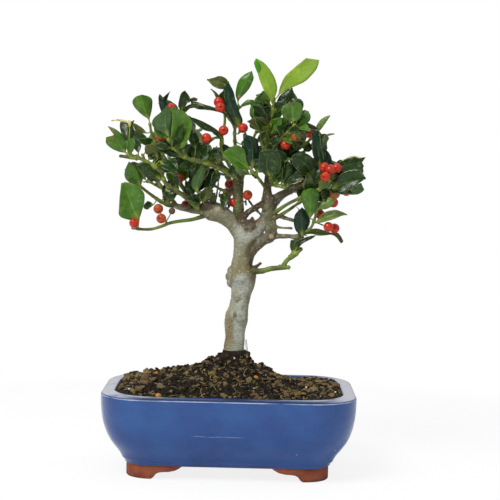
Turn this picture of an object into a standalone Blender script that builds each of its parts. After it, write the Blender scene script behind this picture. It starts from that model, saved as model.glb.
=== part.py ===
"""Holly bonsai in a glazed rounded-rectangular pot.

The pot, its drain screens, the soil, the woody trunk, each leafy spray and each bunch of
berries is one closed solid. Sizes are metres, +Z is up, and -Y is the front of the pot.
The tree was set out on one front view: a route point is given as it stands in that view,
across and down a sheet of 500 units a side, with its depth behind the trunk in millimetres.
"""
import math

import bmesh
import bpy
from mathutils import Matrix, Quaternion, Vector, noise
from mathutils.bvhtree import BVHTree

MM = 0.001
GAP = 0.3 * MM              # clearance between two pieces that touch

# The pot
RIM_WIDTH = 208 * MM
RIM_DEPTH = 150 * MM
RIM_HEIGHT = 68.8 * MM
CORNER_RADIUS = 38 * MM
FLOOR_UNDER = 10.5 * MM
FLOOR_TOP = 16.5 * MM
CORNER_STEPS = 5
DRAIN_RADIUS = 6.5 * MM
DRAIN_OFFSET = 42 * MM
FOOT_THICKNESS = 7 * MM
FOOT_SINK = 1.0 * MM
FOOT_STEPS = 4

# Height and inset from the rim's edge, in millimetres, up the outside and down the inside
POT_OUTSIDE = [(10.5, 21.0), (12.4, 19.8), (14.6, 18.2), (20.3, 15.0), (28.0, 8.9), (34.6, 5.2),
               (44.0, 2.1), (54.3, 0.5), (67.6, 0.0)]
POT_INSIDE = [(68.8, 1.2), (68.8, 10.4), (65.3, 10.8), (59.3, 7.4), (48.0, 8.0), (34.6, 12.2),
              (20.0, 22.0), (16.5, 25.6)]

# The drain screens
SCREEN_SIZE = 20 * MM
SCREEN_LINES = [0.0, 0.25, 0.46, 0.54, 0.75, 1.0]
SCREEN_THICKNESS = 0.9 * MM

# The soil
SOIL_RIM_HEIGHT = 66.7 * MM
SOIL_SIDE_POINTS = {"long": 4, "short": 2}
MOUND_RISE = 25 * MM
MOUND_LEFT = 88 * MM
MOUND_RIGHT = 36 * MM
MOUND_DEEP = 42 * MM
COLLAR_RISE = 14 * MM       # the steep heap close round the trunk
COLLAR_REACH = 11 * MM
SOIL_RINGS = 9
# Fertiliser pellets, pressed into the soil: X, Y and radius in millimetres
PELLETS = [(-61, -6, 1.8), (-56, -58.5, 2.7), (21.5, -24, 2.2), (-24, 44, 2.4)]

# The trunk's foot stands upright in its hole
FOOT_ACROSS = 2.8 * MM
FOOT_RADIUS = 8.6 * MM
FOOT_BOTTOM = 74.3 * MM
FOOT_TOP = 99.8 * MM

# The front view that the tree was set out on
VIEW_CENTRE = 250.0
VIEW_FOCAL = 1506.0
VIEW_DISTANCE = 1.250
VIEW_ACROSS = 14.4 * MM
VIEW_HEIGHT = 263.8 * MM
VIEW_PITCH = math.radians(3.70)
VIEW_ROLL = math.radians(1.35)

# A holly leaf's edge: how far along the blade, share of its half-width, and how far it is lifted
OVAL_BLADE = [(0.0, 0.10, 0.00), (0.38, 1.00, 0.26), (0.52, 0.82, 0.08), (0.72, 0.84, 0.26)]
BROAD_BLADE = [(0.0, 0.08, 0.00), (0.26, 0.64, 0.06), (0.54, 1.00, 0.18), (0.80, 0.90, 0.14),
               (0.93, 0.50, 0.06)]
BROAD_FROM = 0.56           # width over length from which a blade is a broad one
BLADE_THICKNESS = 1.2 * MM
PETIOLE_RADIUS = 0.75 * MM
BLADE_ARCH = 0.07
LEAF_CLEARANCE = 0.45 * MM
BERRY_RADIUS = 4.1 * MM
BERRY_ROOM = 0.7 * MM       # clear space round a berry
STALK_RADIUS = 0.7 * MM
HUB_RADIUS = 1.0 * MM
HUB_LENGTH = 1.8 * MM

# Woody routes: across, down, millimetres behind the trunk, radius in millimetres
TRUNK = [(234.8, 340, 0, 8.3), (235.2, 330, 0, 8.5), (236.5, 318.5, 0, 9.7), (238.8, 308, 0, 8.1),
         (240.8, 296, 0, 8.3), (242.6, 286, 0, 9.8), (241.8, 276.5, 0, 12.2), (241.2, 268, 0, 9.1),
         (243.2, 257, 0, 8.5), (244.6, 247, 0, 9.2), (246.6, 236, 0, 10.4), (247.4, 226, 0, 9.0),
         (247.2, 219.5, 0, 5.6)]
WOOD = {
    "left_limb": [(244, 250, 0, 6.6), (238.5, 238, -1, 7.2), (231, 227.5, -2, 6.2),
                  (221, 219.5, -3, 5.2), (211, 215.5, -4, 4.5), (201, 213, -4, 3.9),
                  (190, 210.5, -5, 3.1), (181, 208.5, -6, 2.6), (173, 206, -7, 2.1)],
    "centre_limb": [(241, 232, 2, 5.0), (238.5, 219, 2, 4.3), (238.5, 205, 2, 3.9),
                    (238.3, 190, 2, 3.9), (238, 180, 1, 4.7), (238, 173, 0, 4.0)],
    "cross_branch": [(240, 223, -2, 3.0), (248, 214.5, -3, 2.6), (258, 207.5, -3, 2.4),
                     (267, 202, -3, 2.4)],
    "brown_limb": [(251, 244, 2, 6.0), (257, 233, 3, 5.6), (262, 221, 4, 4.6), (267, 210, 3, 3.4),
                   (273, 199.5, 0, 3.0), (284, 193, -4, 3.1), (293, 189, -7, 2.8),
                   (301, 186, -9, 2.2)],
    "right_limb": [(246, 257, 0, 5.8), (256, 249.5, -3, 5.0), (264.5, 243, -5, 4.5),
                   (270.8, 236.5, -6, 4.7), (271.5, 226, -6, 3.4), (270.5, 214, -5, 3.0),
                   (268, 201, -4, 2.8), (268.3, 190, -4, 2.7), (268.5, 179, -4, 3.2),
                   (267.8, 167, -3, 2.2), (266.5, 155, -3, 1.9)],
    "right_low_branch": [(270, 236.5, -6, 2.6), (281, 235.8, -7, 1.8), (291, 236.3, -8, 1.8),
                         (297.5, 237.5, -9, 2.7), (304, 236.8, -10, 1.4)],
    "dead_stub": [(249, 275, 0, 2.4), (255, 269, -1, 2.0), (260.5, 263.5, -2, 1.4)],
    "fork_stub": [(252, 226, -1, 2.2), (251.7, 220, -3, 1.8), (251.5, 215.5, -4, 1.3)],
    "twig_high": [(270, 215, -6, 1.6), (281, 214.5, -7, 1.1), (292.5, 216, -8, 0.9)],
    "twig_low": [(270, 226, -6, 1.6), (281, 225, -7, 1.1), (293, 226.4, -8, 0.9)],
    "back_left": [(206, 214, -3, 3.2), (198, 204, 9, 2.6), (188, 194, 22, 2.2),
                  (180, 184, 34, 1.8)],
    "back_centre": [(238.5, 200, 3, 3.2), (233, 188, 16, 2.7), (227, 175, 28, 2.2),
                    (221, 163, 38, 1.8)],
    "back_right": [(270, 213, -4, 2.6), (277, 203, 11, 2.4), (288, 191, 24, 2.1),
                   (300, 179, 35, 1.7)],
}

# Sprays set out leaf by leaf. A twig's point is across, down, millimetres behind the trunk, and
# each further twig leaves the first. A leaf is its base across and down, its tip across and
# down, the tip's depth, the width in millimetres and how far it faces up, in degrees. A berry
# that hangs alone grows on the spray, and is its centre across, down and behind.
SPRAYS = {
    "spray_top": dict(
        radii=(1.6, 1.1),
        twigs=[[(266.5, 153, -3), (266.6, 144, -5), (270.5, 126, -7), (273, 110, -8)]],
        berries=[(274.5, 141, -14)],
        leaves=[(269.5, 121, 258, 95, 10, 10, 20), (267.3, 118, 253, 103.8, -17, 11.5, 20),
                (265, 129, 248.3, 122, -18, 8.5, 30), (261.4, 137, 249.6, 126, -8, 6, 50),
                (279, 113, 292.8, 89, -2, 12.5, 15), (275, 134, 281, 118, -19, 10, 10)]),
    "shoot_young": dict(
        radii=(1.1, 0.9), carrier="spray_top",
        twigs=[[(273.2, 109, -8), (273.8, 103, -8), (274, 100, -8)]],
        leaves=[(271.5, 98, 256.8, 58.7, -14, 12.5, 8), (277, 96, 318.9, 57.8, -20, 15, 8)]),
    "spray_top_right": dict(
        radii=(1.2, 0.9),
        twigs=[[(268.2, 164, -5), (273, 150, -12), (281, 139, -18), (290, 130, -22),
                (294, 126, -23)]],
        leaves=[(292.8, 121.5, 291.4, 101, -28, 14.5, 8), (297, 123, 308.4, 110.5, -20, 8.5, 25),
                (291, 131.5, 318, 127, -12, 8, 50)]),
    "spray_upper_right": dict(
        radii=(1.3, 0.9),
        twigs=[[(269, 174, -5), (280, 162, -10), (294, 152, -12), (306, 143.5, -12),
                (315, 134, -12)]],
        leaves=[(317, 130, 329.4, 115.6, -14, 5.5, 20), (308, 144, 296, 132, -22, 8.5, 30),
                (320, 146, 327.5, 134, -8, 7, 20), (302, 141, 303, 120, 4, 10, 30),
                (285, 156, 283, 135, 2, 11, 25), (292, 152, 306, 162, -4, 11, 30)],
        berries=[(308, 132.8, -22)]),
    "spray_right_mid": dict(
        radii=(1.4, 1.0),
        twigs=[[(303, 185.5, -10), (309, 182, -14), (318, 176, -18), (326, 170, -20)]],
        leaves=[(319, 170, 313.7, 130, -26, 9, 12), (329.4, 165.3, 324.8, 149.6, -21, 6.5, 25),
                (313, 175.7, 292, 156, -31, 14, 6), (307, 186, 296, 176, -24, 7, 40),
                (321, 180, 325, 199, -24, 8.5, 20)]),
    "spray_far_right": dict(
        radii=(1.5, 1.0),
        twigs=[[(272.5, 208, -7), (286, 203, -15), (299, 198, -21), (314, 192, -26),
                (327, 184.5, -29), (333, 178, -29)]],
        leaves=[(335, 169.2, 364.7, 158, -24, 10, 18), (332, 186, 365.3, 177, -40, 17, 15),
                (338, 188, 362, 187, -18, 9, 30)]),
    "spray_right_low": dict(
        radii=(1.4, 0.9),
        twigs=[[(274, 223, -8), (286, 213.5, -12), (299, 203, -13), (313, 196, -13),
                (324, 190, -12)]],
        leaves=[(322, 204, 335, 203, -12, 7, 35), (327, 186, 344, 176, 2, 11, 25),
                (303, 197, 290, 178, 4, 10, 25), (312, 196, 322, 180, 4, 11, 25)],
        berries=[(333.3, 202.6, -22)]),
    "spray_right_bottom": dict(
        radii=(1.2, 0.9),
        twigs=[[(298.5, 235.5, -11), (304, 232.5, -15), (311, 227.5, -20), (314.5, 219.5, -23),
                (316, 213, -24)]],
        leaves=[(309.7, 217.6, 306.8, 187.5, -33, 14.5, 5), (316.5, 209, 338.5, 196, -26, 8.5, 25),
                (318.5, 221, 346.8, 214, -27, 9.5, 30), (303, 233.5, 297.5, 206.5, -24, 12.5, 5),
                (309, 230.5, 341.5, 241.5, -15, 7, 45)],
        berries=[(319.6, 214, -18)]),
    "spray_low_right": dict(
        radii=(2.0, 1.4),
        twigs=[[(254, 273.5, -6), (262, 271, -8), (270, 268.8, -9), (281.5, 267, -10),
                (286.5, 261, -11), (291.5, 256, -12), (293.5, 252.5, -12)],
               [(279, 267.3, -10), (287.8, 267.4, -11)],
               [(289.5, 258, -12), (295, 254, -12), (300.2, 249.6, -13)]],
        leaves=[(292, 248.5, 292, 235, -13, 5.5, 30), (297, 249, 316.5, 236.5, -16, 7, 55)]),
    "spray_centre": dict(
        radii=(1.3, 1.0),
        twigs=[[(266.3, 190, -8), (262, 183, -11), (257, 176.5, -14), (252.5, 172, -16)]],
        leaves=[(249, 168.5, 223, 151.5, -27, 15, 8), (254.2, 166.6, 245.5, 134.5, -22, 12, 8),
                (250, 174.5, 232, 170, -8, 9, 45)]),
    "spray_centre_right": dict(
        radii=(1.4, 1.0),
        twigs=[[(270.5, 184.5, -8), (275, 185, -12), (280, 186, -15), (284, 187, -16)],
               [(273, 184.8, -10), (270.5, 178.5, -14), (269.5, 174, -16)]],
        leaves=[(269.2, 172, 279.5, 148, -28, 17, 8), (282.3, 182, 288, 161, -18, 7.5, 30),
                (288, 186, 304, 173, -23, 10, 25)]),
    "spray_top_centre": dict(
        radii=(1.5, 1.0),
        twigs=[[(238, 171, 0), (238.5, 155, -3), (239, 138, -5), (238.5, 120, -7),
                (238.2, 107, -8)],
               [(238.7, 127, -6), (233, 122, -6), (228, 117, -6)]],
        leaves=[(238.1, 101.2, 252.2, 71.8, -14, 10.5, 10), (240.5, 109, 254, 100, -10, 5.5, 40),
                (235.5, 122, 228, 81.5, -18, 9.5, 12), (226, 114.5, 193, 99.8, -4, 7, 45),
                (241, 141, 256, 133, 8, 9, 35), (234, 148, 222, 130, 6, 8, 35),
                (242, 158, 262, 150, 4, 11, 25)],
        berries=[(243, 128, -18)]),
    "spray_top_left": dict(
        radii=(1.3, 0.9),
        twigs=[[(234.5, 175, 0), (229, 165, -5), (222, 151, -8), (218, 135, -9), (217, 120, -8),
                (219, 106, -6), (223, 96, -6)]],
        leaves=[(223, 90, 208.5, 79.5, -8, 9, 35), (219, 101, 210.5, 89, -1, 5.5, 40),
                (222, 144, 188.5, 116.6, -19, 8.5, 28), (224, 160, 213, 146, 6, 10, 30)],
        berries=[(223.6, 130.4, -21), (206.3, 138, -24)]),
    "spray_upper_left": dict(
        radii=(2.1, 1.1),
        twigs=[[(234.3, 178, -4), (224, 170.5, -9), (213.7, 165.5, -13), (202, 161.5, -16),
                (190, 159, -19), (181, 154.5, -22), (174, 147, -24), (169, 140, -25)]],
        leaves=[(166.7, 133.9, 160.5, 105.8, -35, 14.5, 5), (183, 145.5, 175, 106.3, -28, 16.5, 5),
                (177, 141, 182.5, 123.5, -33, 6.5, 20), (192, 154, 203, 136, -8, 13, 20),
                (208, 159, 214, 145, -20, 7, 40), (178, 150.5, 157.3, 145.3, -14, 8, 45),
                (203, 165, 192, 180, -10, 11, 20), (216, 170, 222, 184, -12, 10, 25)]),
    "spray_left_top": dict(
        radii=(1.5, 0.9),
        twigs=[[(195, 208, -1), (185, 191, 6), (172, 170, 4), (160, 150, -2), (152, 134, -5),
                (150, 125, -6)],
               [(161, 151, -1), (163, 135, -3), (164, 120, -4)]],
        leaves=[(147.8, 118, 142.5, 95.3, -11, 16, 5), (163.3, 113, 160.5, 94, -9, 8, 20),
                (148, 134, 134.6, 123.5, -6, 7.5, 30), (156, 141, 138.5, 141, -14, 7, 45),
                (167, 122, 176, 107, 8, 11, 20), (178, 179, 187, 164, 4, 12, 20)],
        berries=[(171, 108, 6), (160.6, 137, -14), (179.5, 178, -4)]),
    "spray_left_tip": dict(
        radii=(2.0, 1.1),
        twigs=[[(198.5, 209.5, -8), (193.9, 204.6, -11), (181, 193.8, -15), (167, 184.5, -19),
                (160.3, 173, -21), (152.4, 165, -23), (141.5, 159.1, -25), (135.6, 157, -26),
                (128.5, 154, -26)],
               [(137, 157.5, -26), (129, 157, -25), (121.7, 156.2, -24)]],
        leaves=[(125.7, 152.2, 107.6, 130, -31, 15.5, 5), (131, 147, 127, 120, -18, 11, 10),
                (133.5, 152, 134.5, 137, -33, 6.5, 20), (140, 153, 140, 138, -16, 7, 25),
                (160, 161, 176.5, 171.5, -33, 11.5, 15), (155, 156, 145.4, 146, -31, 9.5, 15),
                (157.5, 175, 136, 165, -28, 11.5, 15), (166, 190, 173, 200, -22, 9, 25)]),
    "spray_left_low": dict(
        radii=(1.5, 1.0),
        twigs=[[(205, 218.5, -6), (193, 219.3, -9), (181, 221, -12), (170, 223, -15),
                (161, 226.5, -17), (152, 229, -18), (143, 229.3, -19), (134, 228.3, -19)]],
        leaves=[(137.5, 217.5, 130, 183, -27, 19, 2)],
        berries=[(134.2, 223, -25)]),
    "spray_left_mid": dict(
        radii=(1.5, 1.0),
        twigs=[[(171.5, 205.5, -7), (164.2, 203.5, -10), (152.4, 195.7, -14), (143, 188.5, -17),
                (140, 186, -18)]],
        leaves=[(139, 183, 129.6, 162.5, -23, 12.5, 5), (153.4, 204.6, 143.5, 207, -6, 7, 30),
                (164, 197, 173, 179, 0, 11, 20)]),
    "spray_inner_left": dict(
        radii=(1.4, 1.0),
        twigs=[[(213, 210, -4), (208, 204.5, -7), (203, 198, -10), (200, 193, -12)]],
        leaves=[(198.5, 190, 201.8, 166, -19, 11, 12), (196, 196, 187, 180, -8, 8.5, 25),
                (206.8, 193, 213.7, 170, -6, 11, 15), (204, 202, 215, 193, -15, 8, 40)]),
    "spray_inner_centre": dict(
        radii=(1.2, 0.9),
        twigs=[[(233.3, 196, 1), (227, 192, -1), (220, 189, -1), (215, 186, 0)]],
        leaves=[(219, 194, 227, 203, -8, 7.5, 40), (226, 188, 231, 173, -8, 8, 20),
                (214, 181, 205, 168, 6, 11, 20)],
        berries=[(231, 205, -9)]),
}

# Sprays whose leaves stand round the twig by rule: the leaves' count, length and width in
# millimetres, the way they lean, and the seed of their small differences
RULED_SPRAYS = {
    "spray_fill_left": dict(
        radii=(1.4, 0.9), count=6, size=(24, 12.5), lean=(-0.1, -0.2, 0.5), seed=21,
        twigs=[[(189, 208.5, -1), (191, 199, 9), (191, 187, 14), (191, 172, 18),
                (195, 160, 20)]]),
    "spray_fill_left_outer": dict(
        radii=(1.4, 0.9), count=6, size=(23, 12), lean=(-0.3, -0.2, 0.4), seed=22,
        twigs=[[(177, 206, -3), (168, 195, 5), (158, 182, 8), (149, 169, 10), (143, 156, 10)]]),
    "spray_fill_centre": dict(
        radii=(1.4, 0.9), count=6, size=(23, 12), lean=(0.2, -0.2, 0.4), seed=23,
        twigs=[[(240, 184, 5), (245, 171, 10), (250, 157, 16), (252, 143, 18)]]),
    "spray_fill_right": dict(
        radii=(1.4, 0.9), count=6, size=(23, 12), lean=(0.1, -0.2, 0.4), seed=24,
        twigs=[[(290, 188, -2), (294, 177, 4), (299, 165, 10), (304, 152, 14)]]),
    "spray_fill_right_outer": dict(
        radii=(1.3, 0.9), count=5, size=(22, 11.5), lean=(0.4, -0.1, 0.2), seed=25,
        twigs=[[(300, 183.5, -5), (312, 179, 0), (324, 173, 4), (335, 167, 6)]]),
    "spray_fill_top": dict(
        radii=(1.3, 0.9), count=6, size=(21, 11), lean=(0.0, 0.0, 0.4), seed=26,
        twigs=[[(266, 157, 0), (262, 145, 6), (261, 130, 8), (263, 116, 8)]]),
    "spray_back_left": dict(
        radii=(1.4, 0.9), count=5, size=(25, 13), lean=(-0.2, 0.9, 0.35), seed=11,
        twigs=[[(179, 182.5, 35), (172, 170, 39), (164, 157, 43), (158, 148, 44)]]),
    "spray_back_left_low": dict(
        radii=(1.3, 0.9), count=4, size=(24, 12), lean=(-0.4, 0.8, 0.3), seed=12,
        twigs=[[(187, 195, 24), (175, 193, 29), (161, 188, 34), (150, 182, 37)]]),
    "spray_back_centre": dict(
        radii=(1.4, 0.9), count=5, size=(25, 13), lean=(-0.1, 0.9, 0.3), seed=13,
        twigs=[[(220, 161, 40), (212, 153, 44), (203, 147, 47), (195, 142, 49)]]),
    "spray_back_top": dict(
        radii=(1.5, 0.9), count=6, size=(24, 12), lean=(0.1, 0.9, 0.4), seed=14,
        twigs=[[(227.5, 172.5, 29), (240, 160, 34), (250, 146, 38), (256, 132, 39)]]),
    "spray_back_right": dict(
        radii=(1.4, 0.9), count=5, size=(25, 13), lean=(0.3, 0.9, 0.3), seed=15,
        twigs=[[(301, 177.5, 36), (310, 169, 41), (318, 163, 44), (325, 158, 46)]]),
    "spray_back_right_low": dict(
        radii=(1.3, 0.9), count=4, size=(24, 12), lean=(0.4, 0.8, 0.2), seed=16,
        twigs=[[(290, 192, 25), (303, 191, 31), (318, 189, 35), (331, 186, 38)]]),
    "spray_back_upper_right": dict(
        radii=(1.4, 0.9), count=5, size=(24, 12), lean=(0.2, 0.8, 0.4), seed=17,
        twigs=[[(268.5, 163, 0), (274, 150, 12), (282, 138, 22), (289, 128, 28)]]),
    "spray_back_upper_left": dict(
        radii=(1.4, 0.9), count=5, size=(24, 12), lean=(-0.2, 0.7, 0.4), seed=18,
        twigs=[[(235, 177, 4), (222, 165, 10), (206, 152, 16), (194, 138, 20),
                (186, 124, 20)]]),
}

# Berry bunches: each berry's centre across, down and millimetres behind the trunk
BUNCHES = {
    "berries_top_left": [(218.6, 102, -14), (221.3, 110, -20)],
    "berries_left_low": [(158.3, 208.8, -19), (161.3, 218.6, -26), (172, 211, -20)],
    "berries_left_limb": [(186, 205, 4), (194.5, 199, 0)],
    "berries_inner": [(229.5, 184.4, 8), (227.4, 192.5, 12)],
    "berries_centre_right": [(247.6, 195, -8), (246, 203, 2)],
    "berries_upper_right": [(285.5, 145, -22), (296.3, 136.5, -29)],
    "berries_right_cluster": [(324.4, 167.5, -31), (330.2, 169.6, -40), (336.6, 168.2, -32),
                              (325.2, 177, -40)],
    "berries_far_right": [(346.5, 191, -30), (335, 194, -24)],
    "berries_right_bottom": [(328.4, 227, -26), (334.6, 228.4, -20)],
}

SHARP_ANGLE = math.radians(40)


def remove_everything():
    """Empties the scene that the script starts in."""
    for item in list(bpy.data.objects):
        bpy.data.objects.remove(item, do_unlink=True)


def make_material(name, colour, roughness, metallic=0.0):
    material = bpy.data.materials.new(name)
    material.use_nodes = True
    shader = material.node_tree.nodes["Principled BSDF"]
    shader.inputs["Base Color"].default_value = (*colour, 1.0)
    shader.inputs["Roughness"].default_value = roughness
    shader.inputs["Metallic"].default_value = metallic
    return material


def add_object(name, shape, material=None, smooth=False):
    """Turns a bmesh into an object, with its faces pointing out."""
    bmesh.ops.recalc_face_normals(shape, faces=shape.faces)
    mesh = bpy.data.meshes.new(name)
    shape.to_mesh(mesh)
    shape.free()
    if smooth:
        mesh.shade_smooth()
        mesh.set_sharp_from_angle(angle=SHARP_ANGLE)
    item = bpy.data.objects.new(name, mesh)
    bpy.context.scene.collection.objects.link(item)
    if material:
        mesh.materials.append(material)
    return item


def apply_boolean(item, others, operation):
    """Joins or cuts with a collection of closed solids, which are then removed."""
    group = bpy.data.collections.new(item.name + "_pieces")
    bpy.context.scene.collection.children.link(group)
    for other in others:
        bpy.context.scene.collection.objects.unlink(other)
        group.objects.link(other)
    modifier = item.modifiers.new("join", "BOOLEAN")
    modifier.operation = operation
    modifier.operand_type = "COLLECTION"
    modifier.collection = group
    for solver in ("EXACT", "MANIFOLD"):
        modifier.solver = solver
        graph = bpy.context.evaluated_depsgraph_get()
        joined = bpy.data.meshes.new_from_object(item.evaluated_get(graph))
        keep_largest_body(joined)
        if is_closed(joined):
            break
    item.modifiers.clear()
    old = item.data
    item.data = joined
    bpy.data.meshes.remove(old)
    for other in others:
        bpy.data.objects.remove(other, do_unlink=True)
    bpy.data.collections.remove(group)


def is_closed(mesh):
    """Whether every edge of a mesh lies between exactly two faces."""
    uses = {}
    for face in mesh.polygons:
        for key in face.edge_keys:
            uses[key] = uses.get(key, 0) + 1
    return all(count == 2 for count in uses.values())


def keep_largest_body(mesh):
    """Drops a loose scrap that a union may leave."""
    shape = bmesh.new()
    shape.from_mesh(mesh)
    bodies = []
    unseen = set(shape.verts)
    while unseen:
        stack = [unseen.pop()]
        body = set(stack)
        while stack:
            for edge in stack.pop().link_edges:
                for point in edge.verts:
                    if point in unseen:
                        unseen.discard(point)
                        body.add(point)
                        stack.append(point)
        bodies.append(body)
    bodies.sort(key=len, reverse=True)
    scraps = [point for body in bodies[1:] for point in body]
    bmesh.ops.delete(shape, geom=scraps, context="VERTS")
    shape.to_mesh(mesh)
    shape.free()


def loft(rings):
    """Joins equal rings of points, one after the other, and closes both ends."""
    shape = bmesh.new()
    rows = [[shape.verts.new(point) for point in ring] for ring in rings]
    count = len(rings[0])
    for low, high in zip(rows, rows[1:]):
        for k in range(count):
            following = (k + 1) % count
            shape.faces.new((low[k], low[following], high[following], high[k]))
    shape.faces.new(list(reversed(rows[0])))
    shape.faces.new(rows[-1])
    return shape


def in_view(across, down, behind):
    """The real place of a point of the front view that lies this far behind the trunk."""
    right = across - VIEW_CENTRE
    low = down - VIEW_CENTRE
    level_right = right * math.cos(VIEW_ROLL) + low * math.sin(VIEW_ROLL)
    level_low = low * math.cos(VIEW_ROLL) - right * math.sin(VIEW_ROLL)
    ray = Vector((level_right / VIEW_FOCAL,
                  math.cos(VIEW_PITCH) - level_low / VIEW_FOCAL * math.sin(VIEW_PITCH),
                  -math.sin(VIEW_PITCH) - level_low / VIEW_FOCAL * math.cos(VIEW_PITCH)))
    reach = (behind * MM + VIEW_DISTANCE) / ray.y
    return Vector((VIEW_ACROSS, -VIEW_DISTANCE, VIEW_HEIGHT)) + ray * reach


def rounded_outline(inset, height, shrink=0.0, on_long_side=0, on_short_side=0):
    """A rounded rectangle, inset from the rim's edge, as a ring of points at one height."""
    half_x = RIM_WIDTH / 2 - inset - shrink
    half_y = RIM_DEPTH / 2 - inset - shrink
    radius = max(CORNER_RADIUS - 0.8 * inset - shrink, 10 * MM)
    corners = [(1, 1, 0, on_long_side), (-1, 1, 90, on_short_side),
               (-1, -1, 180, on_long_side), (1, -1, 270, on_short_side)]
    ring = []
    for number, (sign_x, sign_y, start, after) in enumerate(corners):
        centre = Vector((sign_x * (half_x - radius), sign_y * (half_y - radius), height))
        for k in range(CORNER_STEPS + 1):
            angle = math.radians(start + 90 * k / CORNER_STEPS)
            ring.append(centre + Vector((math.cos(angle), math.sin(angle), 0)) * radius)
        next_x, next_y, next_start, _ = corners[(number + 1) % 4]
        angle = math.radians(next_start)
        following = Vector((next_x * (half_x - radius) + math.cos(angle) * radius,
                            next_y * (half_y - radius) + math.sin(angle) * radius, height))
        last = ring[-1].copy()
        for k in range(1, after + 1):
            ring.append(last.lerp(following, k / (after + 1)))
    return ring


def foot_solid(sign_x, sign_y):
    """One bracket foot: a wall round the corner whose lower edge rises in an ogee."""
    inset = POT_OUTSIDE[0][1] * MM
    half_x = RIM_WIDTH / 2 - inset
    half_y = RIM_DEPTH / 2 - inset
    radius = CORNER_RADIUS - 0.8 * inset
    centre = Vector((half_x - radius, half_y - radius, 0))
    rise_long = [(27, 11.6), (20, 7.0), (10, 5.6), (4.5, 4.3), (0, 0)]
    rise_short = [(0, 0), (4.5, 4.3), (10, 5.8), (16, 11.6)]
    stations = [(Vector((centre.x - reach * MM, half_y, 0)), Vector((0, -1, 0)), rise * MM)
                for reach, rise in rise_long]
    for k in range(1, FOOT_STEPS):
        angle = math.radians(90 - 90 * k / FOOT_STEPS)
        outward = Vector((math.cos(angle), math.sin(angle), 0))
        stations.append((centre + outward * radius, -outward, 0.0))
    stations += [(Vector((half_x, centre.y - reach * MM, 0)), Vector((-1, 0, 0)), rise * MM)
                 for reach, rise in rise_short]
    top = FLOOR_UNDER + FOOT_SINK * 2
    turned = Matrix.Diagonal((sign_x, sign_y, 1))
    rings = []
    for place, inward, rise in stations:
        outer = place + inward * 0.4 * MM
        inner = place + inward * FOOT_THICKNESS
        low = min(rise, FLOOR_UNDER + FOOT_SINK)
        ring = [Vector((outer.x, outer.y, top)), Vector((outer.x, outer.y, low)),
                Vector((inner.x, inner.y, low)), Vector((inner.x, inner.y, top))]
        rings.append([turned @ point for point in ring])
    return add_object("foot", loft(rings))


def build_pot(material):
    profile = POT_OUTSIDE + POT_INSIDE
    rings = [rounded_outline(inset * MM, height * MM) for height, inset in profile]
    pot = add_object("pot", loft(rings), material, smooth=True)
    feet = [foot_solid(sign_x, sign_y) for sign_x in (-1, 1) for sign_y in (-1, 1)]
    apply_boolean(pot, feet, "UNION")
    drills = []
    for side in (-1, 1):
        drill = bmesh.new()
        bmesh.ops.create_cone(drill, cap_ends=True, segments=16, radius1=DRAIN_RADIUS,
                              radius2=DRAIN_RADIUS, depth=20 * MM)
        bmesh.ops.translate(drill, verts=drill.verts,
                            vec=(side * DRAIN_OFFSET, 0, FLOOR_UNDER + 3 * MM))
        drills.append(add_object("drill", drill))
    apply_boolean(pot, drills, "DIFFERENCE")
    return pot


def build_screen(name, side, material):
    """A square of plastic mesh over a drain hole: a plate with square openings."""
    shape = bmesh.new()
    cells = len(SCREEN_LINES) - 1
    rows = [[shape.verts.new(((across - 0.5) * SCREEN_SIZE + side * DRAIN_OFFSET,
                              (down - 0.5) * SCREEN_SIZE, FLOOR_TOP + GAP))
             for across in SCREEN_LINES] for down in SCREEN_LINES]
    for row in range(cells):
        for column in range(cells):
            if row % 2 and column % 2:
                continue
            shape.faces.new((rows[row][column], rows[row][column + 1],
                             rows[row + 1][column + 1], rows[row + 1][column]))
    wall = bmesh.ops.extrude_face_region(shape, geom=list(shape.faces))
    lifted = [part for part in wall["geom"] if isinstance(part, bmesh.types.BMVert)]
    bmesh.ops.translate(shape, verts=lifted, vec=(0, 0, SCREEN_THICKNESS))
    return add_object(name, shape, material)


def soil_height(x, y, edge):
    """Height of the soil's surface, where edge is 0 at the rim and 1 well inside it."""
    along = x - FOOT_ACROSS
    spread = MOUND_LEFT if along < 0 else MOUND_RIGHT
    mound = MOUND_RISE * math.exp(-(along / spread) ** 2 - (y / MOUND_DEEP) ** 2)
    collar = COLLAR_RISE * math.exp(-(along * along + y * y) / COLLAR_REACH ** 2)
    settle = edge * edge * (3 - 2 * edge)
    coarse = noise.noise(Vector((x, y, 0.0)) * 70) * 4.0 * MM
    crumbs = noise.noise(Vector((x, y, 0.031)) * 260) * 2.6 * MM
    rough = (coarse + crumbs) * min(1.0, edge * 3)
    return SOIL_RIM_HEIGHT + (mound + collar) * settle + rough


def soil_outline(inset, height):
    return rounded_outline(inset * MM, height, GAP, SOIL_SIDE_POINTS["long"],
                           SOIL_SIDE_POINTS["short"])


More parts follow.
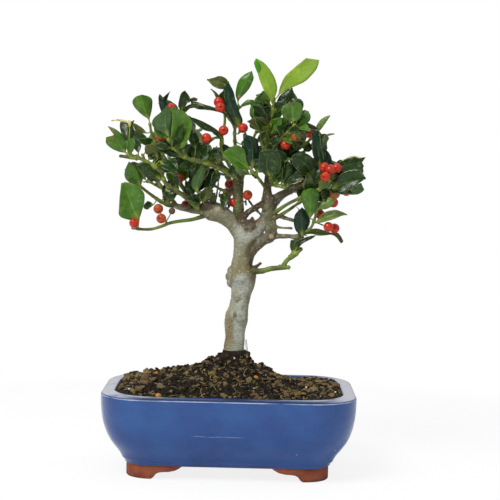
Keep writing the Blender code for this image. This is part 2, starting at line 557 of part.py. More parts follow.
def build_soil(material):
    """The soil fills the pot to its rim, and the trunk stands in a plain hole in it."""
    inside = [(height, inset) for height, inset in reversed(POT_INSIDE) if height < 67]
    rings = [soil_outline(inset, max(height * MM, FLOOR_TOP + GAP)) for height, inset in inside]
    rim = soil_outline(POT_INSIDE[2][1], SOIL_RIM_HEIGHT)
    rings.append(rim)
    hole = FOOT_RADIUS + GAP
    foot = Vector((FOOT_ACROSS, 0, 0))
    angles = [math.atan2(point.y, point.x - FOOT_ACROSS) for point in rim]
    lip = [foot + Vector((math.cos(a), math.sin(a), 0)) * hole for a in angles]
    for step in range(1, SOIL_RINGS + 1):
        share = step / (SOIL_RINGS + 1)
        ring = []
        for start, end in zip(rim, lip):
            point = start.lerp(end, share)
            point.z = soil_height(point.x, point.y, min(1.0, share * 2.4))
            ring.append(point)
        rings.append(ring)
    top = FOOT_TOP - 0.5 * MM
    rings.append([Vector((point.x, point.y, top)) for point in lip])
    rings.append([Vector((point.x, point.y, FOOT_BOTTOM - GAP)) for point in lip])
    soil = add_object("soil", loft(rings), material)
    recess = SCREEN_SIZE + 2 * GAP
    cutters = []
    for side in (-1, 1):
        box = bmesh.new()
        bmesh.ops.create_cube(box, size=1.0)
        height = 2 * (SCREEN_THICKNESS + 2 * GAP)
        bmesh.ops.scale(box, verts=box.verts, vec=(recess, recess, height))
        bmesh.ops.translate(box, verts=box.verts, vec=(side * DRAIN_OFFSET, 0, FLOOR_TOP))
        cutters.append(add_object("recess", box))
    apply_boolean(soil, cutters, "DIFFERENCE")
    apply_boolean(soil, pellets_on(tree_of(soil)), "UNION")
    return soil


def pellets_on(ground):
    """Fertiliser pellets, each pressed a third of its height into the soil."""
    pellets = []
    for x, y, size in PELLETS:
        radius = size * MM
        above = Vector((x * MM, y * MM, RIM_HEIGHT * 3))
        top = ground.ray_cast(above, Vector((0, 0, -1)))[0]
        shape = bmesh.new()
        bmesh.ops.create_uvsphere(shape, u_segments=6, v_segments=4, radius=radius)
        bmesh.ops.translate(shape, verts=shape.verts, vec=top + Vector((0, 0, radius / 3)))
        pellets.append(add_object("pellet", shape))
    return pellets


def tree_of(item):
    """A search tree of an object's faces."""
    points = [vertex.co.copy() for vertex in item.data.vertices]
    faces = [list(face.vertices) for face in item.data.polygons]
    return BVHTree.FromPolygons(points, faces)


def tube(route, sides, start_way=None):
    """A closed round solid along a route of (place, radius), with flat ends."""
    places = [place for place, _ in route]
    ways = []
    for k, place in enumerate(places):
        before = places[max(k - 1, 0)]
        after = places[min(k + 1, len(places) - 1)]
        ways.append((after - before).normalized())
    if start_way is not None:
        ways[0] = start_way.normalized()
    across = ways[0].orthogonal().normalized()
    rings = []
    for k, (place, radius) in enumerate(route):
        across = (across - ways[k] * across.dot(ways[k])).normalized()
        upward = ways[k].cross(across)
        ring = []
        for s in range(sides):
            angle = 2 * math.pi * s / sides
            turned = across * math.cos(angle) + upward * math.sin(angle)
            ring.append(place + turned * radius)
        rings.append(ring)
    return loft(rings)


def wood_route(points):
    return [(in_view(across, down, behind), radius * MM) for across, down, behind, radius in points]


def build_trunk(material):
    foot = [(Vector((FOOT_ACROSS, 0, FOOT_BOTTOM)), FOOT_RADIUS),
            (Vector((FOOT_ACROSS, 0, FOOT_TOP)), FOOT_RADIUS)]
    shape = tube(foot + wood_route(TRUNK), 12, start_way=Vector((0, 0, 1)))
    trunk = add_object("trunk", shape, material, smooth=True)
    limbs = []
    for name, points in WOOD.items():
        thick = points[0][3] > 4
        limbs.append(add_object(name, tube(wood_route(points), 8 if thick else 6)))
    apply_boolean(trunk, limbs, "UNION")
    return trunk


def twig_route(points, radii, carrier=None):
    """A twig's centre line with its radii; the first twig starts square on its carrier."""
    places = [in_view(*point) for point in points]
    last = len(places) - 1
    sizes = [(radii[0] + (radii[1] - radii[0]) * k / last) * MM for k in range(len(places))]
    if carrier is None:
        return list(zip(places, sizes)), None
    seat, outward, _, _ = carrier.find_nearest(places[0])
    start = seat + outward * (GAP + 0.02 * MM)
    lead = seat + outward * (sizes[0] * 1.6)
    places = [start, lead] + [place for place in places[1:] if (place - lead).length > 2 * MM]
    sizes = [sizes[0]] + sizes
    return list(zip(places, sizes)), outward


def nearest_on_twigs(routes, place):
    """The nearest point of the twigs' centre lines to a place."""
    best = None
    for route in routes:
        for (start, _), (end, _) in zip(route, route[1:]):
            span = end - start
            share = min(1.0, max(0.0, (place - start).dot(span) / span.length_squared))
            point = start + span * share
            if best is None or (point - place).length < (best - place).length:
                best = point
    return best


class Leaf:
    """A holly leaf: root on its twig, blade from base to tip, and the way its face looks."""

    def __init__(self, root, base, tip, width, face):
        self.root = root
        self.base = base
        self.tip = tip
        self.width = width
        axis = (tip - base).normalized()
        viewer = Vector((0, -1, 0)) if abs(axis.y) < 0.85 else Vector((0, 0, 1))
        flat = (viewer - axis * viewer.dot(axis)).normalized()
        up = Quaternion(axis, math.radians(face))
        down = Quaternion(axis, math.radians(-face))
        self.normal = max((up @ flat, down @ flat), key=lambda way: way.z)

    def turned(self, swing, lift, roll):
        """The same leaf turned about its root by three small angles in degrees."""
        axis = (self.tip - self.base).normalized()
        side = axis.cross(self.normal)
        turn = (Quaternion(self.normal, math.radians(swing))
                @ Quaternion(side, math.radians(lift)) @ Quaternion(axis, math.radians(roll)))
        copy = Leaf.__new__(Leaf)
        copy.root = self.root
        copy.base = self.root + turn @ (self.base - self.root)
        copy.tip = self.root + turn @ (self.tip - self.root)
        copy.width = self.width
        copy.normal = turn @ self.normal
        return copy

    def solid(self, grow=0.0, petiole=True):
        """Points and triangles of the blade, three-cornered in section, keeled below."""
        span = self.tip - self.base
        axis = span.normalized()
        side = axis.cross(self.normal).normalized()
        stations = []
        if petiole:
            stations.append((self.root, PETIOLE_RADIUS, 2 * PETIOLE_RADIUS, PETIOLE_RADIUS))
        broad = self.width > BROAD_FROM * span.length
        for along, share, lift in BROAD_BLADE if broad else OVAL_BLADE:
            half = max(self.width / 2 * share, PETIOLE_RADIUS)
            arch = self.normal * span.length * BLADE_ARCH * math.sin(math.pi * along)
            thick = BLADE_THICKNESS * (1 - 0.35 * along)
            stations.append((self.base + span * along + arch, half, thick, half * lift))
        points = []
        for place, half, thick, raised in stations:
            edge = place + self.normal * (raised + grow)
            points += [edge - side * (half + grow), edge + side * (half + grow),
                       place - self.normal * (thick + grow)]
        points.append(self.tip + axis * grow)
        faces = [(0, 1, 2)]
        for k in range(len(stations) - 1):
            left, right, under = range(3 * k, 3 * k + 3)
            next_left, next_right, next_under = range(3 * k + 3, 3 * k + 6)
            faces += [(left, next_right, right), (left, next_left, next_right),
                      (left, under, next_under), (left, next_under, next_left),
                      (right, next_under, under), (right, next_right, next_under)]
        left, right, under = range(3 * len(stations) - 3, 3 * len(stations))
        end = len(points) - 1
        faces += [(right, left, end), (left, under, end), (under, right, end)]
        return points, faces


def small_turns():
    """Turns to try in order: none, then wider and wider ones."""
    yield (0, 0, 0)
    for size in (5, 10, 15, 20, 26, 32, 40, 48):
        for swing, lift, roll in ((1, 0, 0), (-1, 0, 0), (0, 1, 0), (0, -1, 0), (0, 0, 1),
                                  (0, 0, -1), (1, 1, 0), (-1, 1, 0), (1, -1, 0), (-1, -1, 0),
                                  (1, 1, 1), (-1, 1, -1), (1, -1, -1), (-1, -1, 1)):
            yield (size * swing, size * lift, size * roll * 1.5)


class Thicket:
    """Everything that already stands, so that each new piece is bent clear of it."""

    def __init__(self):
        self.pieces = []

    def add(self, owner, points, faces, kind="wood"):
        self.pieces.append((owner, kind, BVHTree.FromPolygons(points, faces)))

    def meets(self, points, faces, owner=None, leaves_of_owner=False):
        """Whether a solid crosses another owner's pieces, or its own owner's leaves."""
        probe = BVHTree.FromPolygons(points, faces)
        for name, kind, tree in self.pieces:
            own = name == owner
            if own and not (leaves_of_owner and kind == "leaf"):
                continue
            if probe.overlap(tree):
                return True
        return False

    def settle_berry(self, across, down, behind):
        """A berry's centre, moved along the line of sight until it hangs clear."""
        for push in (0, -3, 3, -6, 6, -9, 9, -12, 12, -16, 16):
            centre = in_view(across, down, behind + push)
            room = min(tree.find_nearest(centre)[3] for _, _, tree in self.pieces)
            if room > BERRY_RADIUS + BERRY_ROOM:
                return centre
        raise ValueError(f"no room for a berry at {across}, {down}")

    def seat_for(self, owner, centres):
        """The nearest seat on a twig or limb from which every stalk of a bunch runs clear."""
        middle = sum(centres, Vector()) / len(centres)
        seats = []
        for _, kind, tree in self.pieces:
            if kind == "wood":
                place, outward, _, distance = tree.find_nearest(middle)
                seats.append((distance, place, outward))
        for _, place, outward in sorted(seats, key=lambda seat: seat[0])[:12]:
            start = place + outward * (GAP + 0.02 * MM)
            hub = start + outward * HUB_LENGTH
            inner = start + outward * HUB_LENGTH * 0.6
            stub = [(start, HUB_RADIUS), (hub, HUB_RADIUS)]
            stalks = [add_object("stub", tube(stub, 5))]
            stalks += [stalk_solid(inner, centre) for centre in centres]
            if not any(self.meets(*shape_data(stalk), owner=owner) for stalk in stalks):
                return stalks
            for stalk in stalks:
                bpy.data.objects.remove(stalk, do_unlink=True)
        raise ValueError(f"no clear seat for {owner}")

    def place_leaf(self, owner, leaf, may_cross):
        """The leaf, turned until it is clear; only some may cross their own spray's leaves."""
        crossing = None
        for turn in small_turns():
            tried = leaf.turned(*turn)
            if self.meets(*tried.solid(grow=LEAF_CLEARANCE), owner=owner):
                continue
            blade = tried.solid(grow=LEAF_CLEARANCE, petiole=False)
            if not self.meets(*blade, owner=owner, leaves_of_owner=True):
                self.add(owner, *tried.solid(), kind="leaf")
                return tried
            if may_cross and crossing is None:
                crossing = tried
        if crossing is not None:
            self.add(owner, *crossing.solid(), kind="leaf")
        return crossing


def set_out_leaf(routes, row):
    """A leaf from its row in the table, rooted on the nearest point of its twigs."""
    base_across, base_down, tip_across, tip_down, tip_behind, width, face = row
    middle = [route[len(route) // 2][0] for route in routes]
    behind = sum(place.y for place in middle) / len(middle) / MM
    for _ in range(3):
        root = nearest_on_twigs(routes, in_view(base_across, base_down, behind))
        behind = root.y / MM
    base = in_view(base_across, base_down, behind + (tip_behind - behind) * 0.15)
    reach = base - root
    tip = in_view(tip_across, tip_down, tip_behind)
    if reach.length < 2.5 * MM:
        base = root + (tip - root).normalized() * 2.5 * MM
    return Leaf(root, base, tip, width * MM, face)


def draws(seed):
    """An endless row of numbers between -1 and 1 that is the same each time."""
    state = seed * 7919 + 17
    while True:
        state = (state * 1103515245 + 12345) % 2147483648
        yield state / 1073741824 - 1


def ruled_leaves(route, count, size, lean, seed):
    """Leaves in a spiral round a twig, leaning one way, with small seeded differences."""
    chance = draws(seed)
    leaves = []
    places = [place for place, _ in route]
    for k in range(count):
        along = 0.25 + 0.75 * k / (count - 1)
        span = along * (len(places) - 1)
        step = min(int(span), len(places) - 2)
        root = places[step].lerp(places[step + 1], span - step)
        way = (places[step + 1] - places[step]).normalized()
        outward = Quaternion(way, math.radians(137.5 * k)) @ way.orthogonal().normalized()
        toward = outward * 0.8 + way * 0.45 + Vector(lean) * 0.55
        toward += Vector((next(chance), next(chance), next(chance))) * 0.15
        toward.normalize()
        length = size[0] * MM * (1 + 0.14 * next(chance))
        width = size[1] * MM * (1 + 0.12 * next(chance))
        base = root + toward * 4 * MM
        leaf = Leaf(root, base, base + toward * length, width, 0)
        sky = Vector((0.25 * next(chance), 0.35, 1.0))
        axis = toward
        leaf.normal = (sky - axis * sky.dot(axis)).normalized()
        leaves.append(leaf)
    return leaves


def shape_data(item):
    """An object's points and faces."""
    return ([vertex.co.copy() for vertex in item.data.vertices],
            [list(face.vertices) for face in item.data.polygons])


def stalk_solid(root, centre):
    """A berry's stalk, from its root to the berry's middle."""
    return add_object("stalk", tube([(root, STALK_RADIUS), (centre, STALK_RADIUS)], 4))


def berry_solid(thicket, owner, centre):
    shape = bmesh.new()
    bmesh.ops.create_uvsphere(shape, u_segments=6, v_segments=5, radius=BERRY_RADIUS)
    bmesh.ops.translate(shape, verts=shape.verts, vec=centre)
    berry = add_object("berry", shape)
    thicket.add(owner, *shape_data(berry), kind="berry")
    return berry


def build_twigs(thicket, plans, trunk_wood):
    """Every spray's twigs, before any leaf, so that the leaves can be set clear of them."""
    routes = {}
    stems = {}
    for name, plan in plans.items():
        carrier = trunk_wood
        if "carrier" in plan:
            carrier = tree_of(stems[plan["carrier"]][0])
        routes[name] = []
        stems[name] = []
        for number, points in enumerate(plan["twigs"]):
            route, way = twig_route(points, plan["radii"], None if number else carrier)
            if number:
                route[0] = (nearest_on_twigs(routes[name][:1], route[0][0]), route[0][1])
            stem = add_object(name, tube(route, 5, start_way=way))
            thicket.add(name, *shape_data(stem))
            routes[name].append(route)
            stems[name].append(stem)
    return routes, stems


def build_single_berries(thicket, plans, routes, stems):
    """Berries that hang alone, each on a stalk that grows from its spray."""
    for name, plan in plans.items():
        for place in plan.get("berries", []):
            centre = thicket.settle_berry(*place)
            root = nearest_on_twigs(routes[name], centre)
            stalk = stalk_solid(root, centre)
            thicket.add(name, *shape_data(stalk), kind="berry")
            stems[name] += [stalk, berry_solid(thicket, name, centre)]


def build_bunches(thicket, material):
    """Berries in bunches: their stalks meet at one seat on the twig that bears them."""
    for name, places in BUNCHES.items():
        centres = []
        berries = []
        for place in places:
            centres.append(thicket.settle_berry(*place))
            berries.append(berry_solid(thicket, name, centres[-1]))
        stalks = thicket.seat_for(name, centres)
        for stalk in stalks:
            thicket.add(name, *shape_data(stalk), kind="berry")
        first, *others = berries
        first.name = name
        first.data.materials.append(material)
        apply_boolean(first, others + stalks, "UNION")


def leaf_solid(leaf):
    shape = bmesh.new()
    points, faces = leaf.solid()
    corners = [shape.verts.new(point) for point in points]
    for face in faces:
        shape.faces.new([corners[k] for k in face])
    return add_object("leaf", shape)


def build_leaves(thicket, plans, routes, stems, materials):
    """Leaf by leaf, each turned clear of what stands already, and then fused to its twig."""
    for name, plan in plans.items():
        if "leaves" in plan:
            leaves = [set_out_leaf(routes[name], row) for row in plan["leaves"]]
        else:
            leaves = ruled_leaves(routes[name][0], plan["count"], plan["size"], plan["lean"],
                                  plan["seed"])
        pieces = stems[name][1:]
        for leaf in leaves:
            placed = thicket.place_leaf(name, leaf, may_cross="leaves" in plan)
            if placed is None:
                print("leaf left out", name, leaf.tip)
                continue
            pieces.append(leaf_solid(placed))
        first = stems[name][0]
        first.name = name
        first.data.materials.append(materials.get(name, materials["leaf"]))
        apply_boolean(first, pieces, "UNION")


def stand_on_origin():
    """Moves the whole model so that its box stands centred on the origin."""
    items = [item for item in bpy.data.objects if item.type == "MESH"]
    corners = [vertex.co for item in items for vertex in item.data.vertices]
    low = Vector([min(point[k] for point in corners) for k in range(3)])
    high = Vector([max(point[k] for point in corners) for k in range(3)])
    shift = Vector((-(low.x + high.x) / 2, -(low.y + high.y) / 2, -low.z))
    for item in items:
        item.data.transform(Matrix.Translation(shift))


def main():
    remove_everything()
    glaze = make_material("blue_glaze", (0.045, 0.12, 0.36), 0.15)
    earth = make_material("soil_dark", (0.05, 0.035, 0.022), 0.95)
    bark = make_material("bark_grey", (0.34, 0.31, 0.22), 0.75)
    mesh_plastic = make_material("screen_black", (0.02, 0.02, 0.02), 0.5)
    berry_red = make_material("berry_red", (0.58, 0.05, 0.02), 0.25)
    leaf_green = make_material("leaf_green", (0.06, 0.14, 0.04), 0.3)
    leaf_lime = make_material("leaf_lime", (0.27, 0.44, 0.05), 0.35)
    build_pot(glaze)
    build_screen("drain_screen_left", -1, mesh_plastic)
    build_screen("drain_screen_right", 1, mesh_plastic)
    build_soil(earth)
    trunk = build_trunk(bark)
    plans = {**SPRAYS, **RULED_SPRAYS}
    thicket = Thicket()
    wood = tree_of(trunk)
    thicket.pieces.append(("trunk", "wood", wood))
    routes, stems = build_twigs(thicket, plans, wood)
    build_single_berries(thicket, plans, routes, stems)
    build_bunches(thicket, berry_red)
    build_leaves(thicket, plans, routes, stems, {"leaf": leaf_green, "shoot_young": leaf_lime})
    stand_on_origin()


main()
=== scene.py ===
"""Looks of a small holly grown as a bonsai in a blue glazed pot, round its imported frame.

The tree was set out on one front view, a sheet of 500 units a side. A point of that view is
given across and down the sheet, with its depth behind the trunk in millimetres, and FrontView
turns it into its real place. Lengths are metres unless a name says otherwise, +Z is up, and
-Y is the front of the pot.
"""

import logging
import math
from dataclasses import dataclass, field, replace
from enum import Enum
from random import Random

import bmesh
import bpy
from mathutils import Euler, Matrix, Quaternion, Vector, noise
from mathutils.bvhtree import BVHTree
from mathutils.kdtree import KDTree


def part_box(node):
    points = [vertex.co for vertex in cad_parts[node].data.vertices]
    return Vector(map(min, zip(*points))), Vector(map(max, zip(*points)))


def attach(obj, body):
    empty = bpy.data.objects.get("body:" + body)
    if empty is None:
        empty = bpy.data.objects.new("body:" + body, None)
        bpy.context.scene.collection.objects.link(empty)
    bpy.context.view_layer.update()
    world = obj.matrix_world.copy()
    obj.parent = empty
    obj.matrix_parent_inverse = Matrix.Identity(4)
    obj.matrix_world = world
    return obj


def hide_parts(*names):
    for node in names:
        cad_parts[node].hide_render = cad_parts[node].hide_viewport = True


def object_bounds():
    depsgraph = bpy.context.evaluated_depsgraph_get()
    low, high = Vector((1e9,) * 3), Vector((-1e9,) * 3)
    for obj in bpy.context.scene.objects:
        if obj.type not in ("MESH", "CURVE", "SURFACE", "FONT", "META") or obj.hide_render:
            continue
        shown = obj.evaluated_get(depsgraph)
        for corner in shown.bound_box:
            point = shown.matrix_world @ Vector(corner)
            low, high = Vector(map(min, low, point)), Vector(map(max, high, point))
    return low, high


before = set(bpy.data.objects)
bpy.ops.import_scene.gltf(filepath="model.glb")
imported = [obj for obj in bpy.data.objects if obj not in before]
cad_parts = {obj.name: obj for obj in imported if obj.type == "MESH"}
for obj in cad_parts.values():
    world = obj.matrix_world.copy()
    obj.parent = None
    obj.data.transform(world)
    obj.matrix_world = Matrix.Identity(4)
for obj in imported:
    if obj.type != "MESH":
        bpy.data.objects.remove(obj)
CAD_LOW, CAD_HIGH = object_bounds()

logging.basicConfig(level=logging.INFO, format="%(message)s")
LOG = logging.getLogger("holly")

MM = 0.001
BODY = "root"
GAP = 0.3 * MM

Route = list[tuple[Vector, float]]
Socket = bpy.types.NodeSocket
Material = bpy.types.Material
Shape = bmesh.types.BMesh
Point = bmesh.types.BMVert


@dataclass(frozen=True)
class FrontView:
    """The front view that the tree was set out on, and the camera that sees it so."""

    centre: float = 250.0
    focal: float = 1506.0
    sheet: float = 500.0
    distance: float = 1.250
    across: float = 14.4 * MM
    height: float = 263.8 * MM
    pitch: float = math.radians(3.70)
    roll: float = math.radians(1.35)
    sensor: float = 36.0

    def place(self, across: float, down: float, behind: float) -> Vector:
        """The real place of a point of the view.

        Args:
            across: units to the right of the sheet's left edge.
            down: units below its top edge.
            behind: millimetres behind the trunk.

        Returns:
            The place, counted from the middle of the pot's footprint.
        """
        right = across - self.centre
        low = down - self.centre
        level_right = right * math.cos(self.roll) + low * math.sin(self.roll)
        level_low = low * math.cos(self.roll) - right * math.sin(self.roll)
        ray = Vector((level_right / self.focal,
                      math.cos(self.pitch) - level_low / self.focal * math.sin(self.pitch),
                      -math.sin(self.pitch) - level_low / self.focal * math.cos(self.pitch)))
        reach = (behind * MM + self.distance) / ray.y
        return Vector((self.across, -self.distance, self.height)) + ray * reach

    def camera_matrix(self, origin: Vector) -> Matrix:
        """Where the camera stands, for a pot whose footprint is centred on the origin given.

        Args:
            origin: the middle of the pot's footprint.

        Returns:
            The camera's matrix.
        """
        stand = Matrix.Translation(origin + Vector((self.across, -self.distance, self.height)))
        tilt = Euler((math.pi / 2 - self.pitch, 0, 0)).to_matrix().to_4x4()
        return stand @ tilt @ Matrix.Rotation(self.roll, 4, "Z")

    def lens(self) -> float:
        """The camera's focal length in millimetres."""
        return self.sensor * self.focal / self.sheet


VIEW = FrontView()
POT_LOW, POT_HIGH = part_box("pot")
POT_ORIGIN = Vector(((POT_LOW.x + POT_HIGH.x) / 2, (POT_LOW.y + POT_HIGH.y) / 2, POT_LOW.z))


def from_hex(code: str) -> tuple[float, float, float]:
    """A colour as it looks on a screen, such as "41742a", in linear light."""
    parts = [int(code[k:k + 2], 16) / 255 for k in (0, 2, 4)]
    return tuple(c / 12.92 if c <= 0.04045 else ((c + 0.055) / 1.055) ** 2.4 for c in parts)


class NodeSheet:
    """Adds nodes to one node tree, with their inputs set or joined in the same call."""

    def __init__(self, tree: bpy.types.NodeTree) -> None:
        """Takes the tree that the nodes go into."""
        self.tree = tree

    def add(self, kind: str, inputs: dict | None = None, **settings: object) -> bpy.types.Node:
        """Adds one node.

        Args:
            kind: the node's type in Blender.
            inputs: values or sockets for its inputs, by name or number.
            settings: the node's own properties.

        Returns:
            The new node.
        """
        node = self.tree.nodes.new(kind)
        for name, value in settings.items():
            setattr(node, name, value)
        for name, value in (inputs or {}).items():
            if isinstance(value, Socket):
                self.tree.links.new(value, node.inputs[name])
            else:
                if isinstance(value, tuple) and len(value) == 3 and node.inputs[name].type == "RGBA":
                    value = (*value, 1.0)
                node.inputs[name].default_value = value
        return node

    def maths(self, operation: str, *values: object, clamp: bool = False) -> Socket:
        """One arithmetic step on numbers or sockets, and its result."""
        inputs = dict(enumerate(values))
        return self.add("ShaderNodeMath", inputs, operation=operation, use_clamp=clamp).outputs[0]

    def times(self, first: object, second: object, clamp: bool = False) -> Socket:
        """The product of two numbers or sockets."""
        return self.maths("MULTIPLY", first, second, clamp=clamp)

    def larger(self, first: object, second: object) -> Socket:
        """The larger of two numbers or sockets."""
        return self.maths("MAXIMUM", first, second)

    def parts(self, vector: Socket) -> bpy.types.NodeOutputs:
        """The three numbers of a vector: across, in depth and up."""
        return self.add("ShaderNodeSeparateXYZ", {0: vector}).outputs

    def mix(self, share: object, first: object, second: object, blend: str = "MIX") -> Socket:
        """Two colours mixed by a share, and the resulting colour.

        Args:
            share: how much of the second colour there is.
            first: the first colour: a socket, three numbers or a code such as "41742a".
            second: the second colour, given in the same way.
            blend: how the second is laid over the first.

        Returns:
            The colour's socket.
        """
        first, second = (from_hex(tone) if isinstance(tone, str) else tone
                         for tone in (first, second))
        inputs = {0: share, 6: first, 7: second}
        node = self.add("ShaderNodeMix", inputs, data_type="RGBA", blend_type=blend)
        return node.outputs[2]

    def band(self, value: object, low: float, high: float) -> Socket:
        """0 below low and 1 above high, smooth between them; low may be above high.

        Args:
            value: the socket that is read.
            low: where the result is 0.
            high: where it is 1.

        Returns:
            The result's socket.
        """
        inputs = {"Value": value, "From Min": low, "From Max": high}
        node = self.add("ShaderNodeMapRange", inputs, interpolation_type="SMOOTHSTEP")
        return node.outputs["Result"]

    def attribute(self, name: str) -> Socket:
        """A number that the mesh carries."""
        return self.add("ShaderNodeAttribute", attribute_name=name).outputs["Fac"]


def effect_tree(name: str, numbers: dict[str, float]) -> tuple:
    """Starts a shared effect: a mask by the place, which its number Stretch draws out along Z.

    Args:
        name: the effect's name.
        numbers: its numeric inputs with their usual values.

    Returns:
        A sheet to add nodes with, the inputs, the drawn-out place and the output node.
    """
    tree = bpy.data.node_groups.new(name, "ShaderNodeTree")
    tree.interface.new_socket("Place", in_out="INPUT", socket_type="NodeSocketVector")
    for label, usual in numbers.items():
        socket = tree.interface.new_socket(label, in_out="INPUT", socket_type="NodeSocketFloat")
        socket.default_value = usual
    tree.interface.new_socket("Mask", in_out="OUTPUT", socket_type="NodeSocketFloat")
    sheet = NodeSheet(tree)
    given = sheet.add("NodeGroupInput").outputs
    result = sheet.add("NodeGroupOutput")
    drawn = sheet.add("ShaderNodeCombineXYZ", {0: 1.0, 1: 1.0, 2: given["Stretch"]})
    place = sheet.add("ShaderNodeVectorMath", {0: given["Place"], 1: drawn.outputs[0]},
                      operation="MULTIPLY")
    return sheet, given, place.outputs[0], result


def mottle_effect() -> bpy.types.NodeTree:
    """Soft blotches: noise of one scale with its contrast raised.

    Returns:
        The node group.
    """
    sheet, given, place, result = effect_tree(
        "mottle", {"Scale": 60.0, "Stretch": 1.0, "Low": 0.35, "High": 0.65, "Detail": 4.0})
    cloud = sheet.add("ShaderNodeTexNoise", {"Vector": place, "Scale": given["Scale"],
                                             "Detail": given["Detail"], "Roughness": 0.55})
    contrast = sheet.add("ShaderNodeMapRange", {
        "Value": cloud.outputs["Fac"], "From Min": given["Low"], "From Max": given["High"]})
    sheet.tree.links.new(contrast.outputs["Result"], result.inputs["Mask"])
    return sheet.tree


def speckle_effect() -> bpy.types.NodeTree:
    """Small separate spots: round cells, of which only a share is shown.

    Returns:
        The node group.
    """
    sheet, given, place, result = effect_tree(
        "speckle", {"Scale": 900.0, "Stretch": 1.0, "Size": 0.25, "Share": 0.3})
    cells = sheet.add("ShaderNodeTexVoronoi", {"Vector": place, "Scale": given["Scale"]})
    near = sheet.maths("LESS_THAN", cells.outputs["Distance"], given["Size"])
    chosen = sheet.add("ShaderNodeSeparateColor", {0: cells.outputs["Color"]})
    shown = sheet.maths("LESS_THAN", chosen.outputs[0], given["Share"])
    sheet.tree.links.new(sheet.times(near, shown), result.inputs["Mask"])
    return sheet.tree


class Surface(NodeSheet):
    """One new material with a Principled shader, being dressed."""

    def __init__(self, name: str, **constants: float) -> None:
        """Starts the material; the constants are values of the shader's own sockets.

        Args:
            name: the material's name.
            constants: values of sockets, by label.
        """
        self.material = bpy.data.materials.new(name)
        self.material.use_nodes = True
        super().__init__(self.material.node_tree)
        self.shader = self.material.node_tree.nodes["Principled BSDF"]
        for label, value in constants.items():
            self.shader.inputs[label.replace("_", " ")].default_value = value
        self.place = self.add("ShaderNodeTexCoord").outputs["Object"]

    def mottle(self, scale: float, low: float = 0.35, high: float = 0.65,
               stretch: float = 1.0, detail: float = 4.0) -> Socket:
        """A mask of soft blotches.

        Args:
            scale: how fine the blotches are.
            low: the noise that shows as 0.
            high: the noise that shows as 1.
            stretch: how flat the blotches lie.
            detail: how many finer layers there are.

        Returns:
            The mask.
        """
        values = {"Place": self.place, "Scale": scale, "Stretch": stretch, "Low": low,
                  "High": high, "Detail": detail}
        return self.add("ShaderNodeGroup", values, node_tree=EFFECTS["mottle"]).outputs["Mask"]

    def speckle(self, scale: float, size: float, share: float, stretch: float = 1.0) -> Socket:
        """A mask of small separate spots.

        Args:
            scale: how close the spots lie.
            size: their radius, as a share of their spacing.
            share: how many of them show.
            stretch: how flat they lie.

        Returns:
            The mask.
        """
        values = {"Place": self.place, "Scale": scale, "Size": size, "Share": share,
                  "Stretch": stretch}
        return self.add("ShaderNodeGroup", values, node_tree=EFFECTS["speckle"]).outputs["Mask"]

    def colour(self, socket: Socket) -> None:
        """Joins the base colour."""
        self.tree.links.new(socket, self.shader.inputs["Base Color"])

    def roughness(self, low: float, high: float, mask: Socket) -> None:
        """Roughness between two values, by a mask.

        Args:
            low: the value where the mask is 0.
            high: the value where it is 1.
            mask: what varies it.
        """
        inputs = {"Value": mask, "To Min": low, "To Max": high}
        spread = self.add("ShaderNodeMapRange", inputs)
        self.tree.links.new(spread.outputs["Result"], self.shader.inputs["Roughness"])

    def relief(self, height: Socket, depth: float) -> None:
        """Bump of a height mask, whose full step is depth metres high.

        Args:
            height: the height mask.
            depth: the height of its full step.
        """
        bump = self.add("ShaderNodeBump", {"Height": height, "Distance": depth, "Strength": 1.0})
        self.tree.links.new(bump.outputs["Normal"], self.shader.inputs["Normal"])


EFFECTS = {"mottle": mottle_effect(), "speckle": speckle_effect()}


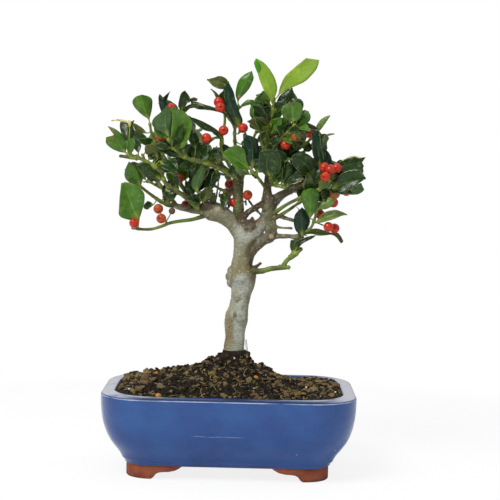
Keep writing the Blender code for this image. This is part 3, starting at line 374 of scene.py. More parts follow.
@dataclass(frozen=True)
class GlazeFinish:
    """Blue stoneware glaze: blotchy, with pinholes and chips, and painted light and shade on the rim."""

    deep: str = "113b7e"
    light: str = "205698"
    pool: str = "163674"
    # Painted light on the rim, in this order: a pale sheen, a highlight line and a dark shade line
    rim_sheen: str = "c3c5cd"
    line: str = "ccd0dc"
    roll: str = "0f234c"
    chip: str = "b9c4d6"
    grains: str = "17336a"
    pins: str = "16305c"
    scratch_height: float = 37.5 * MM
    scratch_from: float = -32.0 * MM
    scratch_to: float = 15.0 * MM

    def build(self) -> Material:
        """Makes the material.

        Returns:
            The material.
        """
        s = Surface("blue_glaze", Specular_IOR_Level=0.4, Coat_Weight=0.15, Coat_Roughness=0.06)
        blotch = s.mottle(28, 0.3, 0.72)
        brushed = s.mottle(34, 0.38, 0.66, stretch=7.0)
        colour = s.mix(blotch, self.deep, self.light)
        colour = s.mix(s.times(brushed, 0.16), colour, self.pool)
        strokes = s.mottle(210, 0.40, 0.66, stretch=6.0)
        colour = s.mix(s.times(strokes, 0.25), colour, self.pool)
        fine = s.mottle(700, 0.42, 0.62, detail=2.0)
        colour = s.mix(s.times(fine, 0.16), colour, self.light)
        grains = s.times(s.speckle(1400, 0.26, 0.2), 0.45)
        colour = s.mix(grains, colour, self.grains)
        pins = s.speckle(620, 0.16, 0.10)
        colour = s.mix(s.times(pins, 0.55), colour, self.pins)
        colour = self.rim(s, colour)
        mark = self.scratch(s)
        colour = s.mix(mark, colour, self.chip)
        s.colour(colour)
        s.roughness(0.13, 0.26, s.mottle(90))
        height = s.maths("SUBTRACT", s.mottle(55, 0.2, 0.8, detail=2.0), s.times(pins, 0.4))
        s.relief(height, 0.22 * MM)
        return s.material

    def rim(self, s: Surface, colour: Socket) -> Socket:
        """The rim's painted light: a pale sheen on parts of its top, a shade line round the lip, a
        highlight line outside.

        Args:
            s: the surface.
            colour: the glaze's colour.

        Returns:
            The colour with the rim's marks.
        """
        axes = s.parts(s.place)
        height = axes[2]
        ends = s.band(s.maths("ABSOLUTE", axes[0]), 72 * MM, 96 * MM)
        # Painted shade: a dark line round the rim's lip, weaker at the ends
        roll = s.times(s.band(height, 67.1 * MM, 67.6 * MM),
                       s.maths("SUBTRACT", 1.0, s.attribute("thin")))
        roll = s.times(roll, s.maths("MULTIPLY_ADD", ends, -0.6, 1.0))
        colour = s.mix(s.times(roll, 0.9), colour, self.roll)
        # Painted sheen: the rim's top pale at the ends and at the front away from the middle, and its
        # edge at the ends
        wide = s.times(ends, s.band(height, 67.4 * MM, 68.2 * MM))
        aside = s.band(s.maths("ABSOLUTE", axes[0]), 42 * MM, 72 * MM)
        front = s.times(s.band(axes[1], -58 * MM, -64 * MM), 0.75)
        front = s.times(front, aside)
        top = s.times(s.larger(ends, front), s.attribute("thin"))
        top = s.times(s.larger(top, wide), s.mottle(60, 0.15, 0.45))
        colour = s.mix(s.times(top, 0.85), colour, self.rim_sheen)
        # Painted highlight: a thin pale line round the outside, just under the lip
        line = s.times(s.band(height, 66.35 * MM, 66.6 * MM), s.band(height, 67.25 * MM, 67.0 * MM))
        line = s.times(line, s.mottle(45, 0.30, 0.60))
        return s.mix(s.times(line, 0.75), colour, self.line)

    def scratch(self, s: Surface) -> Socket:
        """A long faint scratch across the front, and a few small chips of the glaze.

        Args:
            s: the glaze's surface.

        Returns:
            The mask of both.
        """
        axes = s.parts(s.place)
        waver = s.times(s.mottle(60, 0.0, 1.0), 2.4 * MM)
        off = s.maths("SUBTRACT", axes[2], self.scratch_height)
        off = s.maths("ABSOLUTE", s.maths("SUBTRACT", off, waver))
        line = s.band(off, 0.34 * MM, 0.1 * MM)
        within = s.times(s.band(axes[0], self.scratch_from, self.scratch_from + 6 * MM),
                         s.band(axes[0], self.scratch_to, self.scratch_to - 12 * MM))
        broken = s.mottle(240, 0.28, 0.50)
        front = s.band(axes[1], -40 * MM, -50 * MM)
        mask = s.times(s.times(line, within), s.times(broken, front))
        chips = s.times(s.speckle(95, 0.085, 0.16), s.larger(
            s.band(axes[2], 34 * MM, 22 * MM), s.band(axes[2], 66 * MM, 67 * MM)))
        return s.larger(s.times(mask, 0.42), s.times(chips, 0.6))


@dataclass(frozen=True)
class TerracottaFinish:
    """Bare red clay of the feet and the underside, stained by watering."""

    clay: str = "a2593a"
    burnt: str = "7d3d28"
    stain: str = "54362a"
    grit: str = "c58f6c"

    def build(self) -> Material:
        """Makes the material.

        Returns:
            The material.
        """
        s = Surface("terracotta", Specular_IOR_Level=0.3)
        colour = s.mix(s.mottle(70), self.clay, self.burnt)
        axes = s.parts(s.place)
        low = s.band(axes[2], 3.5 * MM, 0.0)
        damp = s.times(low, s.mottle(220))
        colour = s.mix(s.times(damp, 0.7), colour, self.stain)
        grains = s.speckle(1500, 0.3, 0.22)
        colour = s.mix(s.times(grains, 0.35), colour, self.grit)
        s.colour(colour)
        s.roughness(0.62, 0.85, s.mottle(120))
        s.relief(s.maths("ADD", s.mottle(900, 0.3, 0.7), grains), 0.12 * MM)
        return s.material


@dataclass(frozen=True)
class BarkFinish:
    """Smooth grey holly bark: pale patches, brown forks, green young wood, scars and knots."""

    grey: str = "a09f83"
    beige: str = "8d7d58"
    pale: str = "c2c6b8"
    rust: str = "8f6a3c"
    brown: str = "483a25"
    young: str = "4d5b24"
    moss: str = "71764a"
    scar: str = "4a3f2e"
    young_light: str = "727d36"
    fleck: str = "5a4c33"
    light: str = "cbc9b4"
    dots: str = "5d5138"
    heart: str = "b3a47e"

    def build(self) -> Material:
        """Makes the material.

        Returns:
            The material.
        """
        s = Surface("bark", Specular_IOR_Level=0.35)
        colour = s.mix(s.mottle(75), self.grey, self.beige)
        pale = s.times(s.mottle(42, 0.46, 0.62, stretch=0.6), 0.8)
        colour = s.mix(pale, colour, self.pale)
        dapple = s.times(s.mottle(260, 0.44, 0.66), 0.42)
        colour = s.mix(dapple, colour, self.beige)
        moss = s.times(s.attribute("moss"), s.mottle(110, 0.2, 0.6))
        colour = s.mix(s.times(moss, 0.8), colour, self.moss)
        streaks = s.mottle(95, 0.26, 0.5)
        brown = s.times(s.attribute("brown"), streaks, clamp=True)
        lit = s.times(s.attribute("pale"), s.mottle(160, 0.2, 0.5))
        colour = s.mix(lit, colour, self.pale)
        young = s.mix(s.mottle(180, 0.4, 0.7), self.young, self.young_light)
        colour = s.mix(s.attribute("young"), colour, young)
        colour = s.mix(brown, colour, self.brown)
        dashes = s.times(s.speckle(330, 0.20, 0.30, stretch=2.6), 0.42)
        colour = s.mix(dashes, colour, self.scar)
        rust = s.times(s.attribute("rust"), s.mottle(200, 0.3, 0.6))
        colour = s.mix(rust, colour, self.rust)
        fleck = s.times(s.mottle(620, 0.56, 0.66, detail=3.0), 0.5)
        colour = s.mix(fleck, colour, self.fleck)
        light = s.times(s.mottle(480, 0.58, 0.68, detail=3.0), 0.45)
        colour = s.mix(light, colour, self.light)
        dots = s.times(s.speckle(900, 0.24, 0.30), 0.5)
        colour = s.mix(dots, colour, self.dots)
        colour = s.mix(s.attribute("scar"), colour, self.scar)
        colour = s.mix(s.attribute("heart"), colour, self.heart)
        s.colour(colour)
        s.roughness(0.5, 0.78, s.mottle(150))
        height = s.maths("ADD", s.mottle(420, 0.3, 0.7, stretch=1.6), s.times(dashes, 1.2))
        s.relief(height, 0.5 * MM)
        return s.material


@dataclass(frozen=True)
class TwigFinish:
    """Green twigs and leaf stalks, corky and brown here and there."""

    green: str = "586924"
    bright: str = "718430"
    cork: str = "54462b"
    stalk: str = "8e9c3a"
    spots: str = "a49a70"

    def build(self) -> Material:
        """Makes the material.

        Returns:
            The material.
        """
        s = Surface("green_twig", Specular_IOR_Level=0.4)
        green = s.mix(s.mottle(62, 0.42, 0.60), self.green, self.bright)
        old = s.times(s.mottle(100, 0.49, 0.61), 0.85)
        colour = s.mix(old, green, self.cork)
        fresh_and_highlight = s.times(s.attribute("fresh_and_highlight"), 0.8)
        colour = s.mix(fresh_and_highlight, colour, self.stalk)
        spots = s.times(s.speckle(1100, 0.25, 0.2), 0.5)
        colour = s.mix(spots, colour, self.spots)
        s.colour(colour)
        s.roughness(0.42, 0.7, old)
        s.relief(s.mottle(900, 0.3, 0.7), 0.12 * MM)
        return s.material


@dataclass(frozen=True)
class LeafFinish:
    """Waxy holly leaf: pale ribs, a horny rim, a dull pale underside, scorched cream edges, and painted
    highlights and sheen.
    """

    name: str = "holly_leaf"
    rib: str = "8fa85a"
    rim: str = "b9bd86"
    under: str = "6f8650"
    cream: str = "c3b684"
    scorch: str = "75552f"
    # Painted light, in this order: a bluish reflection on teal leaves and pale sheen patches on all
    sheen: str = "6e97ab"
    pale_sheen: str = "a9bda4"
    young: str = "9dac44"
    rib_share: float = 0.6
    patchy: float = 1.0
    depth: float = 0.22 * MM
    gloss_low: float = 0.16
    gloss_high: float = 0.34

    def build(self) -> Material:
        """Makes the material, which reads the place on the blade from the mesh.

        Returns:
            The material.
        """
        s = Surface(self.name, Specular_IOR_Level=0.24, Coat_Weight=0.05, Coat_Roughness=0.12)
        tint = s.add("ShaderNodeAttribute", attribute_name="tint").outputs["Color"]
        across = s.maths("ABSOLUTE", s.attribute("across"))
        along = s.attribute("along")
        blotch = s.mottle(210, 0.3, 0.7)
        dim = s.mix(blotch, (0.78, 0.79, 0.72), (1.33, 1.28, 1.12))
        colour = s.mix(self.patchy, tint, dim, blend="MULTIPLY")
        # Painted reflection: bluish streaks of the sky on the gloss of teal leaves
        parts = s.add("ShaderNodeSeparateColor", {0: tint})
        teal = s.band(s.maths("DIVIDE", parts.outputs[2], parts.outputs[1]), 0.45, 0.6)
        streak = s.times(s.mottle(150, 0.60, 0.68, stretch=0.45), 0.3)
        colour = s.mix(s.times(teal, streak), colour, self.sheen)
        # Painted highlights: lighter patches of the blade's own colour
        fresh_and_highlight = s.mix(s.mottle(75, 0.52, 0.66), colour, s.mix(
            1.0, colour, (1.5, 1.35, 1.1), blend="MULTIPLY"))
        colour = s.mix(0.8, colour, fresh_and_highlight)
        # Painted sheen: pale grey patches over the blade
        shine = s.times(s.mottle(170, 0.58, 0.72, detail=3.0), 0.17 * self.patchy)
        colour = s.mix(shine, colour, self.pale_sheen)
        start = s.times(s.band(along, 0.30, 0.0), s.band(across, 0.9, 0.1))
        colour = s.mix(s.times(start, 0.85), colour, self.young)
        width = s.maths("MULTIPLY_ADD", along, -0.075, 0.095)
        midrib = s.band(s.maths("DIVIDE", across, width), 1.0, 0.35)
        slant = s.maths("MULTIPLY_ADD", across, -1.7, s.times(along, 7.0))
        wave = s.maths("SINE", s.times(slant, 2 * math.pi))
        vein = s.times(s.band(wave, 0.86, 1.0), s.band(across, 1.0, 0.55))
        strong = s.maths("MULTIPLY_ADD", along, -0.45, 1.25)
        strong = s.times(strong, self.rib_share)
        ribs = s.larger(s.times(midrib, strong, clamp=True), s.times(vein, 0.16))
        lit = s.mix(1.0, colour, (2.4, 2.2, 2.0), blend="MULTIPLY")
        colour = s.mix(ribs, colour, s.mix(0.3, lit, self.rib))
        rim = s.times(s.band(across, 0.95, 1.0), 0.2)
        colour = s.mix(rim, colour, self.rim)
        ragged = s.maths("MULTIPLY_ADD", s.mottle(340, 0.2, 0.8), 0.45, s.attribute("cream"))
        colour = s.mix(s.band(ragged, 0.62, 0.80), colour, self.cream)
        burnt = s.times(s.band(ragged, 0.50, 0.62), s.band(ragged, 0.74, 0.62))
        colour = s.mix(s.times(burnt, 0.8), colour, self.scorch)
        below = s.attribute("under")
        colour = s.mix(s.times(below, 0.62), colour, self.under)
        s.colour(colour)
        dull = s.larger(below, s.times(s.mottle(120), 0.45))
        s.roughness(self.gloss_low, self.gloss_high + 0.08, dull)
        sunk = s.larger(midrib, s.times(vein, 0.6))
        leather = s.times(s.mottle(620, 0.25, 0.75, detail=2.0), 0.35)
        s.relief(s.maths("SUBTRACT", leather, sunk), self.depth)
        return s.material


@dataclass(frozen=True)
class BerryFinish:
    """Shiny red berry skin with pale dots, more orange where it isn't ripe."""

    red: str = "b3200a"
    bright: str = "bf3010"
    orange: str = "9c4d12"
    dry: str = "54452c"
    dots: str = "e89a7c"
    calyx: str = "2c2018"

    def build(self) -> Material:
        """Makes the material; the mesh says how ripe each berry is.

        Returns:
            The material.
        """
        s = Surface("berry_skin", Specular_IOR_Level=0.3, Coat_Weight=0.2, Coat_Roughness=0.05)
        ripe = s.mix(s.mottle(240), self.red, self.bright)
        share = s.attribute("ripe")
        colour = s.mix(s.band(share, 0.0, 1.0), self.orange, ripe)
        colour = s.mix(s.band(share, 0.0, -0.5), colour, self.dry)
        colour = s.mix(s.times(s.speckle(1500, 0.2, 0.3), 0.35), colour, self.dots)
        colour = s.mix(s.attribute("calyx"), colour, self.calyx)
        s.colour(colour)
        s.roughness(0.24, 0.4, s.mottle(300))
        s.relief(s.mottle(800, 0.3, 0.7), 0.07 * MM)
        return s.material


@dataclass(frozen=True)
class EarthFinish:
    """Damp humus, or the loose grit on it, by its tones and its roughness."""

    name: str
    tones: tuple[str, ...]
    pits: str
    grain: float
    depth: float

    def build(self) -> Material:
        """Makes the material; the mesh says which tone each grain has.

        Returns:
            The material.
        """
        s = Surface(self.name, Specular_IOR_Level=0.25)
        ramp = s.add("ShaderNodeValToRGB", {0: s.attribute("tone")})
        for number, tone in enumerate(self.tones):
            place = number / (len(self.tones) - 1)
            if number in (0, len(self.tones) - 1):
                stop = ramp.color_ramp.elements[0 if number == 0 else -1]
            else:
                stop = ramp.color_ramp.elements.new(place)
            stop.color = (*from_hex(tone), 1.0)
        dim = s.mix(s.mottle(self.grain), (0.62, 0.60, 0.58), (1.2, 1.2, 1.2))
        colour = s.mix(1.0, ramp.outputs["Color"], dim, blend="MULTIPLY")
        pits = s.mottle(self.grain * 2.2, 0.54, 0.66)
        colour = s.mix(s.times(pits, 0.65), colour, self.pits)
        s.colour(colour)
        s.roughness(0.78, 0.95, s.mottle(self.grain))
        s.relief(s.maths("SUBTRACT", s.mottle(self.grain * 1.5, 0.25, 0.75), pits), self.depth)
        return s.material


@dataclass(frozen=True)
class PlainFinish:
    """A finish of one tone with blotches: straw, fertiliser coating, plastic or floor."""

    name: str
    first: str
    second: str
    scale: float
    rough: tuple[float, float]
    relief: float = 0.05 * MM

    def build(self) -> Material:
        """Makes the material.

        Returns:
            The material.
        """
        s = Surface(self.name, Specular_IOR_Level=0.4)
        s.colour(s.mix(s.mottle(self.scale), self.first, self.second))
        s.roughness(*self.rough, s.mottle(self.scale * 2))
        s.relief(s.mottle(self.scale * 4), self.relief)
        return s.material


@dataclass(frozen=True)
class FloorFinish:
    """A pale floor that glows white away from the pot, like a sheet lit from all round."""

    dull: str = "f6f6f5"
    white: str = "fbfbfb"
    near: float = 0.16
    far: float = 0.55
    least: float = 0.85

    def build(self) -> Material:
        """Makes the material.

        Returns:
            The material.
        """
        s = Surface("studio_floor", Specular_IOR_Level=0.1)
        s.colour(s.mix(s.mottle(3), self.dull, self.white))
        s.roughness(0.8, 0.9, s.mottle(5))
        axes = s.parts(s.place)
        flat = s.add("ShaderNodeCombineXYZ", {0: axes[0], 1: axes[1]})
        reach = s.add("ShaderNodeVectorMath", {0: flat.outputs[0]}, operation="LENGTH")
        away = s.band(reach.outputs["Value"], self.near, self.far)
        seen = s.add("ShaderNodeLightPath").outputs["Is Camera Ray"]
        away = s.times(s.larger(away, self.least), seen)
        glow = s.add("ShaderNodeEmission", {"Color": (1.0, 1.0, 1.0), "Strength": 1.0})
        both = s.add("ShaderNodeMixShader", {0: away, 1: s.shader.outputs[0], 2: glow.outputs[0]})
        output = s.material.node_tree.nodes["Material Output"]
        s.tree.links.new(both.outputs[0], output.inputs["Surface"])
        return s.material


def cad_points(node: str) -> list[Vector]:
    """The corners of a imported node, counted from the middle of the pot's footprint."""
    return [vertex.co - POT_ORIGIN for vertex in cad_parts[node].data.vertices]


def cad_tree(node: str) -> BVHTree:
    """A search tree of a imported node's faces."""
    faces = [list(face.vertices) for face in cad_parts[node].data.polygons]
    return BVHTree.FromPolygons(cad_points(node), faces)


def search_tree(places: list[Vector]) -> KDTree:
    """A tree that finds the nearest of some places.

    Args:
        places: the places.

    Returns:
        The tree, which gives each place by its number in the list.
    """
    near = KDTree(len(places))
    for number, place in enumerate(places):
        near.insert(place, number)
    near.balance()
    return near


def add_piece(name: str, shape: Shape, materials: list[Material],
              slot: str, *nodes: str) -> bpy.types.Object:
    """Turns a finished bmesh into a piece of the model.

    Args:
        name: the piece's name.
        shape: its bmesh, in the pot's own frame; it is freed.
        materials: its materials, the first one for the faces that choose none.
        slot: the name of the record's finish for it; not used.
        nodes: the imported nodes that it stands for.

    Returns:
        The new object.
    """
    bmesh.ops.translate(shape, verts=shape.verts, vec=POT_ORIGIN)
    bmesh.ops.recalc_face_normals(shape, faces=shape.faces)
    mesh = bpy.data.meshes.new(name)
    shape.to_mesh(mesh)
    shape.free()
    mesh.shade_smooth()
    for material in materials:
        mesh.materials.append(material)
    item = bpy.data.objects.new(name, mesh)
    bpy.context.scene.collection.objects.link(item)
    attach(item, BODY)
    if nodes:
        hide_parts(*nodes)
    triangles = sum(len(face.vertices) - 2 for face in mesh.polygons)
    LOG.info("%s: %d triangles", name, triangles)
    return item


def curve_point(before: Vector, start: Vector, end: Vector, after: Vector, share: float) -> Vector:
    """A point of the smooth curve that runs through four points, between the middle two.

    Args:
        before: the point before the span.
        start: the span's first point.
        end: the span's last point.
        after: the point after the span.
        share: how far along the span, from 0 to 1.

    Returns:
        The point on the curve.
    """
    return 0.5 * ((2 * start) + (end - before) * share
                  + (2 * before - 5 * start + 4 * end - after) * share ** 2
                  + (3 * start - before - 3 * end + after) * share ** 3)


def smooth_route(route: Route, step: float) -> Route:
    """Rounds a route of places and radii.

    Args:
        route: the places with their radii.
        step: the length of each new piece.

    Returns:
        A denser route along a smooth curve through all the places.
    """
    knots = [Vector((*place, radius)) for place, radius in route]
    knots = [knots[0] * 2 - knots[1], *knots, knots[-1] * 2 - knots[-2]]
    dense = []
    for before, start, end, after in zip(knots, knots[1:], knots[2:], knots[3:]):
        count = max(1, round((end.xyz - start.xyz).length / step))
        dense += [curve_point(before, start, end, after, k / count) for k in range(count)]
    dense.append(knots[-2])
    return [(knot.xyz, max(knot.w, 0.2 * MM)) for knot in dense]


def evaluated(item: bpy.types.Object) -> Shape:
    """The bmesh of an object with its modifiers or bevel carried out; the object is removed.

    Args:
        item: the object.

    Returns:
        Its finished shape.
    """
    graph = bpy.context.evaluated_depsgraph_get()
    mesh = bpy.data.meshes.new_from_object(item.evaluated_get(graph))
    bpy.data.objects.remove(item, do_unlink=True)
    shape = bmesh.new()
    shape.from_mesh(mesh)
    bpy.data.meshes.remove(mesh)
    return shape


def helper_object(name: str, data: bpy.types.ID) -> bpy.types.Object:
    """A passing object for data that has to be evaluated.

    Args:
        name: its name.
        data: its mesh, curve, lamp or camera.

    Returns:
        The object.
    """
    item = bpy.data.objects.new(name, data)
    bpy.context.scene.collection.objects.link(item)
    return item


def helper_mesh(name: str, shape: Shape) -> bpy.types.Object:
    """A passing object for a bmesh, which is freed.

    Args:
        name: its name.
        shape: the bmesh.

    Returns:
        The object.
    """
    mesh = bpy.data.meshes.new(name)
    shape.to_mesh(mesh)
    shape.free()
    return helper_object(name, mesh)


def round_rods(routes: list[Route], fineness: int) -> Shape:
    """Closed round rods along routes.

    Args:
        routes: each rod's places with their radii.
        fineness: 1 gives rods of six sides, and each further step two more.

    Returns:
        A bmesh of all the rods.
    """
    curve = bpy.data.curves.new("rods", "CURVE")
    curve.dimensions = "3D"
    curve.bevel_depth = 1.0
    curve.bevel_resolution = fineness
    curve.use_fill_caps = True
    for route in routes:
        spline = curve.splines.new("POLY")
        spline.points.add(len(route) - 1)
        for point, (place, radius) in zip(spline.points, route):
            point.co = (*place, 1.0)
            point.radius = radius
    shape = evaluated(helper_object("rods", curve))
    bmesh.ops.remove_doubles(shape, verts=shape.verts, dist=0.001 * MM)
    return shape


def grown_ring(shape: Shape, ring: list[Point], places: list[Vector]) -> list[Point]:
    """Extrudes a closed ring of points to new places.

    Args:
        shape: the bmesh that the ring lies in.
        ring: its points in order.
        places: where each point's successor goes.

    Returns:
        The new ring, in the same order.
    """
    edges = [shape.edges.get((ring[k], ring[k - 1])) for k in range(len(ring))]
    grown = bmesh.ops.extrude_edge_only(shape, edges=edges)["geom"]
    new = {part for part in grown if isinstance(part, Point)}
    following = []
    for point, place in zip(ring, places):
        partner = next(edge.other_vert(point) for edge in point.link_edges
                       if edge.other_vert(point) in new)
        partner.co = place
        following.append(partner)
    return following


def first_ring(shape: Shape, places: list[Vector]) -> list[Point]:
    """Starts a shape from one closed ring of points.

    Args:
        shape: the bmesh.
        places: the ring's places.

    Returns:
        The ring's points.
    """
    ring = [shape.verts.new(place) for place in places]
    for k in range(len(ring)):
        shape.edges.new((ring[k - 1], ring[k]))
    return ring


# The pot

RIM_HALF = Vector((104.0, 75.0)) * MM
CORNER_RADIUS = 38 * MM
# How much the corners' radius shrinks for each step inward, and its least
CORNER_SHRINK = 0.8
CORNER_LEAST = 10 * MM
SIDE_PIECES = (44, 24)
FLOOR_UNDER = 10.5 * MM
FLOOR_TOP = 16.5 * MM
DRAIN_RADIUS = 6.5 * MM
DRAIN_OFFSET = 42 * MM
FOOT_THICKNESS = 7 * MM
# Height and inset from the rim's edge in millimetres, how strongly the rim's top gets its painted
# pale sheen there, and how much rounder than the rim's edge the corners are
POT_PROFILE = [(10.5, 22.2, 0, 0), (10.6, 21.3, 0, 0), (11.3, 20.4, 0, 0), (12.6, 19.8, 0, 0),
               (14.0, 18.9, 0, 0), (14.8, 17.8, 0, 0), (16.8, 16.9, 0, 0), (20.3, 14.8, 0, 0),
               (28.0, 8.9, 0, 0), (34.6, 5.2, 0, 0), (44.0, 2.1, 0, 0), (54.3, 0.5, 0, 0),
               (61.8, 0.12, 0, 0), (65.6, 0.02, 0, 0), (66.6, 0.08, 0, 0), (67.3, 0.4, 0, 0),
               (67.95, 1.1, 0, 0), (68.5, 2.3, 0, 0.5), (68.75, 3.8, 0.15, 1.5),
               (68.8, 5.6, 0.9, 3), (68.8, 8.8, 1, 6), (68.5, 10.1, 1, 7.5),
               (67.5, 10.75, 0.6, 8), (65.3, 10.8, 0, 8), (62.3, 9.3, 0, 6), (59.3, 7.4, 0, 4),
               (48.0, 8.0, 0, 2), (34.6, 12.2, 0, 0), (20.0, 22.0, 0, 0), (17.2, 24.8, 0, 0),
               (16.5, 26.2, 0, 0)]
# The rim's corner at the back on the left is rounder than the others
ROUND_CORNER = 14 * MM
ROUND_CORNER_INSET = 12 * MM


def pot_outline(inset: float, height: float, pieces: tuple[int, int] = SIDE_PIECES,
                rounder: float = 0.0, corner_steps: int = 12) -> list[Vector]:
    """A rounded rectangle that lies inside the rim's edge.

    Args:
        inset: how far inside the edge.
        height: the ring's height.
        pieces: how many pieces each long and each short side has.
        rounder: how much larger the corners' radius is than the rim's edge makes it.
        corner_steps: how many pieces each corner has.

    Returns:
        The ring's points in order.
    """
    half = RIM_HALF - Vector((inset, inset))
    corners = []
    for number, (sign_x, sign_y) in enumerate(((1, 1), (-1, 1), (-1, -1), (1, -1))):
        radius = max(CORNER_RADIUS - CORNER_SHRINK * inset, CORNER_LEAST) + rounder
        if number == 1:
            radius += ROUND_CORNER * max(0.0, 1 - inset / ROUND_CORNER_INSET)
        core = half - Vector((radius, radius))
        angles = [math.radians(90 * number + 90 * k / corner_steps)
                  for k in range(corner_steps + 1)]
        corners.append([Vector((sign_x * core.x + radius * math.cos(angle),
                                sign_y * core.y + radius * math.sin(angle), height))
                        for angle in angles])
    ring = []
    for number, corner in enumerate(corners):
        following = corners[(number + 1) % 4][0]
        count = pieces[number % 2]
        ring += corner + [corner[-1].lerp(following, k / count) for k in range(1, count)]
    return ring


@dataclass
class Pot:
    """The glazed pot on its clay bracket feet, with two drain holes."""

    glaze: Material
    clay: Material
    waver: float = 0.3 * MM
    profile_steps: int = 3
    foot_steps: int = 8
    foot_sink: float = 2.0 * MM
    foot_inset: float = 21.0 * MM
    rise_long: tuple = ((27, 11.6), (23.5, 8.9), (20, 7.0), (15, 5.9), (10, 5.6), (6.8, 5.2),
                        (4.5, 4.0), (2.6, 1.4), (0.5, 0))
    rise_short: tuple = ((0.5, 0), (2.6, 1.4), (4.5, 4.0), (6.8, 5.2), (10, 5.8), (13.5, 7.6),
                         (16, 11.6))

    def dense_profile(self) -> list[Vector]:
        """The wall's section, from the foot up the outside and down the inside.

        Returns:
            The section's rows, close enough for its curves.
        """
        rows = [Vector(row) for row in POT_PROFILE]
        rows = [rows[0], *rows, rows[-1]]
        dense = []
        for spot in zip(rows, rows[1:], rows[2:], rows[3:]):
            dense += [curve_point(*spot, k / self.profile_steps) for k in range(self.profile_steps)]
        return dense + [rows[-1]]

    def build_body(self) -> None:
        """The walls and floor, ring by ring, then the drain holes."""
        shape = bmesh.new()
        # The thin layer marks the rim's top, where the glaze paints a pale sheen and no shade line
        thin = shape.verts.layers.float.new("thin")
        ring = None
        for height, inset, share, rounder in self.dense_profile():
            places = pot_outline(max(inset, 0.0) * MM, height * MM, rounder=rounder * MM)
            for place in places:
                soft = 0.5 + 0.5 * noise.noise(Vector((place.x * 14, place.y * 14, height * 0.02)))
                inward = Vector((-place.x, -place.y, 0)).normalized()
                place += inward * self.waver * soft
            ring = grown_ring(shape, ring, places) if ring else first_ring(shape, places)
            if len(shape.verts) == len(ring):
                bottom = list(ring)
            for point in ring:
                point[thin] = max(0.0, min(1.0, share))
        bmesh.ops.contextual_create(shape, geom=bottom)
        bmesh.ops.contextual_create(shape, geom=ring)
        bmesh.ops.recalc_face_normals(shape, faces=shape.faces)
        drills = bmesh.new()
        for side in (-1, 1):
            place = Matrix.Translation((side * DRAIN_OFFSET, 0, FLOOR_UNDER + 3 * MM))
            bmesh.ops.create_cone(drills, cap_ends=True, segments=48, radius1=DRAIN_RADIUS,
                                  radius2=DRAIN_RADIUS, depth=20 * MM, matrix=place)
        body = helper_mesh("body", shape)
        cutter = helper_mesh("drills", drills)
        cut = body.modifiers.new("drain", "BOOLEAN")
        cut.operation = "DIFFERENCE"
        cut.object = cutter
        shape = evaluated(body)
        bpy.data.objects.remove(cutter, do_unlink=True)
        for face in shape.faces:
            middle = face.calc_center_median()
            hole = abs(abs(middle.x) - DRAIN_OFFSET) < DRAIN_RADIUS * 1.01
            drained = hole and abs(middle.y) < DRAIN_RADIUS * 1.01
            if middle.z < FLOOR_UNDER + 0.5 * MM or (drained and middle.z < FLOOR_TOP):
                face.material_index = 1
        add_piece("pot_body", shape, [self.glaze, self.clay], "blue_glaze", "pot")

    def foot_sections(self) -> list[tuple[Vector, Vector, float]]:
        """One foot's stations: place on the outside, way inward and height of the lower edge.

        Returns:
            The stations.
        """
        radius = CORNER_RADIUS - CORNER_SHRINK * self.foot_inset
        half = RIM_HALF - Vector((self.foot_inset, self.foot_inset))
        core = half - Vector((radius, radius))
        sections = [(Vector((core.x - reach * MM, half.y, 0)), Vector((0, -1, 0)), rise * MM)
                    for reach, rise in self.rise_long]
        for k in range(self.foot_steps + 1):
            angle = math.radians(90 - 90 * k / self.foot_steps)
            way = Vector((math.cos(angle), math.sin(angle), 0))
            sections.append((Vector((core.x, core.y, 0)) + way * radius, -way, 0.0))
        sections += [(Vector((half.x, core.y - reach * MM, 0)), Vector((-1, 0, 0)), rise * MM)
                     for reach, rise in self.rise_short]
        return sections

    def build_feet(self) -> None:
        """Four bracket feet whose lower edge rises in an ogee."""
        shape = bmesh.new()
        top = FLOOR_UNDER + self.foot_sink
        for sign_x in (-1, 1):
            for sign_y in (-1, 1):
                turned = Matrix.Diagonal((sign_x, sign_y, 1))
                ring = None
                for place, inward, rise in self.foot_sections():
                    low = min(rise, FLOOR_UNDER + 1 * MM)
                    outer = place + inward * 0.5 * MM
                    inner = place + inward * FOOT_THICKNESS
                    corners = [(outer, top), (outer, low + 0.9 * MM),
                               (place + inward * 1.3 * MM, low),
                               (place + inward * (FOOT_THICKNESS - 0.8 * MM), low),
                               (inner, low + 0.8 * MM), (inner, top)]
                    places = [turned @ Vector((spot.x, spot.y, min(high, top)))
                              for spot, high in corners]
                    if ring is None:
                        ring = first_ring(shape, places)
                        bmesh.ops.contextual_create(shape, geom=ring)
                    else:
                        ring = grown_ring(shape, ring, places)
                bmesh.ops.contextual_create(shape, geom=ring)
        add_piece("pot_feet", shape, [self.clay], "terracotta", "pot")


# The soil

SOIL_RIM_HEIGHT = 66.7 * MM
MOUND_LEFT = (20 * MM, 86 * MM)
MOUND_RIGHT = (22 * MM, 40 * MM)
MOUND_DEEP = 42 * MM
COLLAR_RISE = 20 * MM
COLLAR_REACH = 13 * MM
END_RISE = 3.2 * MM
# Small heaps: X, Y, rise and reach in millimetres
HEAPS = [(28, 6, 3.5, 8), (-16, 4, 2.0, 7), (48, 18, 2.0, 7), (-52, 14, 2.2, 9),
         (-88, 20, 2.0, 10), (86, 12, 2.0, 9)]
FOOT_ACROSS = 2.8 * MM
FOOT_RADIUS = 8.6 * MM
FOOT_BOTTOM = 74.3 * MM
FOOT_TOP = 99.8 * MM
# Fine pale roots by the trunk: across, down and millimetres behind it
FINE_ROOTS = [[(247.6, 351, -8), (247.0, 345, -9), (246.2, 339, -9)],
              [(246.4, 351, -7), (245.8, 345, -8), (245.6, 340, -8)]]
# Fertiliser pellets on the soil: X, Y and radius in millimetres
PELLETS = [(-61, -6, 1.8), (-56, -58.5, 2.7), (21.5, -24, 2.2), (-24, 44, 2.4)]


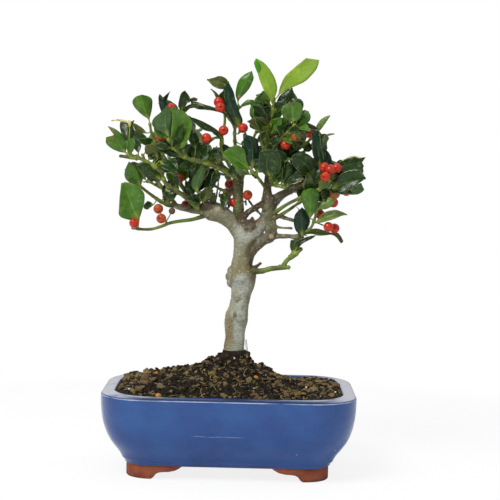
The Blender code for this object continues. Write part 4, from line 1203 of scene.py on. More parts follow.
def soil_height(x: float, y: float, edge: float) -> float:
    """Height of the soil's surface.

    Args:
        x: place across the pot.
        y: place along its depth.
        edge: 0 at the rim, and 1 well inside it.

    Returns:
        The height over the ground that the pot stands on.
    """
    along = x - FOOT_ACROSS
    rise, spread = MOUND_LEFT if along < 0 else MOUND_RIGHT
    mound = rise * math.exp(-(along / spread) ** 2 - (y / MOUND_DEEP) ** 2)
    mound += sum(high * MM * math.exp(-((x / MM - across) ** 2 + (y / MM - deep) ** 2) / reach ** 2)
                 for across, deep, high, reach in HEAPS)
    collar = COLLAR_RISE * math.exp(-(along * along + y * y) / COLLAR_REACH ** 2)
    settle = edge * edge * (3 - 2 * edge)
    coarse = noise.noise(Vector((x, y, 0.0)) * 70) * 4.0 * MM
    crumbs = noise.noise(Vector((x, y, 0.031)) * 260) * 2.6 * MM
    ends = min(1.0, max(0.0, (abs(x) - 55 * MM) / (30 * MM)))
    ends *= END_RISE * (0.45 + 0.55 * min(1.0, edge * 8))
    return (SOIL_RIM_HEIGHT + (mound + collar) * settle + ends
            + (coarse + crumbs) * min(1.0, edge * 3))


# Height, inset and extra roundness of the filling under its surface, in millimetres
SOIL_SKIRT = ((16.8, 25.9, 0), (20.0, 22.3, 0), (34.6, 12.5, 0), (48.0, 8.3, 2), (59.3, 7.7, 4),
              (65.3, 11.1, 8))
SOIL_EDGE = (11.1 * MM, 8 * MM)
# How far from the trunk the heaped grains reach
HEAP_REACH = 40 * MM
# The largest turn that is drawn by chance
FULL_TURN = 6.28


@dataclass(frozen=True)
class Litter:
    """One sort of loose bits on the soil."""

    name: str
    look: str
    slot: str
    count: int
    smallest: float
    largest: float
    flat: float
    fineness: int
    tones: tuple[float, float]
    sunk: float = 0.35
    cuts: int = 0
    small_share: float = 2.2
    outward: float = 0.0


@dataclass
class SoilBed:
    """The soil with everything that lies loose on it."""

    looks: dict[str, Material]
    chance: Random = field(default_factory=lambda: Random(41))
    rings: int = 66
    side_pieces: tuple[int, int] = (84, 48)
    crumble: float = 1.1 * MM
    pits: float = 1.2 * MM
    edge_inset: float = 11.5 * MM
    corner_radius: float = 37 * MM
    trunk_room: float = 1 * MM
    straws: int = 280
    straw_steps: int = 6
    straw_length: tuple[float, float] = (4, 15)
    straw_bend: float = 1.4
    straw_radius: tuple[float, float] = (0.12, 0.32)
    root_radius: float = 0.28 * MM
    ground: BVHTree | None = None

    def build_ground(self) -> None:
        """The filling of the pot, with a crumbly top and a plain hole where the trunk stands."""
        shape = bmesh.new()
        tone = shape.verts.layers.float.new("tone")
        ring = None
        for height, inset, rounder in SOIL_SKIRT:
            places = pot_outline(inset * MM, height * MM, self.side_pieces, rounder * MM)
            if ring:
                ring = grown_ring(shape, ring, places)
            else:
                ring = first_ring(shape, places)
                bmesh.ops.contextual_create(shape, geom=ring)
        edge_inset, edge_rounder = SOIL_EDGE
        rim = pot_outline(edge_inset, SOIL_RIM_HEIGHT, self.side_pieces, edge_rounder)
        for place in rim:
            place.z = soil_height(place.x, place.y, 0.0)
        ring = grown_ring(shape, ring, rim)
        foot = Vector((FOOT_ACROSS, 0, 0))
        hole = FOOT_RADIUS + GAP
        lip = []
        for place in rim:
            way = Vector((place.x - FOOT_ACROSS, place.y, 0)).normalized()
            lip.append(foot + way * hole)
        for step in range(1, self.rings + 1):
            share = step / (self.rings + 1)
            places = []
            for start, end in zip(rim, lip):
                place = start.lerp(end, share)
                place.z = soil_height(place.x, place.y, min(1.0, share * 2.4))
                edge = min(1.0, share * 5) * min(1.0, (1 - share) * 14)
                spot = Vector((place.x, place.y, 0.0))
                crumble = noise.fractal(spot * 420, 1.0, 2.1, 4) * self.crumble
                pits = min(0.0, noise.noise(spot * 620 + Vector((7, 3, 1)))) * self.pits
                place.z += (crumble + pits) * edge
                places.append(place)
            ring = grown_ring(shape, ring, places)
            for point in ring:
                point[tone] = 0.5 + 0.5 * noise.noise(point.co * 300)
        for height in (FOOT_TOP - 0.5 * MM, FOOT_BOTTOM - GAP):
            ring = grown_ring(shape, ring, [Vector((p.x, p.y, height)) for p in lip])
        bmesh.ops.contextual_create(shape, geom=ring)
        shape.normal_update()
        self.ground = BVHTree.FromBMesh(shape)
        add_piece("soil_bed", shape, [self.looks["humus"]], "soil", "soil")

    def surface(self, x: float, y: float) -> tuple[Vector, Vector]:
        """The soil's surface under a place, and the way that it faces.

        Args:
            x: the place across.
            y: the place in depth.

        Returns:
            The place on the soil and its normal.
        """
        above = Vector((x, y, 0.2))
        place, normal, _, _ = self.ground.ray_cast(above, Vector((0, 0, -1)))
        return place, normal if normal.z > 0 else -normal

    def spots(self, count: int, room: float, heaped: bool = False) -> list[Vector]:
        """Places strewn over the soil.

        Args:
            count: how many.
            room: how far they stay inside the soil's edge.
            heaped: whether they lie close round the trunk.

        Returns:
            The places in plan.
        """
        half = RIM_HALF - Vector((self.edge_inset + room, self.edge_inset + room))
        radius = self.corner_radius - room
        found = []
        while len(found) < count:
            spot = Vector((self.chance.uniform(-half.x, half.x),
                           self.chance.uniform(-half.y, half.y), 0))
            if heaped:
                turn = self.chance.uniform(0, 2 * math.pi)
                reach = self.chance.random() ** 1.6 * HEAP_REACH + FOOT_RADIUS + room
                reach += self.trunk_room
                spot = Vector((FOOT_ACROSS + reach * math.cos(turn), reach * math.sin(turn), 0))
            over = Vector((max(0.0, abs(spot.x) - half.x + radius),
                           max(0.0, abs(spot.y) - half.y + radius)))
            if over.length > radius:
                continue
            away = Vector((spot.x - FOOT_ACROSS, spot.y)).length
            if away < FOOT_RADIUS + room + self.trunk_room:
                continue
            found.append(spot)
        return found

    def strew(self, litter: Litter) -> None:
        """Strews one sort of grains, each knobbly, turned its own way and partly sunk.

        Args:
            litter: what is strewn.
        """
        shape = bmesh.new()
        tone = shape.verts.layers.float.new("tone")
        for spot in self.spots(litter.count, litter.largest * 0.65, litter.outward < 0):
            off = min(1.0, abs(spot.x) / RIM_HALF.x * 1.4)
            if self.chance.random() < litter.outward * (1 - off):
                continue
            place, _ = self.surface(spot.x, spot.y)
            spread = self.chance.random() ** litter.small_share
            size = litter.smallest + (litter.largest - litter.smallest) * spread
            grain = bmesh.ops.create_icosphere(shape, subdivisions=litter.fineness, radius=1.0)
            turn = Euler([self.chance.uniform(0, FULL_TURN) for _ in range(3)]).to_matrix()
            lean = Euler((self.chance.uniform(-0.5, 0.5), self.chance.uniform(-0.5, 0.5),
                          self.chance.uniform(0, FULL_TURN))).to_matrix()
            stretch = Vector((1.0, self.chance.uniform(0.62, 1.0),
                              litter.flat * self.chance.uniform(0.75, 1.2)))
            shade = self.chance.uniform(*litter.tones)
            seed = Vector((spot.x, spot.y, 0)) * 1000
            planes = [(Vector([self.chance.uniform(-1, 1) for _ in range(3)]).normalized(),
                       self.chance.uniform(0.42, 0.78)) for _ in range(litter.cuts)]
            for point in grain["verts"]:
                co = turn @ point.co
                co *= 1 + 0.30 * noise.noise(co * 1.3 + seed)
                for way, level in planes:
                    co -= way * max(0.0, co.dot(way) - level)
                co = Vector((co.x * stretch.x, co.y * stretch.y, co.z * stretch.z))
                point.co = place + (lean @ co) * size
                point.co.z += size * litter.flat * (1 - 2 * litter.sunk)
                point[tone] = shade
        add_piece(litter.name, shape, [self.looks[litter.look]], litter.slot, "soil")

    def strew_straw(self) -> None:
        """Bits of dry root and stalk that lie over the soil."""
        routes = []
        for spot in self.spots(self.straws, 7 * MM):
            length = self.chance.uniform(*self.straw_length) * MM
            way = self.chance.uniform(0, FULL_TURN)
            bend = self.chance.uniform(-self.straw_bend, self.straw_bend)
            radius = self.chance.uniform(*self.straw_radius) * MM
            route = []
            for k in range(self.straw_steps + 1):
                share = k / self.straw_steps - 0.5
                heading = way + bend * share
                x = spot.x + math.cos(heading) * length * share
                y = spot.y + math.sin(heading) * length * share
                place, _ = self.surface(x, y)
                route.append((place + Vector((0, 0, radius * 1.5)), radius))
            middle = sum(place.z for place, _ in route) / len(route)
            for place, _ in route:
                place.z = max(place.z, place.z * 0.35 + middle * 0.65)
            routes.append(route)
        for points in FINE_ROOTS:
            routes.append([(VIEW.place(*point), self.root_radius) for point in points])
        add_piece("soil_straw", round_rods(routes, 1), [self.looks["straw"]], "root_fibre", "soil")

    def set_pellets(self) -> None:
        """Fertiliser pellets, each pressed a third of its height into the soil."""
        shape = bmesh.new()
        for x, y, size in PELLETS:
            place, _ = self.surface(x * MM, y * MM)
            radius = size * MM * 0.97
            centre = Matrix.Translation(place + Vector((0, 0, radius / 3)))
            ball = bmesh.ops.create_uvsphere(shape, u_segments=28, v_segments=18, radius=radius,
                                             matrix=centre)
            for point in ball["verts"]:
                way = point.co - centre.translation
                point.co += way * 0.05 * noise.noise(point.co * 500)
        add_piece("soil_pellets", shape, [self.looks["pellet"]], "pellet", "soil")

    def build(self) -> None:
        """Builds the ground and all that lies on it."""
        self.build_ground()
        self.strew(Litter("soil_stones", "stone", "grit", 330, 2.0 * MM, 5.0 * MM, 0.60, 3,
                          (0.0, 1.0), 0.42, 7, 1.3, 0.75))
        self.strew(Litter("soil_pebbles", "stone", "grit", 560, 0.9 * MM, 2.4 * MM, 0.7, 2,
                          (0.0, 1.0), 0.4, 5))
        self.strew(Litter("soil_lumps", "humus", "soil", 260, 1.1 * MM, 2.8 * MM, 0.8, 2,
                          (0.3, 1.0), 0.4, 3, outward=-1.0))
        self.strew(Litter("soil_collar_stones", "stone", "grit", 120, 1.2 * MM, 3.2 * MM, 0.75,
                          2, (0.0, 0.8), 0.35, 6, 1.6, -1.0))
        self.strew(Litter("soil_perlite", "perlite", "grit", 30, 0.7 * MM, 1.9 * MM, 0.8, 2,
                          (0.0, 1.0), 0.2, 5))
        self.strew(Litter("soil_crumbs", "humus", "soil", 2600, 0.5 * MM, 1.9 * MM, 0.8, 1,
                          (0.0, 1.0)))
        self.strew(Litter("soil_sand", "stone", "grit", 1300, 0.35 * MM, 0.8 * MM, 0.8, 1,
                          (0.2, 1.0), 0.2))
        self.strew_straw()
        self.set_pellets()


# How green, brown and mossy each woody route is, at its start and at its end
WOOD_TONES = {
    "trunk": ((0.0, 0.05, 0.1), (0.15, 0.3, 0.5)),
    "left_limb": ((0.1, 0.3, 0.4), (0.25, 0.35, 0.1)),
    "centre_limb": ((0.8, 0.3, 0.2), (1.0, 0.6, 0.0)),
    "cross_branch": ((1.0, 1.0, 0.0), (1.0, 1.0, 0.0)),
    "brown_limb": ((0.1, 0.1, 0.2), (0.1, 1.0, 0.0)),
    "right_limb": ((0.2, 0.7, 0.3), (1.0, 1.0, 0.0)),
    "right_low_branch": ((0.1, 0.6, 0.0), (0.3, 0.6, 0.0)),
    "dead_stub": ((0.0, 0.6, 0.0), (0.0, 1.0, 0.0)),
    "fork_stub": ((0.1, 0.7, 0.0), (0.0, 1.0, 0.0)),
    "fork_ridge": ((0.0, 1.0, 0.0), (0.0, 1.0, 0.0)),
    "cross_twig": ((0.0, 1.0, 0.0), (0.0, 1.0, 0.0)),
    "twig_high": ((0.5, 0.3, 0.0), (0.8, 0.2, 0.0)),
    "twig_low": ((0.4, 0.4, 0.0), (0.7, 0.3, 0.0)),
    "thin_stem_left": ((0.8, 0.2, 0.0), (0.9, 0.1, 0.0)),
    "thin_stem_centre": ((0.1, 1.0, 0.0), (0.2, 1.0, 0.0)),
    "back_left": ((0.3, 0.4, 0.0), (0.7, 0.3, 0.0)),
    "back_centre": ((0.5, 0.3, 0.0), (0.8, 0.2, 0.0)),
    "back_right": ((0.4, 0.4, 0.0), (0.7, 0.3, 0.0)),
}

# Marks on the bark's front: across, down, half width, half height, which finish, how strong
BARK_MARKS = [
    (237.6, 299, 3.0, 2.2, "scar", 0.6), (237.4, 299, 1.5, 0.9, "heart", 0.5),
    (235.0, 315, 1.8, 2.6, "scar", 0.75),
    (218.5, 210, 3.8, 2.8, "heart", 0.45), (218.5, 210, 5.4, 4.4, "scar", 0.35),
    (206.0, 206.5, 7.5, 4.0, "scar", 1.0), (213.0, 203.5, 3.0, 1.6, "scar", 0.8),
    (199.5, 207.5, 4.0, 3.0, "scar", 0.7), (190, 208, 8, 4, "brown", 0.9),
    (241.5, 285, 8.5, 10.0, "pale", 1.0), (270, 217, 4.5, 12, "young", 0.8),
    (270, 215, 4.5, 12, "brown", 0.75), (239, 330, 5.0, 14, "pale", 0.9),
    (271.5, 236.5, 2.2, 2.2, "heart", 0.8), (271.5, 236.5, 3.6, 3.6, "scar", 0.35),
    (226.3, 276.5, 3.4, 2.8, "scar", 0.25), (250.5, 262, 1.8, 4.5, "scar", 0.5),
    (255, 262, 4.0, 2.5, "brown", 0.9), (246.5, 330, 2.5, 6.0, "brown", 0.4),
    (232, 246, 4.0, 9.0, "moss", 0.6), (240, 283, 4.0, 5.5, "pale", 0.8),
    (241, 305, 5.0, 10.0, "pale", 0.8), (241, 328, 5.0, 12.0, "pale", 0.6),
    (244, 232, 8.5, 10.0, "pale", 1.0), (263, 230, 5.0, 10.0, "pale", 0.9),
    (228.5, 330, 2.8, 20, "rust", 0.45), (258, 221, 4.0, 3.0, "rust", 0.4),
    (231, 262, 2.0, 7.0, "rust", 0.5), (247, 268, 4.0, 3.5, "rust", 0.4),
    (256, 236, 4.0, 6.0, "pale", 0.8), (263, 222, 3.0, 4.0, "pale", 0.6),
    (249, 221.5, 6.0, 1.8, "scar", 0.8), (233, 319.0, 5.0, 1.3, "scar", 0.25),
    (239.5, 321.5, 5.0, 1.3, "scar", 0.22),
]
# Swellings of the trunk: across, down, behind and radius in millimetres
BURLS = [(230.2, 276.2, -1.5, 4.4), (231.2, 270.5, -1.0, 3.8), (231.5, 282.5, -1.0, 4.2),
         (250.5, 278.0, -1.0, 4.2), (236.8, 300.0, -6.4, 2.6),
         (243.0, 287.5, -5.4, 4.4), (234.0, 317.5, -5.2, 4.6), (241.5, 318.5, -4.2, 4.2),
         (270.8, 236.2, -8.6, 3.8), (218.5, 210.0, -9.0, 3.6), (251.0, 238.0, -4.2, 5.0),
         (238.2, 178.5, -1.6, 3.4), (297.5, 237.4, -9.4, 3.5), (206.0, 206.0, -7.2, 4.6),
         (267.0, 207.0, -5.0, 4.6), (273.5, 203.0, -4.0, 3.8), (265.0, 199.0, -5.0, 3.0)]
# How far a mark reaches in its own widths, and over how much of that it fades
MARK_REACH = 1.4
MARK_FADE = 0.6
# The inverse of the front view's camera, for a pot at the origin
TO_VIEW = VIEW.camera_matrix(Vector()).inverted()


def seen_from_front(place: Vector) -> Vector:
    """Where a place shows in the front view.

    Args:
        place: a place in space.

    Returns:
        How far across and down the sheet it shows.
    """
    local = TO_VIEW @ place
    return Vector((VIEW.centre + VIEW.focal * local.x / -local.z,
                   VIEW.centre - VIEW.focal * local.y / -local.z))


@dataclass
class Trunk:
    """The woody trunk and limbs: one smooth skin with burls, knots and pruned scars."""

    bark: Material
    grain: float = 0.62 * MM
    step: float = 1.6 * MM
    smoothings: int = 5
    neighbours: int = 5
    relief: float = 0.6 * MM
    marks: tuple[str, ...] = ("young", "brown", "moss", "scar", "heart", "pale", "rust")

    def routes(self) -> dict[str, Route]:
        """The centre lines of the trunk and its limbs, from part to part.

        Returns:
            The centre lines by name.
        """
        foot = [(Vector((FOOT_ACROSS, 0, FOOT_BOTTOM)), FOOT_RADIUS),
                (Vector((FOOT_ACROSS, 0, (FOOT_BOTTOM + FOOT_TOP) / 2)), FOOT_RADIUS),
                (Vector((FOOT_ACROSS, 0, FOOT_TOP)), FOOT_RADIUS)]
        found = {"trunk": foot + self.placed(TRUNK)}
        found |= {name: self.placed(points) for name, points in WOOD.items()}
        return {name: smooth_route(route, self.step) for name, route in found.items()}

    @staticmethod
    def placed(points: list[tuple]) -> Route:
        """A table's points as real places and radii."""
        return [(VIEW.place(*point[:3]), point[3] * MM) for point in points]

    def skin(self, routes: dict[str, Route]) -> Shape:
        """One closed skin round all the limbs and burls.

        Args:
            routes: the centre lines.

        Returns:
            The skin, slightly smoothed.
        """
        shape = round_rods(list(routes.values()), 6)
        for across, down, behind, radius in BURLS:
            centre = Matrix.Translation(VIEW.place(across, down, behind))
            bmesh.ops.create_icosphere(shape, subdivisions=3, radius=radius * MM, matrix=centre)
        bmesh.ops.recalc_face_normals(shape, faces=shape.faces)
        core = helper_mesh("core", shape)
        melt = core.modifiers.new("skin", "REMESH")
        melt.mode = "VOXEL"
        melt.voxel_size = self.grain
        shape = evaluated(core)
        for _ in range(self.smoothings):
            bmesh.ops.smooth_vert(shape, verts=shape.verts, factor=0.5, use_axis_x=True,
                                  use_axis_y=True, use_axis_z=True)
        return shape

    def roughen(self, shape: Shape) -> None:
        """Gives the skin its wrinkles, dents and fine ridges.

        Args:
            shape: the trunk's mesh.
        """
        shape.normal_update()
        moves = []
        for point in shape.verts:
            co = point.co
            above = min(1.0, max(0.0, (co.z - FOOT_TOP) / (6 * MM)))
            swell = noise.noise(co * 70) * 0.9 + noise.noise(co * 150) * 0.7
            wrinkle = noise.fractal(Vector((co.x, co.y, co.z * 2.2)) * 330, 1.0, 2.0, 3) * 0.4
            moves.append(point.normal * (swell * above + wrinkle) * self.relief)
        for point, move in zip(shape.verts, moves):
            point.co += move

    def dress(self, shape: Shape, routes: dict[str, Route]) -> None:
        """Writes on each point how green, brown, mossy, scarred and pale its bark is.

        Args:
            shape: the skin.
            routes: the centre lines, which carry the tones.
        """
        samples = []
        for name, route in routes.items():
            start, end = (Vector(tone) for tone in WOOD_TONES[name])
            for k, (place, _) in enumerate(route):
                samples.append((place, start.lerp(end, k / (len(route) - 1))))
        near = search_tree([place for place, _ in samples])
        layers = {mark: shape.verts.layers.float.new(mark) for mark in self.marks}
        for point in shape.verts:
            tone = Vector()
            for _, number, _ in near.find_n(point.co, self.neighbours):
                tone += samples[number][1] / self.neighbours
            point[layers["young"]], point[layers["brown"]], point[layers["moss"]] = tone
            across, down = seen_from_front(point.co)
            for mark_across, mark_down, wide, high, mark, strength in BARK_MARKS:
                off = Vector(((across - mark_across) / wide, (down - mark_down) / high)).length
                if off < MARK_REACH and point.normal.y < 0.2:
                    soft = strength * min(1.0, max(0.0, (MARK_REACH - off) / MARK_FADE))
                    point[layers[mark]] = max(point[layers[mark]], soft)

    def build(self) -> None:
        """Builds the whole woody part."""
        routes = self.routes()
        shape = self.skin(routes)
        self.roughen(shape)
        self.dress(shape, routes)
        add_piece("trunk_wood", shape, [self.bark], "bark", "trunk")


# The leaves

@dataclass(frozen=True)
class LeafForm:
    """How a blade is cut and bent: shares of its length, and of its half-width."""

    widest: float
    base_power: float
    tip_power: float
    keel: float = 0.22
    cup: float = 0.5
    ripple: float = 0.07
    teeth: float = 3.0
    tooth: float = 0.06
    twist: float = 0.12


class LeafKind(Enum):
    """The sorts of blade that the tree bears."""

    OVAL = LeafForm(0.45, 0.90, 0.85)
    SPOON = LeafForm(0.70, 1.00, 0.45, keel=0.16, ripple=0.05, tooth=0.03)
    LANCE = LeafForm(0.42, 0.80, 1.05, keel=0.25, ripple=0.05, tooth=0.05)
    CURLED = LeafForm(0.48, 0.85, 0.70, keel=0.30, cup=1.25, ripple=0.12, twist=0.5)


class LeafTone(Enum):
    """The blade's colour on its upper side, with shade and light painted into it, and how much cream its
    margin has.
    """

    MID = ("3d651c", 0.0)
    BRIGHT = ("456e26", 0.0)
    DARK = ("1d340e", 0.0)
    TEAL = ("0f2b1c", 0.0)
    PALE = ("5b763a", 0.0)
    GREY = ("37552a", 0.0)
    OLIVE = ("3f4a1d", 0.0)
    LIME = ("739229", 0.0)
    CREAM = ("cabd86", 0.6)
    DEAD = ("2a2418", 0.0)
    FOLD = ("3d8a12", 0.0)


KIND_LETTERS = dict(zip("OSLC", LeafKind))
TONE_LETTERS = dict(zip("MBDTPGOYCKF", LeafTone))
# Young leaves, which have these tones, are far flatter than old ones
FLAT_TONES = "YF"
FLAT_FOLD = 0.2
# How much wider the blades are than their rows say, and their least share of the full width
BLADE_WIDER = 1.08
BLADE_LEAST = 0.035

# The looks of the leaves that stand by rule, and of those that small leaves draw from
RULED_LOOKS = ["OD", "OM", "LD", "OD", "SD", "OM"] * 2
SMALL_LOOKS = ["OD", "OD", "LD", "OM", "CD"]

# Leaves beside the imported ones, in rows like those of SPRAYS
MORE_LEAVES = {
    "spray_top": [
        (270, 104, 256, 95, -8, 10, 30, "OM"), (268, 126, 253, 105, -12, 13, 15, "OD"),
        (272, 116, 262, 108, -16, 8, 30, "OD"), (276, 128, 281, 118, -20, 10, 15, "OM"),
        (266, 134, 249, 123, -16, 11, 30, "OD"), (270, 131, 262, 139, -18, 7, 50, "LM"),
        (274, 112, 284, 104, -14, 9, 30, "OD"), (270, 137, 284, 133, -14, 8, 45, "OD")],
    "spray_top_right": [
        (287, 118, 302, 101, -14, 12, 15, "OD"), (292, 128, 306, 139, -36, 9, 35, "OD"),
        (284, 134, 276, 126, -26, 8, 30, "OD"), (296, 127, 309, 134, -32, 8, 40, "OM"),
        (289, 134, 300, 128, -34, 7, 40, "OD"), (282, 137, 293, 142, -30, 6, 45, "LM")],
    "spray_upper_right": [
        (300, 147, 311, 153, -10, 9, 30, "OD"), (312, 140, 322, 146, -16, 8, 30, "OD"),
        (296, 152, 300, 137, -6, 10, 15, "OD"), (281, 161, 290, 147, -14, 10, 15, "OD"),
        (288, 157, 279, 147, -16, 9, 25, "OD")],
    "spray_right_mid": [
        (314, 178, 326, 184, -24, 9, 30, "OD"), (318, 174, 309, 160, -22, 10, 15, "OD"),
        (310, 181, 302, 168, -22, 11, 15, "OD"), (325, 170, 333, 160, -16, 9, 20, "OD"),
        (308, 184, 317, 170, -18, 9, 20, "OD")],
    "spray_far_right": [
        (327, 185, 341, 170, -20, 10, 20, "OD"), (320, 190, 328, 199, -24, 9, 30, "OD"),
        (334, 178, 343, 168, -26, 8, 30, "OD")],
    "spray_right_low": [
        (318, 196, 328, 186, -14, 9, 20, "OD"), (309, 199, 299, 190, -12, 9, 25, "OD")],
    "spray_centre": [
        (261, 180, 247, 178, -14, 7, 45, "OD"), (256, 174, 265, 158, -20, 12, 10, "OD")],
    "spray_centre_right": [
        (272, 178, 285, 160, -24, 11, 15, "OD"), (282, 187, 293, 170, -20, 10, 15, "OD"),
        (276, 184, 274, 168, -22, 8, 20, "LM")],
    "spray_top_centre": [
        (238, 150, 232, 163, -12, 8, 30, "OD"), (239, 133, 249, 124, -8, 7, 30, "OD"),
        (236, 147, 224, 146, -8, 8, 35, "OD")],
    "spray_top_left": [
        (218, 134, 228, 120, 6, 8, 20, "OD"), (224, 158, 222, 144, -4, 9, 20, "OD"),
        (228, 166, 236, 152, 2, 10, 20, "OD")],
    "spray_upper_left": [
        (205, 163, 192, 142, -14, 14, 15, "OD"), (196, 150, 192, 129, -12, 8, 20, "OD"),
        (186, 154, 178, 134, -22, 10, 15, "OD"), (199, 161, 186, 170, -14, 10, 25, "OD"),
        (214, 166, 205, 148, -10, 9, 20, "OD"), (168, 138, 154, 128, -28, 9, 20, "OM"),
        (210, 167, 200, 178, -12, 9, 30, "OD")],
    "spray_left_top": [
        (152, 134, 166, 128, -2, 9, 25, "OD"), (166, 158, 157, 146, 2, 10, 20, "OD"),
        (173, 172, 186, 158, 2, 12, 15, "OD"), (180, 184, 168, 172, 2, 10, 20, "OD"),
        (162, 124, 171, 113, 2, 9, 20, "OD")],
    "spray_left_tip": [
        (162, 161, 177, 172, -33, 12.5, 15, "OD"), (147, 161, 158, 150, -22, 9, 20, "OD"),
        (128, 153, 133, 138, -26, 9, 20, "OM"), (141, 158, 148, 146, -20, 8, 20, "OD"),
        (154, 168, 163, 158, -16, 8, 30, "OD"), (173, 190, 184, 178, -12, 10, 20, "OD")],
    "spray_left_mid": [
        (157, 199, 150, 189, -12, 7, 25, "OD"), (170, 204, 176, 181, -14, 10, 12, "OD")],
    "spray_inner_left": [
        (201, 197, 213, 190, -12, 9, 20, "OD"), (209, 205, 203, 194, -6, 7, 30, "OD")],
    "spray_inner_centre": [
        (222, 190, 232, 181, -4, 7, 30, "OD"), (224, 192, 230, 206, -14, 7, 25, "OD"),
        (230, 193, 220, 182, 2, 9, 20, "OD")],
}

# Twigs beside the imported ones: each leaves its spray's first twig
MORE_TWIGS = {
    "spray_top": [[(266, 148, -5), (262, 140, -7), (260, 132, -8)],
                  [(266.6, 150, -5), (269, 140, -9), (267, 131, -10)],
                  [(268.5, 136, -6), (280, 131, -10), (290, 129, -14)]],
    "spray_top_right": [[(276, 143, -14), (284, 139, -20), (292, 137, -24), (300, 140, -26)],
                        [(271, 154, -10), (278, 141, -12), (286, 134, -14), (294, 131, -16)]],
    "spray_upper_right": [[(285, 157, -11), (290, 142, -14), (296, 138, -16)],
                          [(300, 148, -12), (296, 143, -16), (290, 138, -18)],
                          [(288, 155, -11), (284, 146, -10), (284, 138, -8)]],
}


@dataclass(frozen=True)
class LeafLook:
    """How one leaf looks, read from its code in a table."""

    form: LeafForm
    tone: LeafTone
    as_drawn: bool

    @staticmethod
    def read(code: str) -> "LeafLook":
        """Reads a code such as OD!: kind, tone, and whether it stands just as its row says.

        Args:
            code: the code.

        Returns:
            The look.
        """
        return LeafLook(KIND_LETTERS[code[0]].value, TONE_LETTERS[code[1]], "!" in code)


def small_turns() -> list[tuple[float, float, float]]:
    """The turns, in degrees, that a leaf may have been given to stand clear of the others.

    Returns:
        The turns about three axes, smallest first.
    """
    signs = ((1, 0, 0), (-1, 0, 0), (0, 1, 0), (0, -1, 0), (0, 0, 1), (0, 0, -1), (1, 1, 0),
             (-1, 1, 0), (1, -1, 0), (-1, -1, 0), (1, 1, 1), (-1, 1, -1), (1, -1, -1), (-1, -1, 1))
    sizes = (5, 10, 15, 20, 26, 32, 40, 48)
    return [(0, 0, 0)] + [(size * swing, size * lift, size * roll * 1.5)
                          for size in sizes for swing, lift, roll in signs]


@dataclass
class Leaf:
    """A leaf as it is set out: its root on the twig, its blade, and the way that faces."""

    root: Vector
    base: Vector
    tip: Vector
    width: float
    normal: Vector
    form: LeafForm = LeafKind.OVAL.value
    tone: tuple[float, float, float] = (0.1, 0.2, 0.05)
    cream: float = 0.0

    @staticmethod
    def facing(base: Vector, tip: Vector, degrees: float) -> Vector:
        """The way a blade faces.

        Args:
            base: where the blade starts.
            tip: where it ends.
            degrees: how far it is turned up from facing the front.

        Returns:
            The blade's normal.
        """
        axis = (tip - base).normalized()
        viewer = Vector((0, -1, 0)) if abs(axis.y) < 0.85 else Vector((0, 0, 1))
        flat = (viewer - axis * viewer.dot(axis)).normalized()
        ways = [Quaternion(axis, math.radians(turn)) @ flat for turn in (degrees, -degrees)]
        return max(ways, key=lambda way: way.z)

    def turned(self, swing: float, lift: float, roll: float) -> "Leaf":
        """The same leaf turned about its root.

        Args:
            swing: degrees about its normal.
            lift: degrees about its side.
            roll: degrees about its length.

        Returns:
            The turned leaf.
        """
        axis = (self.tip - self.base).normalized()
        turn = (Quaternion(self.normal, math.radians(swing))
                @ Quaternion(axis.cross(self.normal), math.radians(lift))
                @ Quaternion(axis, math.radians(roll)))
        return replace(self, base=self.root + turn @ (self.base - self.root),
                       tip=self.root + turn @ (self.tip - self.root), normal=turn @ self.normal)

    def dressed(self, look: LeafLook) -> "Leaf":
        """The same leaf with its look.

        Args:
            look: its kind and tone.

        Returns:
            The dressed leaf.
        """
        code, cream = look.tone.value
        return Leaf(self.root, self.base, self.tip, self.width * BLADE_WIDER, self.normal,
                    look.form, from_hex(code), cream)

    def half_width(self, along: float) -> float:
        """Half the blade's width at a share of its length.

        Args:
            along: the share of its length, from the base.

        Returns:
            Half the width, in metres.
        """
        form = self.form
        if along < form.widest:
            share = math.sin(math.pi / 2 * along / form.widest) ** form.base_power
        else:
            rest = (along - form.widest) / (1 - form.widest)
            share = max(0.0, math.cos(math.pi / 2 * rest)) ** form.tip_power
        return self.width / 2 * max(share, BLADE_LEAST)

    def rows(self, chance: Random, columns: int, steps: int) -> list[list[Vector]]:
        """The points of the blade's upper side.

        Args:
            chance: where the leaf's own small differences come from.
            columns: how many points lie across the blade.
            steps: how many rows lie along it.

        Returns:
            Rows of points from base to tip, each from the left edge to the right one.
        """
        form = self.form
        span = self.tip - self.base
        axis = span.normalized()
        side = axis.cross(self.normal).normalized()
        keel = form.keel * chance.uniform(0.7, 1.3)
        cup = form.cup * chance.uniform(0.7, 1.25)
        twist = form.twist * chance.uniform(-1.0, 1.0)
        bow = chance.uniform(-0.035, 0.035)
        shift = [chance.uniform(0, 1) for _ in range(3)]
        rows = []
        for i in range(steps):
            along = i / (steps - 1)
            half = self.half_width(along)
            arch = 0.07 * math.sin(math.pi * along) - 0.05 * max(0.0, along - 0.72)
            middle = self.base + span * along + self.normal * span.length * arch
            middle += side * bow * span.length * math.sin(math.pi * along)
            turn = Quaternion(axis, twist * (along - 0.45))
            row = []
            for j in range(columns):
                u = 2 * j / (columns - 1) - 1
                hand = 0 if u < 0 else 1
                wave = math.sin(2 * math.pi * (form.teeth * along + shift[hand]))
                spine = max(0.0, math.cos(2 * math.pi * (form.teeth * along + shift[hand]))) ** 5
                rim = abs(u) ** 3
                wide = half * (1 + (form.tooth * (spine - 0.25)) * rim)
                bend = u * cup
                flat = math.sin(bend) / cup * wide
                raised = (1 - math.cos(bend)) / cup * wide * 0.55 + keel * abs(u) * half * 0.8
                raised += form.ripple * wave * rim * self.width / 2 * min(1.0, 6 * along)
                row.append(middle + turn @ (side * flat + self.normal * raised))
            rows.append(row)
        return rows


